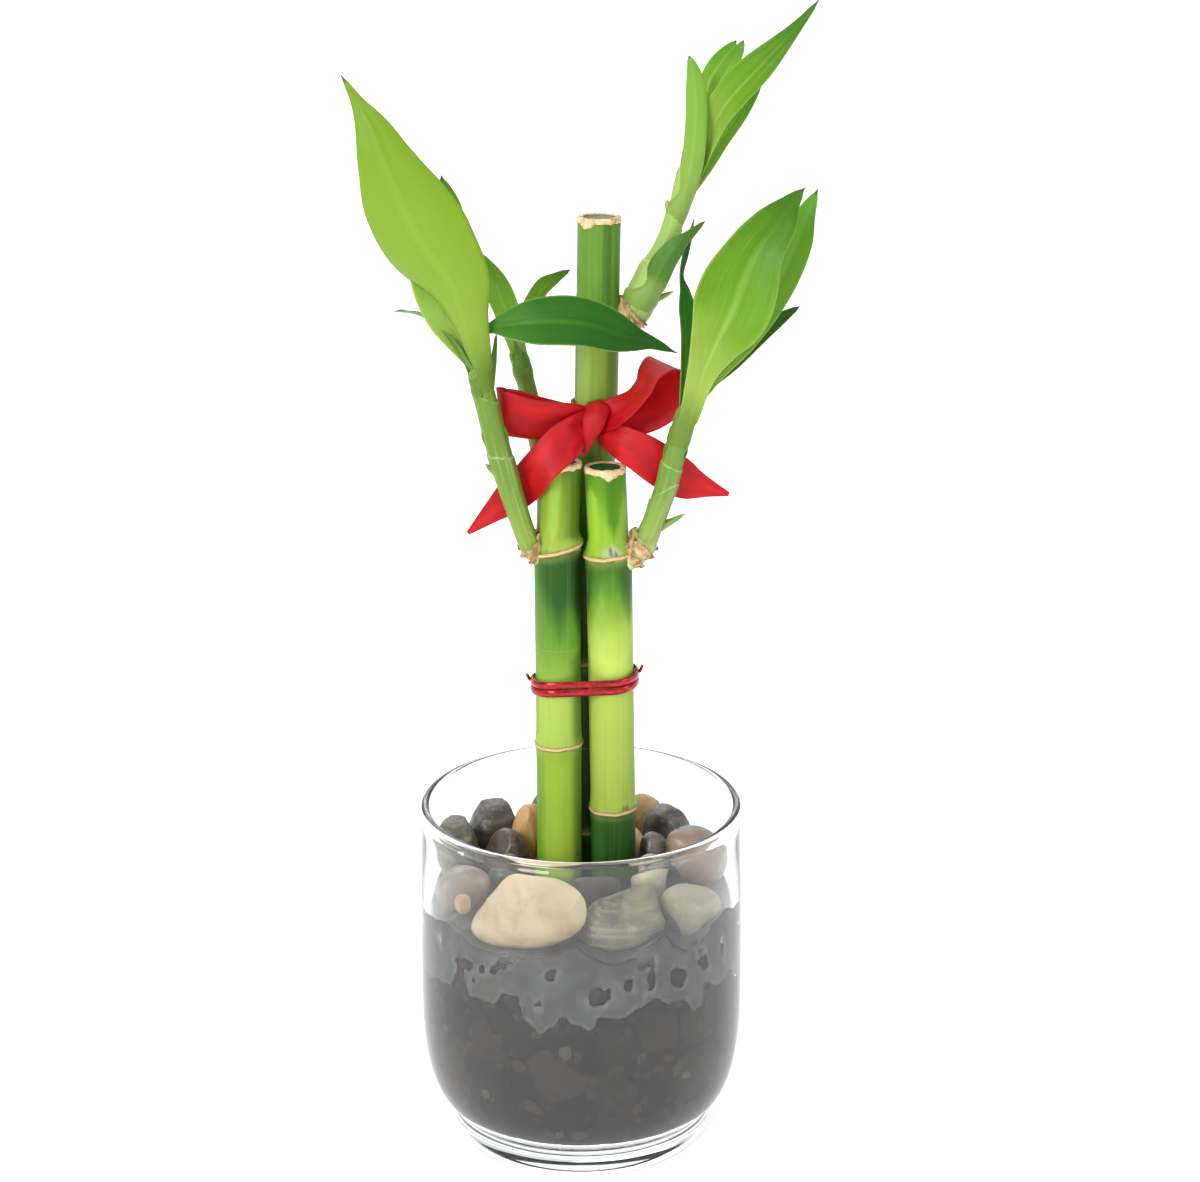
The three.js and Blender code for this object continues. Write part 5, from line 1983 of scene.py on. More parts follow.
@dataclass
class PebbleLayer:
    """River stones that lie in the binder round the canes."""

    pebbles: tuple[Pebble, ...] = PEBBLES
    waves: Outline = ((2.4, 0.045), (2.9, 0.04), (3.3, 0.035))
    squareness: float = 0.86
    share: float = 0.98
    flats: int = 6
    flat_at: float = 0.8
    sight: float = 0.457
    detail: tuple[int, int] = (5, 6)

    def build(self) -> list[Object]:
        """Makes every stone as a piece of its own.

        Returns:
            The stones, in the order of the list.
        """
        made = []
        for index, pebble in enumerate(self.pebbles):
            mesh = self._mesh(index, pebble)
            material = StoneFinish(pebble.kind).material(index)
            made.append(object_of(mesh, f"river_stone_{index + 1:02d}", material))
        return made

    def _mesh(self, index: int, pebble: Pebble) -> Mesh:
        """Mesh of a stone.

        Args:
            index: Its number.
            pebble: The stone.

        Returns:
            The mesh, in metres.
        """
        shape = bmesh.new()
        level = self.detail[1] if pebble.outline else self.detail[0]
        bmesh.ops.create_icosphere(shape, subdivisions=level, radius=1.0)
        turn = Matrix.Rotation(math.atan2(pebble.at[1], pebble.at[0]), 3, "Z")
        along, out, up = pebble.size
        for vertex in shape.verts:
            v = self._body(index, pebble, vertex.co)
            vertex.co = turn @ Vector((v.x * out, v.y * along, v.z * up))
        if pebble.outline:
            self._fit(shape, pebble.outline)
        middle = Vector(pebble.at)
        for vertex in shape.verts:
            vertex.co = (vertex.co * self._dents(index, pebble, vertex.co) + middle) * MM
        mesh = bpy.data.meshes.new(f"river_stone_{index + 1:02d}")
        shape.to_mesh(mesh)
        shape.free()
        return mesh

    def _body(self, index: int, pebble: Pebble, way: Vector) -> Vector:
        """Point of the stone's main form in a direction, before its sizes.

        Args:
            index: Number of the stone, which its own swellings and flats come from.
            pebble: The stone.
            way: Unit direction from its middle.

        Returns:
            The point.
        """
        swell = 1.0
        for k, (rate, height) in enumerate(self.waves):
            swell += height * math.sin(rate * way[k] + 2 * math.pi * hash01(index, k))
        v = Vector(math.copysign(abs(c) ** self.squareness, c) for c in way) * (swell * self.share)
        for k in range(self.flats):
            turn, rise = 6.28 * hash01(index, 11 + k), 1.6 * hash01(index, 31 + k) - 0.8
            face = spoke(math.sqrt(1 - rise * rise), turn, rise)
            v -= face * (0.75 * max(0.0, v.dot(face) - self.flat_at))
        v.y = v.y * (1 + pebble.taper * v.z) + pebble.lean * v.z
        return v

    def _dents(self, index: int, pebble: Pebble, place: Vector) -> float:
        """Small uneven swellings, as a factor on the distance from the middle.

        Args:
            index: Its number.
            pebble: The stone.
            place: Point, from its middle.

        Returns:
            The factor.
        """
        rough = pebble.kind in (Stone.SCHIST, Stone.GREY_GREEN, Stone.SLATE, Stone.BROWN)
        shift = Vector((index * 7.3, index * 3.1, index * 5.7))
        slow = noise.noise(place * 0.16 + shift)
        facet = noise.multi_fractal(place * 0.3 + shift, 0.9, 2.1, 3)
        return 1 + 0.045 * slow + (0.03 if rough else 0.005) * (facet - 1)

    def _fit(self, shape: bmesh.types.BMesh, outline: Pairs) -> None:
        """Pushes a stone out or in until the front view shows its outline.

        Args:
            shape: The stone about its middle.
            outline: Flat points round the middle, as the front view shows them.
        """
        bins = 120
        step = 2 * math.pi / bins
        reach = [0.0] * bins
        for vertex in shape.verts:
            x, z = vertex.co.x, vertex.co.z + self.sight * vertex.co.y
            slot = math.floor(math.atan2(z, x) / step) % bins
            reach[slot] = max(reach[slot], math.hypot(x, z))
        curve = rounded(outline, 3, closed=True)
        wanted = [self._ray(curve, (k + 0.5) * step) for k in range(bins)]
        factor = [w / max(r, 0.1) for w, r in zip(wanted, reach)]
        soft = [sum(factor[(k + d) % bins] for d in range(-3, 4)) / 7 for k in range(bins)]
        for vertex in shape.verts:
            x, z = vertex.co.x, vertex.co.z + self.sight * vertex.co.y
            place = math.atan2(z, x) / step - 0.5
            k = math.floor(place)
            scale = mix(soft[k % bins], soft[(k + 1) % bins], place - k)
            vertex.co.x = x * scale
            vertex.co.z = z * scale - self.sight * vertex.co.y

    @staticmethod
    def _ray(curve: Pairs, angle: float) -> float:
        """Distance from the middle to a closed flat curve at an angle.

        Args:
            curve: Points of the curve.
            angle: Angle from the right, in radians.

        Returns:
            The distance.
        """
        dx, dz = math.cos(angle), math.sin(angle)
        best = 0.0
        for (x0, z0), (x1, z1) in zip(curve, list(curve[1:]) + [curve[0]]):
            ex, ez = x1 - x0, z1 - z0
            cross = dx * ez - dz * ex
            if abs(cross) < 1e-9:
                continue
            far = (x0 * ez - z0 * ex) / cross
            side = (x0 * dz - z0 * dx) / cross
            if far > 0 and 0 <= side <= 1:
                best = max(best, far)
        return best


# ---- canes


@dataclass(frozen=True)
class Ring:
    """A node of a cane: its height, how it tilts to the right and how far it stands out."""

    z: float
    tilt: float
    bulge: float


@dataclass(frozen=True)
class Cane:
    """One cut cane with its rings, its colours and the run of wax on its cut."""

    name: str
    path: tuple[Place, ...]
    below: float
    above: float
    rings: tuple[Ring, ...]
    wax_turn: float
    wax_run: float
    finish: CaneFinish
    sides: int = 80
    swell: float = 5.0
    lip: float = 1.4
    step: float = 0.7
    step_depth: float = 1.0
    wax_sections: int = 112

    @property
    def top(self) -> float:
        """Height of the cut."""
        return self.path[-1][2]

    def axis(self, z: float) -> Vector:
        """Middle of the cane at a height.

        Args:
            z: The height.

        Returns:
            The middle.
        """
        first = max((k for k in range(len(self.path) - 1) if z >= self.path[k][2]), default=0)
        a, b = Vector(self.path[first]), Vector(self.path[first + 1])
        return a.lerp(b, (z - a.z) / (b.z - a.z))

    def radius(self, z: float) -> float:
        """Radius at a height, rings and the step under the wax included.

        Args:
            z: The height.

        Returns:
            The radius.
        """
        upper = self.rings[-1].z
        radius = mix(self.below, self.above, smooth(upper, upper + 4, z))
        for ring in self.rings:
            away = abs(z - ring.z)
            swell = 1 - smooth(0.5, self.swell, away)
            lip = 1 - smooth(0, self.lip, away)
            radius += ring.bulge * (0.45 * swell + 0.55 * lip)
        return radius - self.step if z > self.top - self.step_depth else radius

    def _levels(self) -> list[float]:
        """Heights of the drawn sections, close together at the rings and the cut.

        Returns:
            The heights, from the foot up.
        """
        levels = {self.path[0][2], self.top - self.step_depth, self.top - self.step_depth + 0.04}
        z = self.path[0][2]
        while z < self.top:
            near = min(abs(z - ring.z) for ring in self.rings)
            levels.add(round(z, 3))
            z += 0.2 if near < 2.4 else 1.3
        levels.add(self.top)
        return sorted(levels)

    def _wobble(self, ring: Ring, angle: float) -> float:
        """How far a ring's line strays up or down round the cane."""
        return 0.35 * wave_noise(2 * math.cos(angle), 2 * math.sin(angle), ring.z)

    def build(self) -> Object:
        """Makes the cane.

        Returns:
            The cane.
        """
        rings, marks, cuts = [], [], []
        for z in self._levels():
            middle, radius = self.axis(z), self.radius(z)
            nearest = min(self.rings, key=lambda ring: abs(z - ring.z))
            hold = 1 - smooth(1.5, 6.0, abs(z - nearest.z))
            points, away = [], []
            for angle in angles(self.sides):
                off = z - nearest.z - self._wobble(nearest, angle)
                ridge = 0.15 * math.exp(-(((off - 0.45) / 0.22) ** 2))
                ridge += 0.15 * math.exp(-(((off + 0.45) / 0.22) ** 2))
                ridge -= 0.1 * math.exp(-((off / 0.2) ** 2))
                bark = 0.05 * wave_noise(3 * math.cos(angle), 3 * math.sin(angle), z * 0.05)
                r = radius + ridge + bark
                dx = r * math.cos(angle)
                lift = nearest.tilt * dx * hold
                points.append(middle + Vector((dx, r * math.sin(angle), lift)))
                away.append(off)
            rings.append(points)
            marks.append(away)
            cuts.append([0.0] * self.sides)
        self._recess(rings, marks, cuts)
        skin = Skin()
        skin.loft(rings, marks={"ring": marks, "cut": cuts})
        return skin.build(f"{self.name}_skin", self.finish.material())

    def _recess(
        self, rings: list[list[Vector]], marks: list[list[float]], cuts: list[list[float]]
    ) -> None:
        """Adds the sunken face of the cut.

        Args:
            rings: Rings of points, from the foot up.
            marks: How far each point is over its nearest ring.
            cuts: 1 at the points of the cut face and 0 elsewhere.
        """
        middle = self.axis(self.top)
        rim = self.above - self.step
        for share, drop in ((0.86, 0.05), (0.72, 0.4), (0.6, 0.75), (0.35, 0.95), (0.1, 1.0)):
            ring = []
            for p in circle(rim * share, 0, self.sides):
                grain = 0.08 * wave_noise(p.x * 1.5, p.y * 1.5, self.top)
                ring.append(middle + Vector((p.x, p.y, grain - drop)))
            rings.append(ring)
            marks.append([9.0] * self.sides)
            cuts.append([1.0] * self.sides)

    def seal(self) -> Object:
        """Makes the wax round the rim of the cut, uneven and run down on one side.

        Returns:
            The wax.
        """
        inner = self.above - self.step + 0.3
        ledge = 0.3 - self.step_depth
        sections, middle = [], Vector(self.path[-1])
        for angle in angles(self.wax_sections):
            x, y = 2.2 * math.cos(angle), 2.2 * math.sin(angle)
            run = 1 - smooth(0.06, 0.24, abs(math.sin((angle - self.wax_turn) / 2)))
            uneven = wave_noise(2 * x, 2 * y, self.top)
            outside = self.above + mix(0.16, 0.4, run) + 0.12 * uneven
            low = ledge - 0.2 - self.wax_run * run - 0.7 * max(0.0, uneven)
            inset = 1.15 + 0.35 * wave_noise(1.6 * x, 1.6 * y, self.top + 4)
            rise = 0.5 + 0.15 * wave_noise(1.3 * x, 1.3 * y, self.top + 9)
            outline = [
                (inner, ledge), (inner + 0.12, low), (outside - 0.2, low - 0.1),
                (outside, low + 0.25), (outside, 0.1), (self.above - 0.2, rise),
                (self.above - inset, rise - 0.1), (self.above - inset - 0.15, 0.1),
                (self.above - inset + 0.3, -0.15), (inner, 0.05),
            ]
            section = rounded(outline, 2, closed=True)
            sections.append([middle + spoke(r, angle, z) for r, z in section])
        skin = Skin()
        skin.loft(sections, closed=True)
        return skin.build(f"{self.name}_wax", WaxFinish().material())


CANES = (
    Cane(
        name="cane_left",
        path=((-5.6, -3.4, 14), (-5.7, -3.4, 110.1), (-5.9, -3.4, 163.1), (-5.1, -3.4, 185.1)),
        below=5.85,
        above=5.4,
        rings=(Ring(110.1, 0.02, 0.4), Ring(163.1, 0.22, 0.8)),
        wax_turn=-1.9,
        wax_run=0.5,
        finish=CaneFinish(
            "cane_left",
            (
                (60, "8dab34"), (84, "8eab37"), (104, "88a733"), (109.6, "7d9d2c"),
                (110.6, "95b145"), (124, "9eb650"), (131, "7a9b35"), (138, "5f8a28"),
                (150, "45741d"), (162, "3f6e1c"), (164.4, "8ca43c"), (172, "7f9a2a"),
                (186, "66841c"),
            ),
            (
                # The streaks at 0.94 and 0.9 paint the shade on the side next to the right cane, those
                # at 0.53, 0.57 and 0.95 paint darker edges, and the pale one at 0.72 is a painted
                # highlight.
                StreakAndLightBand(0.76, 0.24, 134.5, 163.4, "204a0e", 0.95, (21, 0.5), 0.7),
                StreakAndLightBand(0.94, 0.14, 137, 163.4, "132e08", 0.93, (12, 0.5), 0.85),
                StreakAndLightBand(0.53, 0.09, 163.2, 188, "486f1e", 0.85),
                StreakAndLightBand(0.9, 0.17, 163.2, 188, "466410", 0.9, soft=0.9),
                StreakAndLightBand(0.72, 0.06, 165, 188, "93b84a", 0.5),
                StreakAndLightBand(0.57, 0.12, 60, 110, "5f9024", 0.8, soft=0.9),
                StreakAndLightBand(0.53, 0.08, 110, 138, "63902c", 0.7),
                StreakAndLightBand(0.95, 0.13, 60, 138, "4c7220", 0.75),
            ),
        ),
    ),
    Cane(
        name="cane_right",
        path=((9.2, -3.4, 14), (8.4, -3.4, 92.2), (7.3, -3.4, 161.5), (6.3, -3.4, 183.8)),
        below=5.85,
        above=5.2,
        rings=(Ring(92.2, 0.03, 0.4), Ring(161.5, 0.1, 0.8)),
        wax_turn=-1.4,
        wax_run=0.9,
        finish=CaneFinish(
            "cane_right",
            (
                (60, "224818"), (80, "204516"), (91.6, "284f19"), (92.8, "95ad40"),
                (104, "9aae46"), (124, "9db248"), (134, "adc258"), (141, "9cb648"),
                (146, "78992f"), (152, "507e20"), (158, "3d691a"), (160.9, "3d601c"),
                (162.6, "86ab2c"), (172, "7aa222"), (180, "568714"), (185, "4a7a12"),
            ),
            (
                # The streaks at 0.9, 0.98, 0.51 and 0.52 paint darker edges, the one at 0.55 paints
                # the shade next to the left cane, and the pale ones at 0.62 and 0.69 are painted
                # highlights.
                StreakAndLightBand(0.9, 0.15, 137, 161, "27521a", 0.9, (18, 0.5), 0.9),
                StreakAndLightBand(0.55, 0.08, 144, 161, "356220", 0.85, (8, 0.5)),
                StreakAndLightBand(0.69, 0.09, 138, 157.5, "86a43c", 0.7, (8, 12), 1.0),
                StreakAndLightBand(0.62, 0.08, 162, 181, "90b72f", 0.75),
                StreakAndLightBand(0.91, 0.09, 162, 180, "8aac50", 0.75, (2, 8)),
                StreakAndLightBand(0.8, 0.09, 163.5, 184.5, "3b6d0c", 0.85, (8, 2), 0.9),
                StreakAndLightBand(0.51, 0.06, 162, 185, "456f22", 0.7),
                StreakAndLightBand(0.98, 0.14, 93, 150, "6f9140", 0.6, (1, 16), 0.9),
                StreakAndLightBand(0.52, 0.07, 93, 146, "77942f", 0.6, (1, 12), 0.8),
                StreakAndLightBand(0.62, 0.09, 60, 92, "356326", 0.6, (1, 1)),
                StreakAndLightBand(0.78, 0.085, 161.6, 166.2, "a9aba2", 0.85, (0.4, 2.8), 0.7),
                StreakAndLightBand(0.765, 0.024, 162.2, 165.4, "4c5046", 0.85, (0.4, 1.5), 0.8),
                StreakAndLightBand(0.8, 0.02, 162.2, 164.6, "444a3e", 0.85, (0.4, 1.5), 0.8),
            ),
        ),
    ),
    Cane(
        name="cane_rear",
        path=((0.7, 7.7, 14), (0.8, 7.7, 129.5), (4, 7.7, 197.4), (4.8, 7.7, 245)),
        below=5.5,
        above=5.4,
        rings=(Ring(82, 0.0, 0.4), Ring(129.5, -0.02, 0.3), Ring(219.8, 0.08, 0.6)),
        wax_turn=-2.2,
        wax_run=1.0,
        finish=CaneFinish(
            "cane_rear",
            (
                # The dark tones up to 165 mm paint the shade that the lower cane stands in behind the
                # front canes.
                (60, "26481a"), (81, "2f5520"), (83, "264a1b"), (128.8, "335e20"),
                (130.5, "264a1b"), (165, "35631f"), (190, "5f8228"), (205, "7a9636"),
                (219, "86a23e"), (221, "59802a"), (232, "648b32"), (245, "5a822a"),
            ),
            (
                # The streak at 0.94 is partly the cane's own darker side and partly painted shade;
                # those at 0.95 and 0.54 paint darker edges, and the pale one at 0.63 is a painted
                # highlight.
                StreakAndLightBand(0.94, 0.16, 190, 219.6, "587426", 0.85),
                StreakAndLightBand(0.63, 0.09, 190, 219.6, "99b656", 0.6),
                StreakAndLightBand(0.815, 0.05, 220.4, 246, "38650f", 0.85, (1, 1)),
                StreakAndLightBand(0.95, 0.1, 220.4, 246, "4a7520", 0.7, (1, 1)),
                StreakAndLightBand(0.54, 0.06, 190, 246, "567f33", 0.7),
            ),
            ("6f7466", "8d8f80"),
        ),
    ),
)


@dataclass
class RingFibres:
    """Short dry fibres that stand round the rings of the canes."""

    canes: tuple[Cane, ...] = CANES
    length: float = 1.3
    thickness: float = 0.07
    count: int = 34
    lowest: float = 85.0

    def build(self) -> Object:
        """Grows fibres along every ring with a Geometry Nodes tree.

        Returns:
            The fibres as one piece.
        """
        vertices, edges = [], []
        for cane in self.canes:
            for ring in cane.rings:
                if ring.z < self.lowest:
                    continue
                start, sides = len(vertices), 40
                middle, radius = cane.axis(ring.z), cane.radius(ring.z) + 0.05
                for k, a in enumerate(angles(sides)):
                    dx = radius * math.cos(a)
                    vertices.append(middle + Vector((dx, radius * math.sin(a), ring.tilt * dx)))
                    edges.append((start + k, start + (k + 1) % sides))
        guide = plain_object("ring_guides", vertices, edges, [])
        material = HuskFinish().material()
        return object_of(self._grow(guide, material), "ring_fibres", material)

    def _grow(self, guide: Object, material: Material) -> Mesh:
        """Sets fibres on points along the guides, nearly level, each at a turn of its own.

        Args:
            guide: Closed lines round the rings.
            material: Finish of the fibres.

        Returns:
            The fibres.
        """
        r = Recipe("ring_fibres")
        length, thickness = r.number("Length"), r.number("Thickness")
        count = r.number("Count", "NodeSocketInt")
        seed = r.number("Seed", "NodeSocketInt")
        curve = r.node("GeometryNodeMeshToCurve", Mesh=r.given())
        spots = r.node("GeometryNodeResampleCurve", Curve=curve.outputs[0], Count=count)
        fibre = r.node(
            "GeometryNodeMeshCone", Vertices=6, Side_Segments=4, Radius_Top=0.0,
            Radius_Bottom=thickness, Depth=length,
        )
        tangent = r.node("GeometryNodeInputTangent")
        lie = r.node("FunctionNodeAlignRotationToVector", {"axis": "Z"}, Vector=tangent.outputs[0])
        stray = r.random(seed, (-0.5, -0.5, 0.0), (0.5, 0.5, 6.28))
        turned = r.node(
            "FunctionNodeRotateRotation", {"rotation_space": "LOCAL"}, s0=lie.outputs[0], s1=stray
        )
        copies = r.node(
            "GeometryNodeInstanceOnPoints", Points=spots.outputs[0], Instance=fibre.outputs[0],
            Rotation=turned.outputs[0], Scale=r.random(seed, 0.4, 1.3),
        )
        values = {"Length": self.length * MM, "Thickness": self.thickness * MM}
        values |= {"Count": self.count, "Seed": SEED}
        return r.serve(copies.outputs[0], material, guide, values)


# ---- shoots


@dataclass(frozen=True)
class Bud:
    """Small pointed bud at a share of a shoot, on one side of it."""

    at: float
    side: Place
    reach: float


@dataclass(frozen=True)
class Shoot:
    """Leafy shoot; each point of its path is x, y, z and radius."""

    name: str
    path: Spine
    finish: ShootFinish
    buds: tuple[Bud, ...] = ()
    sheaths: tuple[Place, ...] = ()
    end: float = 0.9
    sides: int = 44
    steps: int = 170
    bud_rise: float = 4.5

    @property
    def length(self) -> float:
        """Length of the path."""
        spots = [Vector(p[:3]) for p in self.path]
        return sum((b - a).length for a, b in zip(spots, spots[1:]))

    def build(self) -> Object:
        """Makes the shoot with its sheath edges and buds.

        Returns:
            The shoot.
        """
        rings, edges = [], []
        for step in range(self.steps + 1):
            share = self.end * step / self.steps
            middle, (left, front) = place_at(self.path, share), square_to(heading(self.path, share))
            closing = 1 - 0.85 * smooth(self.end - 0.1, self.end, share)
            radius = max(0.15, curve_at(self.path, share)[3] * closing)
            points, lines = [], []
            for angle in angles(self.sides):
                lift, edge = self._sheath(share, angle)
                r = radius + lift + 0.035 * math.sin(11 * angle)
                points.append(middle + left * (r * math.cos(angle)) + front * (r * math.sin(angle)))
                lines.append(edge)
            rings.append(points)
            edges.append(lines)
        skin = Skin()
        skin.loft(rings, marks={"sheath": edges})
        for bud in self.buds:
            self._bud(skin, bud)
        return skin.build(f"{self.name}_skin", self.finish.material())

    def _sheath(self, share: float, angle: float) -> tuple[float, float]:
        """Lift of the overlapping sheaths at a place, and how near their edge it is.

        Args:
            share: Share of the path.
            angle: Angle round the shoot, in radians from the left towards the front.

        Returns:
            The lift in millimetres, and 1 at an edge, falling to 0 beside it.
        """
        lift, edge = 0.0, 0.0
        for at, slant, turn in self.sheaths:
            line = at + slant * math.cos(angle - turn) + 0.004 * wave_noise(3 * angle, at * 9)
            off = share - line
            lift += 0.28 * (1 - smooth(-0.004, 0.006, off)) * smooth(-0.09, -0.004, off)
            edge = max(edge, 1 - smooth(0.0, 0.009, abs(off)))
        return lift, edge

    def _bud(self, skin: Skin, bud: Bud) -> None:
        """Adds a bud as a small closed cone with a swollen middle.

        Args:
            skin: The mesh that it is added to.
            bud: The bud.
        """
        start, along = place_at(self.path, bud.at), heading(self.path, bud.at)
        out = Vector(bud.side).normalized()
        reach = curve_at(self.path, bud.at)[3] + bud.reach
        tip = start + out * reach + along * self.bud_rise
        path = [start, start.lerp(tip, 0.55) + out * 0.5, tip]
        sides, steps = 20, 18
        rings = []
        for share, middle, ahead in walk(path, steps):
            left, front = square_to(ahead)
            r = mix(1.35, 0.12, share**1.6) * (1 + 0.1 * math.sin(9 * share))
            rings.append([
                middle + left * (r * math.cos(a)) + front * (r * math.sin(a)) for a in angles(sides)
            ])
        edge = [[smooth(0.6, 1.0, step / steps)] * sides for step in range(steps + 1)]
        skin.loft(rings, marks={"sheath": edge}, along=[0.5] * (steps + 1))


SHOOTS = (
    Shoot(
        "shoot_left",
        ((-8.5, -4.2, 160, 2.6), (-12, -5, 163.4, 2.9), (-14.3, -7, 169, 2.7),
         (-18, -10, 182.4, 3), (-21.2, -12, 195.2, 2.95), (-23.5, -13.3, 205.6, 2.7),
         (-25, -14, 213.2, 2.3), (-26.5, -14.5, 219, 1)),
        buds=(Bud(0.43, (-1, 0, 0), 1.4),),
        sheaths=((0.16, 0.01, 0.0), (0.5, 0.012, 0.4), (0.7, 0.035, 0.0), (0.84, 0.03, 3.0)),
        finish=ShootFinish("shoot_left"),
    ),
    Shoot(
        "shoot_right",
        ((11, -4, 159.5, 3.2), (15.3, -5, 163.4, 3.3), (18.1, -6.5, 169.7, 2.8),
         (20.8, -8, 177.9, 2.8), (23.2, -9, 187.3, 2.7), (25.3, -9.8, 196, 2.6),
         (27.2, -10.4, 203, 2.2), (29, -11, 209, 1)),
        buds=(Bud(0.25, (1, 0, 0.1), 4.6),),
        sheaths=((0.2, 0.012, 0.5), (0.55, 0.01, 0.0), (0.44, 0.05, 2.6), (0.8, 0.04, 0.3)),
        end=0.87,
        finish=ShootFinish("shoot_right", low="cdd488", middle="819c48", high="66852f"),
    ),
    Shoot(
        "shoot_top",
        ((8.5, 8, 218.5, 3.6), (13, 8, 221.1, 4.3), (15.2, 7.5, 225, 4.2), (18, 7.2, 231, 3.9),
         (20.8, 7, 237, 2.9), (23.4, 7.5, 244.4, 2.4), (25.6, 8, 252, 2.4), (27.9, 9, 262, 2),
         (29.5, 10, 268, 0.9)),
        buds=(Bud(0.18, (1, 0, 0), 3), Bud(0.64, (-1, 0, 0), 1.2)),
        sheaths=((0.14, 0.012, 0.0), (0.46, 0.04, 3.1), (0.63, 0.03, 0.2), (0.82, 0.04, 2.8)),
        finish=ShootFinish("shoot_top", low="9fb560", middle="9cb562", high="8fae55"),
    ),
    Shoot(
        "shoot_back",
        ((-6.8, 0.4, 160, 2.2), (-7.6, 4.4, 164, 2.4), (-8.6, 5.4, 171, 2.2), (-9.6, 6, 179, 2.2),
         (-11, 6.5, 188.4, 2.2), (-12.7, 6.8, 198.7, 2.3), (-14.7, 6.8, 207, 2.2),
         (-16.6, 6.5, 214, 1.8), (-17.8, 6.3, 219, 0.8)),
        sheaths=((0.3, 0.01, 0.0), (0.6, 0.03, 3.0), (0.8, 0.03, 0.2)),
        finish=ShootFinish("shoot_back", low="7c9f3a", middle="6c9434", high="5e8a2b"),
    ),
)


# ---- leaves


@dataclass(frozen=True)
class Leaf:
    """One leaf; each point of its spine is x, y, z and half width.

    face is the way the upper side looks at the base and at the tip, and cup how far the edges
    rise to it, as a share of the half width.
    """

    name: str
    spine: Spine
    face: tuple[Place, Place]
    cup: tuple[float, float]
    tone: LeafTone = LeafTone.MIDDLE
    wave: float = 0.25
    columns: int = 22
    rows: int = 84
    sheath: float = 9.0
    sheath_rows: int = 16
    clasp: float = 1.9

    def build(self) -> Object:
        """Makes the blade and the sheath that joins it to its shoot.

        Returns:
            The leaf.
        """
        points, normals = self._blade()
        shoot = next(s for s in SHOOTS if s.name.split("_")[1] == self.name.split("_")[1])
        around, ways = self._sheath(shoot, points[0], normals[0])
        rows = [0.15 * (row / self.sheath_rows - 1) for row in range(self.sheath_rows)]
        rows += [row / self.rows for row in range(self.rows + 1)]
        skin = Skin()
        skin.sheet(around + points, ways + normals, self._thickness, along=rows)
        finish = LeafFinish(self.name, self.tone, shoot.finish.high)
        return skin.build(f"{self.name}_blade", finish.material())

    def _sheath(
        self, shoot: Shoot, first: Sequence[Vector], ups: Sequence[Vector]
    ) -> tuple[list[list[Vector]], list[list[Vector]]]:
        """Rows that clasp the shoot and open into the blade.

        Args:
            shoot: The shoot that the leaf grows from.
            first: First row of the blade.
            ups: The blade's normals along that row.

        Returns:
            Points and normals of the rows, from the lowest up.
        """
        base = Vector(self.spine[0][:3])
        foot = min(
            (k / 80 for k in range(81)), key=lambda k: (place_at(shoot.path, k) - base).length
        )
        seat = place_at(shoot.path, foot)
        middle_up = ups[len(ups) // 2]
        rows, ways = [], []
        for step in range(self.sheath_rows):
            rise = step / self.sheath_rows
            share = max(0.0, foot - self.sheath / shoot.length * (1 - rise))
            middle, along = place_at(shoot.path, share), heading(shoot.path, share)
            out = base - seat
            out -= along * out.dot(along)
            if out.length < 0.4:
                out = -middle_up
                out -= along * out.dot(along)
            out.normalize()
            side = along.cross(out)
            if side.dot(first[-1] - first[0]) < 0:
                side.negate()
            radius = curve_at(shoot.path, share)[3] + mix(-0.2, 0.3, smooth(0.0, 0.5, rise))
            open_share = smooth(0.35, 1.0, rise)
            line, turned = [], []
            for column, (p, up) in enumerate(zip(first, ups)):
                turn = (2 * column / self.columns - 1) * self.clasp
                way = out * math.cos(turn) + side * math.sin(turn)
                spot = p + (middle - seat)
                line.append((middle + way * radius).lerp(spot, open_share))
                face = way if middle_up.dot(out) > 0 else -way
                turned.append(face.lerp(up, open_share).normalized())
            rows.append(line)
            ways.append(turned)
        return rows, ways

    def _blade(self) -> tuple[list[list[Vector]], list[list[Vector]]]:
        """Points and normals of the blade's rows.

        Returns:
            Points and normals, row by row from the base.
        """
        points, normals = [], []
        phase = 6.28 * hash01(len(self.name), int(self.spine[0][2] * 10))
        for share, middle, along in walk(self.spine, self.rows):
            facing = Vector(self.face[0]).lerp(Vector(self.face[1]), share)
            across = along.cross(facing).normalized()
            normal = across.cross(along).normalized()
            half = max(0.0, curve_at(self.spine, share)[3])
            half *= mix(1.0, 0.35, smooth(0.94, 1.0, share))
            cup = mix(*self.cup, math.sqrt(share))
            line, ups = [], []
            for column in range(self.columns + 1):
                u = 2 * column / self.columns - 1
                rise = cup * half * u * u + self._relief(u, half, share, phase)
                line.append(middle + across * (u * half) + normal * rise)
                ups.append((normal - across * (1.6 * cup * u)).normalized())
            points.append(line)
            normals.append(ups)
        return points, normals

    def _relief(self, u: float, half: float, share: float, phase: float) -> float:
        """Crease along the middle, and slow waves along the edges.

        Args:
            u: Place across the blade, from -1 to 1.
            half: Half width there.
            share: Share of the blade's length.
            phase: Shift of the waves, different for each leaf.

        Returns:
            How far the blade rises.
        """
        crease = 0.34 * math.exp(-((u * half / 0.8) ** 2)) * smooth(1.0, 0.5, share)
        ripple = self.wave * (abs(u) ** 2.5) * math.sin(15 * share + phase + (2.0 if u > 0 else 0))
        fold = 0.16 * wave_noise(u * 2.2, share * 6, phase) * smooth(0.0, 4.0, half)
        ends = smooth(0.0, 0.12, share) * smooth(1.0, 0.85, share)
        return (ripple + fold) * ends * smooth(0.5, 4.0, half) - crease * min(1.0, half / 3)

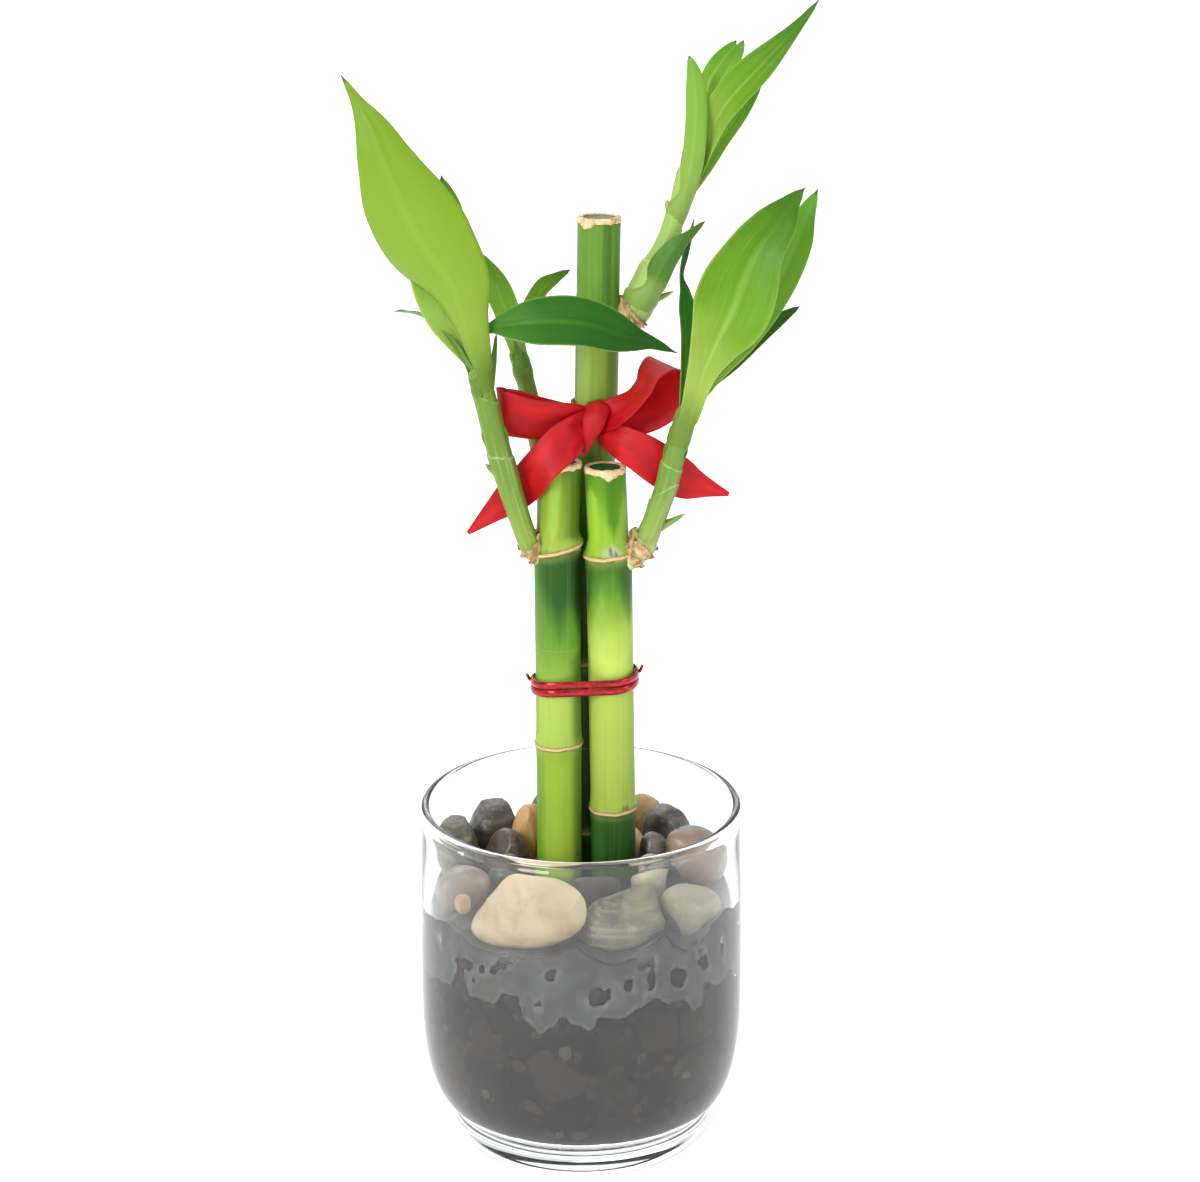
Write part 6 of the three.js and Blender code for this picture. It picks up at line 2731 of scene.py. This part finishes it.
    def _thickness(self, row: int, column: int) -> float:
        """Thickness of the leaf: firm at the base and the middle, thin at the rim and the tip.

        Args:
            row: Row, counted from the foot of the sheath.
            column: Column, counted from one edge.

        Returns:
            The thickness.
        """
        share = (row - self.sheath_rows) / self.rows
        u = abs(2 * column / self.columns - 1)
        full = mix(0.6, 0.32, smooth(0.0, 0.6, share))
        if share < 0:
            full = mix(0.25, 0.6, row / self.sheath_rows)
        return full * mix(1.0, 0.4, smooth(0.75, 1.0, u)) * mix(1.0, 0.5, smooth(0.9, 1.0, share))


LEAVES = (
    Leaf(
        "leaf_left_1",
        ((-24.7, -16.2, 212.9, 2.9), (-27.7, -17.4, 224.3, 5.2), (-30.6, -18.2, 233.4, 8.7),
         (-36.9, -18.6, 242.6, 11.5), (-42, -18, 252.2, 10.6), (-45.8, -17, 261.6, 7.3),
         (-49, -15.5, 269.8, 4.4), (-52.8, -13.5, 276.6, 1.5), (-56.3, -12, 282.2, 0.4)),
        ((0.35, 0.9, 0.2), (-0.25, 0.95, 0.2)), (0.8, 0.1), LeafTone.BRIGHT,
    ),
    Leaf(
        "leaf_left_2",
        ((-26.2, -13, 210.5, 2.6), (-31.8, -9, 217.7, 3.6), (-34.4, -5, 220.1, 4.2),
         (-37.9, -1, 221.6, 4), (-41.9, 3, 222, 2.8), (-46.6, 7, 221.5, 0.4)),
        ((0.3, 0.25, 0.9), (0.1, 0.3, 0.95)), (0.5, 0.1), LeafTone.SHADED,
    ),
    Leaf(
        "leaf_left_3",
        ((-26.4, -11.5, 213, 2), (-32.2, -9.3, 224, 5.6), (-34.3, -8, 234.6, 7.3),
         (-33.2, -7, 243.1, 6.1), (-32.6, -6, 250.4, 3.8), (-33.4, -5, 257.4, 0.4)),
        ((0.1, -0.95, 0.2), (0.2, -0.95, 0.1)), (0.6, 0.1), LeafTone.YOUNG,
    ),
    Leaf(
        "leaf_left_4",
        ((-25.6, -14, 217.5, 0.9), (-22.3, -14, 221.3, 1.1), (-16.6, -14.3, 222.5, 3.9),
         (-10.3, -15, 223.3, 6), (-3.2, -15.5, 223.6, 6.6), (2.6, -15.5, 222.8, 6.2),
         (8.6, -15, 220.7, 5.2), (13.5, -14.5, 219.1, 3.4), (17.9, -14, 217.9, 1.7),
         (23.8, -13, 215.3, 0.4)),
        ((0, -0.85, 0.5), (0.15, -0.8, 0.6)), (0.25, 0.1), LeafTone.DARK,
    ),
    Leaf(
        "leaf_left_5",
        ((-22.4, -11.5, 201, 1.6), (-21.6, -10.6, 207, 1.4), (-21, -10, 212.6, 1.2),
         (-20.4, -9.5, 219.3, 0.4)),
        ((-0.75, -0.6, 0), (-0.75, -0.6, 0)), (0.4, 0.1), LeafTone.YOUNG,
    ),
    Leaf(
        "leaf_back_1",
        ((-15.8, 5.6, 211.5, 2), (-17.6, 7, 218.3, 3), (-20.1, 8, 225.5, 3.4),
         (-23, 9, 231.1, 2.6), (-26, 10, 236.5, 0.4)),
        ((0.3, -0.9, 0.2), (0.1, -0.95, 0.2)), (0.7, 0.15), LeafTone.YOUNG,
    ),
    Leaf(
        "leaf_back_2",
        ((-15.4, 7.2, 214, 1.6), (-12.6, 9, 221.5, 2.2), (-9.3, 11, 226.7, 2.3),
         (-6.1, 12.5, 228.9, 1.5), (-2.6, 14, 230.7, 0.4)),
        ((-0.4, -0.85, 0.3), (-0.3, -0.8, 0.5)), (0.6, 0.15), LeafTone.MIDDLE,
    ),
    Leaf(
        "leaf_right_1",
        ((25.4, -8, 196, 1.6), (26, -5.6, 206, 2.2), (26.3, -3, 215.1, 3), (26.1, 1, 221.8, 3.4),
         (25.7, 4, 227, 2), (25.2, 6, 230.9, 0.8), (26, 8, 235.6, 1.3), (27, 10, 239, 1.1),
         (28.5, 12, 243.9, 0.4)),
        ((0.55, -0.8, 0), (0.8, -0.5, 0)), (0.5, 0.3), LeafTone.DARK,
    ),
    Leaf(
        "leaf_right_2",
        ((27.4, -13, 199.5, 2.5), (30, -12.8, 209.5, 3.6), (33.4, -12.2, 217.5, 6.4),
         (36.9, -12.8, 225, 9.4), (39.4, -13.3, 232.8, 9.3), (42.9, -12.9, 240.8, 6.9),
         (48, -11.5, 247.5, 4.9), (51.2, -10, 251.7, 2.3), (54.4, -8.5, 255, 0.4)),
        ((-0.35, -0.9, 0.15), (0.1, -0.95, 0.25)), (0.6, 0.1), LeafTone.MIDDLE,
    ),
    Leaf(
        "leaf_right_3",
        ((28.6, -8.6, 202, 1.6), (34.5, -5, 209.5, 2.6), (41, -3.4, 217, 3.6),
         (48.1, -2, 228.8, 4.6), (53, 0, 239.5, 4.3), (55.6, 1.5, 246.7, 2.5),
         (58.5, 3, 252.8, 0.4)),
        ((-0.3, -0.9, 0.3), (-0.1, -0.9, 0.4)), (0.4, 0.15), LeafTone.YOUNG,
    ),
    Leaf(
        "leaf_right_4",
        ((27.4, -7.2, 198.5, 1.4), (32, -3.2, 205, 1.9), (38.5, -0.8, 210.6, 2.3),
         (46, 1, 217.7, 2.3), (50.3, 2.4, 220.8, 1.6), (54.8, 4, 223.4, 0.4)),
        ((-0.3, -0.8, 0.5), (-0.2, -0.85, 0.5)), (0.4, 0.15), LeafTone.SHADED,
    ),
    Leaf(
        "leaf_top_1",
        ((26.2, 5.2, 252.6, 2.4), (27.7, 4.6, 260, 2.7), (28.4, 4.6, 269.4, 2.7),
         (28.3, 5, 276.7, 2.5), (27.6, 5.5, 281.4, 1.6), (26.6, 6, 284.8, 0.4)),
        ((0.2, 0.95, 0.1), (0.1, 0.95, 0.1)), (0.8, 0.3), LeafTone.YOUNG,
    ),
    Leaf(
        "leaf_top_2",
        ((29.2, 10.6, 255.4, 2), (31.6, 9, 263.2, 2.8), (34.2, 6.5, 270.5, 3.8),
         (38.2, 4, 276.5, 4.4), (43, 2.6, 281.8, 4.1), (47.9, 2.2, 287.1, 2.8),
         (53.2, 2.5, 292.9, 1.3), (57.6, 3, 298.3, 0.4)),
        ((-0.5, -0.85, 0.2), (-0.2, -0.9, 0.3)), (0.7, 0.15), LeafTone.MIDDLE,
    ),
    Leaf(
        "leaf_top_3",
        ((29.2, 12.5, 262, 1.2), (30.9, 15, 270.7, 1.6), (31.7, 17.2, 276.6, 2.2),
         (34, 18.5, 280.8, 2.4), (36.7, 19.5, 284.2, 1.8), (38.8, 20.2, 287, 0.4)),
        ((0, -0.95, 0.2), (-0.1, -0.9, 0.3)), (0.5, 0.2), LeafTone.YOUNG,
    ),
    Leaf(
        "leaf_top_4",
        ((30, 11.5, 266, 0.9), (31.8, 12.2, 271, 1.3), (34.3, 13.2, 277.2, 1.9),
         (37, 14.4, 281.4, 2.1), (39, 15.4, 284.6, 1.5), (40.4, 16.4, 287.4, 0.4)),
        ((-0.3, -0.9, 0.3), (-0.2, -0.9, 0.3)), (0.6, 0.3), LeafTone.YOUNG,
    ),
    Leaf(
        "leaf_top_5",
        ((28, 11.4, 251.5, 1.4), (31.7, 12.6, 257.4, 2), (35.4, 12.8, 264, 2.5),
         (38.9, 13, 269.4, 2.6), (41.6, 13.5, 273, 2), (45, 14, 277.5, 0.4)),
        ((-0.3, -0.9, 0.3), (-0.3, -0.85, 0.4)), (0.5, 0.15), LeafTone.YOUNG,
    ),
    Leaf(
        "leaf_top_6",
        ((18.4, 2.6, 229.5, 3), (20.6, 1.9, 234.3, 3.1), (23.8, 1.6, 238.6, 2.4),
         (27, 2.4, 241.4, 1.4), (30.9, 4, 244.7, 0.4)),
        ((0.2, 0.9, 0.1), (-0.2, 0.9, 0.3)), (0.6, 0.15), LeafTone.SHADED,
    ),
)


# ---- husks


@dataclass
class Husks:
    """Dry bracts that clasp the feet of the shoots.

    Each is (shoot, share of its path, middle turn, opening, height, spread), where the turn and
    the opening are radians and the spread is how far the upper edge stands off.
    """

    scales: tuple[tuple[int, float, float, float, float, float], ...] = (
        (0, 0.13, 2.7, 4.4, 5.2, 1.1),
        (0, 0.07, 1.5, 3.4, 3.2, 0.7),
        (0, 0.17, 4.9, 2.4, 2.6, 0.7),
        (1, 0.14, 0.5, 4.2, 6.0, 1.3),
        (1, 0.07, 1.4, 3.6, 3.6, 0.8),
        (1, 0.17, 4.5, 2.6, 2.6, 0.7),
        (2, 0.08, 0.7, 4.4, 4.4, 1.0),
        (2, 0.13, 1.4, 3.2, 3.0, 0.7),
        (2, 0.12, 4.4, 2.6, 2.4, 0.7),
        (3, 0.12, 4.0, 3.0, 2.6, 0.6),
        (3, 0.1, 1.0, 3.0, 2.4, 0.6),
    )
    columns: int = 34
    rows: int = 12

    def build(self) -> Object:
        """Makes all the bracts as one piece.

        Returns:
            The bracts.
        """
        skin = Skin()
        for number in range(len(self.scales)):
            self._scale(skin, number)
        return skin.build("dry_bracts", HuskFinish().material())

    def _scale(self, skin: Skin, number: int) -> None:
        """Adds one bract with a ragged upper edge that stands off the shoot.

        Args:
            skin: The mesh that it is added to.
            number: Its place in the list.
        """
        shoot, at, turn, opening, height, spread = self.scales[number]
        path = SHOOTS[shoot].path
        middle, along = place_at(path, at), heading(path, at)
        left, front = square_to(along)
        radius = curve_at(path, at)[3] + 0.22
        points, normals = [], []
        for row in range(self.rows + 1):
            v = row / self.rows
            line, ups = [], []
            for column in range(self.columns + 1):
                u = column / self.columns
                angle = turn + opening * (u - 0.5)
                torn = 0.62 + 0.5 * wave_noise(u * 7, number * 3.7) + 0.2 * wave_noise(u * 21, 5)
                tall = height * torn * math.sin(math.pi * min(1, max(0, 0.08 + 0.84 * u))) ** 0.4
                out = radius + spread * v**2 + 0.12 * wave_noise(u * 9, v * 3, number)
                way = left * math.cos(angle) + front * math.sin(angle)
                line.append(middle + way * out + along * (tall * v - 0.8))
                ups.append(way)
            points.append(line)
            normals.append(ups)
        skin.sheet(points, normals, lambda row, column: mix(0.2, 0.08, row / self.rows))


# ---- ribbon bow


@dataclass(frozen=True)
class Strip:
    """A run of ribbon; each point is x, y, z and half width, and across is the width's way.

    knots says whether its start and its end are gathered into the knot.
    """

    spine: Spine
    across: tuple[Place, ...]
    knots: tuple[bool, bool]
    rows: int = 96
    columns: int = 20


@dataclass
class RibbonBow:
    """Satin ribbon tied in a bow round the rear cane, as one sheet of cloth."""

    width: float = 12.0
    thickness: float = 0.35
    knot_z: float = 194.2
    band_half: float = 4.2
    strips: tuple[Strip, ...] = (
        Strip(
            ((3, 1, 194.3, 3.6), (-2.5, -3.4, 195.8, 4.8), (-7.9, -6, 196.8, 5.6),
             (-13.9, -7.6, 197.9, 6), (-18.5, -8.4, 199.1, 6.2), (-20.1, -7.2, 199.1, 6.2),
             (-16.9, -5.6, 198.4, 6), (-11.2, -4, 196.8, 5.6), (-4.5, -1.6, 195.3, 4.8),
             (3, 1.4, 194.1, 3.6)),
            ((0, 0, 1), (0.1, -0.3, 1), (0.2, -0.45, 1), (0.2, -0.5, 1), (0.18, -0.4, 1),
             (0.15, -0.2, 1), (0.2, 0, 1), (0.2, 0, 1), (0.1, 0, 1), (0, 0, 1)),
            (True, True),
        ),
        Strip(
            ((5, 0.6, 195.8, 3.6), (9, -2.4, 197.8, 4.4), (12.6, -4, 200.6, 5.2),
             (15.6, -4, 204.4, 5.8), (17.4, -3, 208, 5.9), (20, -1.4, 210, 5.9),
             (22.6, 0.4, 208.6, 5.9), (23.2, 1.6, 204.4, 5.9), (21, 2.4, 199.8, 5.8),
             (16.8, 2.4, 196.6, 5.2), (11.2, 1.8, 194.8, 4.4), (5.5, 0.8, 193.8, 3.6)),
            ((0, 0, 1), (-0.2, 0.7, 0.6), (-0.25, 0.95, 0.2), (-0.25, 0.95, 0.1),
             (-0.32, 0.92, 0.1), (-0.5, 0.85, 0.1), (-0.66, 0.72, 0.12), (-0.75, 0.62, 0.15),
             (-0.75, 0.55, 0.35), (-0.65, 0.4, 0.6), (-0.35, 0.2, 0.9), (0, 0, 1)),
            (True, True),
        ),
        Strip(
            ((3, 0.6, 194, 4.4), (-1.5, -6, 192.8, 5.0), (-5.7, -9.2, 190.1, 4.9),
             (-9.7, -10, 186, 4.8), (-12.5, -7.5, 181.9, 4.8), (-14.8, -5.2, 179, 4.8),
             (-18.2, -4, 175.6, 4.2), (-22.3, -4, 172.2, 2.7), (-28.4, -4, 166.8, 0.5)),
            ((0, 0, 1), (-0.3, 0, 1), (-0.75, 0.2, 0.65), (-0.75, 0.5, 0.5), (-0.7, 0.3, 0.7),
             (-0.4, 0, 0.92), (-0.36, 0, 0.93), (-0.36, 0, 0.93), (-0.4, 0, 0.9)),
            (True, False),
        ),
        Strip(
            ((5, 0.4, 191.8, 3.4), (10, -4.4, 190.6, 4.4), (15.2, -5.8, 188.3, 5),
             (19.5, -5.2, 185.2, 5.3), (23.1, -4.2, 182.6, 5.3), (27.2, -3.4, 180, 4.6),
             (32.3, -2.4, 178.2, 2.4), (37.6, -1.4, 176.3, 0.5)),
            ((0, 0, 1), (0.15, 0, 1), (0.3, 0, 1), (0.4, 0, 0.95), (0.4, 0, 0.95),
             (0.35, 0, 1), (0.3, 0, 1), (0.3, 0, 1)),
            (True, False),
        ),
    )

    def build(self) -> tuple[Object, float]:
        """Makes the bow.

        Returns:
            The bow and the length of ribbon in it, in millimetres.
        """
        skin = Skin()
        length = 0.0
        for number, strip in enumerate(self.strips):
            length += self._strip(skin, strip, number)
        length += self._band(skin)
        length += self._wrap(skin)
        return skin.build("satin_bow", SatinFinish().material()), length

    def _strip(self, skin: Skin, strip: Strip, number: int) -> float:
        """Adds a run of ribbon.

        Args:
            skin: The mesh that it is added to.
            strip: The run.
            number: Its place in the list, which its own pleats come from.

        Returns:
            Its length.
        """
        middles, points, normals = [], [], []
        for share, middle, along in walk(strip.spine, strip.rows):
            middles.append(middle)
            facing = Vector(curve_at(strip.across, share)).cross(along)
            across = along.cross(facing).normalized()
            normal = across.cross(along).normalized()
            half = max(0.2, curve_at(strip.spine, share)[3])
            start = 1 - smooth(0.0, 0.3, share) if strip.knots[0] else 0.0
            end = smooth(0.7, 1.0, share) if strip.knots[1] else 0.0
            gather = max(start, end)
            lifts = []
            for column in range(strip.columns + 1):
                u = 2 * column / strip.columns - 1
                pleat = 0.4 * gather * math.sin(4.2 * u + 1.7 * number)
                pleat += 0.12 * gather * math.sin(9 * u + number)
                curl = 0.35 * (1 - gather) * wave_noise(u * 0.9, share * 4, number * 5.0)
                lifts.append(pleat + curl)
            points.append(cross_row(middle, across, normal, half, lifts))
            normals.append([normal] * len(lifts))
        lengths = lengths_of(middles)
        skin.sheet(points, normals, lambda row, column: self.thickness, along=lengths)
        return lengths[-1]

    def _band(self, skin: Skin) -> float:
        """Adds the band round the cane.

        Args:
            skin: The mesh that it is added to.

        Returns:
            Its length.
        """
        cane = CANES[2]
        middle = cane.axis(self.knot_z)
        inner = cane.radius(self.knot_z) + 0.32
        sections = []
        for angle in angles(96):
            outline = []
            for z, out in ((-1.0, 0.0), (-1.0, 1.0), (-0.5, 1.0), (0.0, 1.0), (0.5, 1.0),
                           (1.0, 1.0), (1.0, 0.0)):
                fold = 0.16 * math.sin(7 * z + 3 * math.sin(angle)) if out else 0.0
                outline.append((inner + out * self.thickness + max(0.0, fold), z * self.band_half))
            sections.append([middle + spoke(r, angle, z) for r, z in outline])
        skin.loft(sections, closed=True)
        return 2 * math.pi * inner

    def _wrap(self, skin: Skin) -> float:
        """Adds the pleated turn over the knot and the fold below it.

        Args:
            skin: The mesh that it is added to.

        Returns:
            Its length.
        """
        path = (
            (4.2, 2.0, 199.6, 3.0), (4.0, -1.1, 199.2, 3.4), (3.8, -3.0, 197.2, 3.4),
            (3.3, -3.6, 194.4, 3.0), (2.6, -3.5, 191.8, 2.4), (1.8, -3.1, 189.4, 1.6),
            (1.0, -2.9, 186.6, 0.4),
        )
        rows, columns = 60, 22
        across = Vector((1, 0, 0.12)).normalized()
        middles, points, normals = [], [], []
        for share, middle, along in walk(path, rows):
            middles.append(middle)
            normal = along.cross(across).normalized()
            if normal.y > 0 or (share < 0.2 and normal.z < 0):
                normal.negate()
            lifts = []
            for column in range(columns + 1):
                u = 2 * column / columns - 1
                pleat = 0.12 * math.sin(5.5 * u + 0.9) * smooth(1.0, 0.7, share)
                crown = 1.1 * (1 - u**4) - 1.0
                lifts.append(pleat + crown)
            points.append(cross_row(middle, across, normal, curve_at(path, share)[3], lifts))
            normals.append([normal] * len(lifts))
        lengths = lengths_of(middles)
        skin.sheet(points, normals, lambda row, column: self.thickness + 0.1, along=lengths)
        return lengths[-1]


# ---- wire tie


@dataclass
class WireTie:
    """Foil-covered wire that runs twice round the three canes."""

    height: float = 126.2
    pitch: float = 2.1
    turns: int = 2
    slope: float = 0.04
    clear: float = 0.55
    thick: float = 0.9
    tall: float = 2.0
    start: float = 0.6 * math.pi
    per_turn: int = 120
    tips: Outline = ((1.2, 1.7), (1.7, 1.9))

    def _outline(self, angle: float) -> Vector:
        """Point of the outline round the canes in a direction.

        Args:
            angle: The direction, in radians from the right towards the back.

        Returns:
            The point.
        """
        way = spoke(1.0, angle)
        out = self.clear + self.thick / 2
        points = [
            cane.axis(self.height) + way * (cane.radius(self.height) + out) for cane in CANES
        ]
        return max(points, key=lambda p: p.dot(way))

    def _at(self, turn: float) -> Vector:
        """Point of the wire after a number of turns.

        Args:
            turn: Turns since the start.

        Returns:
            The point.
        """
        p = self._outline(self.start + 2 * math.pi * turn)
        p.z = self.height + self.pitch * (turn - 0.5) + self.slope * p.x
        return p

    def ends(self) -> Object:
        """Makes the short ends of the wire, which stand off the canes.

        Returns:
            The ends as one piece.
        """
        skin = Skin()
        sides, steps = 14, 12
        for turn, rise in self.tips:
            foot, angle = self._at(turn), self.start + 2 * math.pi * turn
            way = spoke(1.0, angle)
            path = (
                foot + Vector((0, 1.2, -0.4)),
                foot + way * 0.6 + Vector((0, 0.2, 0.3)),
                foot + way * 1.2 + Vector((0, -0.5, rise)),
            )
            rings = []
            for share, middle, along in walk(path, steps):
                side = along.cross(Vector((0, 1, 0))).normalized()
                ring = circle(mix(0.5, 0.4, share), 0, sides)
                rings.append([middle + side * p.x + along.cross(side) * p.y for p in ring])
            skin.loft(rings)
        return skin.build("tie_ends", WireFinish().material())

    def build(self) -> Object:
        """Sweeps the wire along its path with a Geometry Nodes tree.

        Returns:
            The tie.
        """
        count = self.turns * self.per_turn
        points = [self._at(step / self.per_turn) for step in range(count + 1)]
        edges = [(k, k + 1) for k in range(len(points) - 1)]
        guide = plain_object("tie_guide", points, edges, [])
        material = WireFinish().material()
        return object_of(self._sweep(guide, material), "foil_tie", material)

    def _sweep(self, guide: Object, material: Material) -> Mesh:
        """Runs an oval section, as thick and as tall as the tie, along the guide.

        Args:
            guide: The line along the middle of the tie.
            material: Its finish.

        Returns:
            The tie's mesh.
        """
        r = Recipe("swept_tie")
        thick, tall = r.number("Thick"), r.number("Tall")
        curve = r.node("GeometryNodeMeshToCurve", Mesh=r.given())
        level = r.node("GeometryNodeSetCurveNormal", {"mode": "Z_UP"}, Curve=curve.outputs[0])
        ring = r.node(
            "GeometryNodeCurvePrimitiveCircle", {"mode": "RADIUS"}, Resolution=20, Radius=1.0
        )
        size = r.node("ShaderNodeCombineXYZ", X=thick, Y=tall, Z=1.0)
        flat = r.node("GeometryNodeTransform", Geometry=ring.outputs[0], Scale=size.outputs[0])
        swept = r.node(
            "GeometryNodeCurveToMesh",
            Curve=level.outputs[0], Profile_Curve=flat.outputs[0], Fill_Caps=True,
        )
        values = {"Thick": self.thick / 2 * MM, "Tall": self.tall / 2 * MM}
        return r.serve(swept.outputs[0], material, guide, values)


# ---- assembly


def main() -> None:
    """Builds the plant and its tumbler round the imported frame."""
    logging.basicConfig(level=logging.INFO, format="%(message)s")
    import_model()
    Studio().build()

    tumbler = Tumbler()
    install(tumbler.build(), "glass", "glass_tumbler")
    binder = BinderLayer(tumbler)
    install(binder.build(), "binder", "binder_layer")
    core, stones = GravelBed(tumbler, binder).build()
    install(core, "gravel", "gravel_bed")
    install(stones, "gravel", "gravel_bed")
    for index, piece in enumerate(PebbleLayer().build()):
        kind = PEBBLES[index].kind
        kind = Stone.GREY_GREEN if kind is Stone.SCHIST else kind
        install(piece, f"stone_{kind.name.lower()}", f"pebble_{index + 1:02d}")

    for cane in CANES:
        install(cane.build(), "cane", cane.name)
        install(cane.seal(), "cut_wax", cane.name.replace("cane", "wax_seal"))
    install(RingFibres().build(), "cut_wax")
    for shoot in SHOOTS:
        install(shoot.build(), "shoot", shoot.name)
    install(Husks().build(), "cut_wax")
    for leaf in LEAVES:
        slot = "leaf_dark" if leaf.tone is LeafTone.DARK else "leaf"
        install(leaf.build(), slot, leaf.name)

    ribbon = RibbonBow()
    bow, length = ribbon.build()
    install(bow, "satin", "ribbon_bow")
    length * MM
    tie = WireTie()
    install(tie.build(), "red_wire", "wire_tie")
    install(tie.ends(), "red_wire", "wire_tie")


if __name__ == "__main__":
    main()
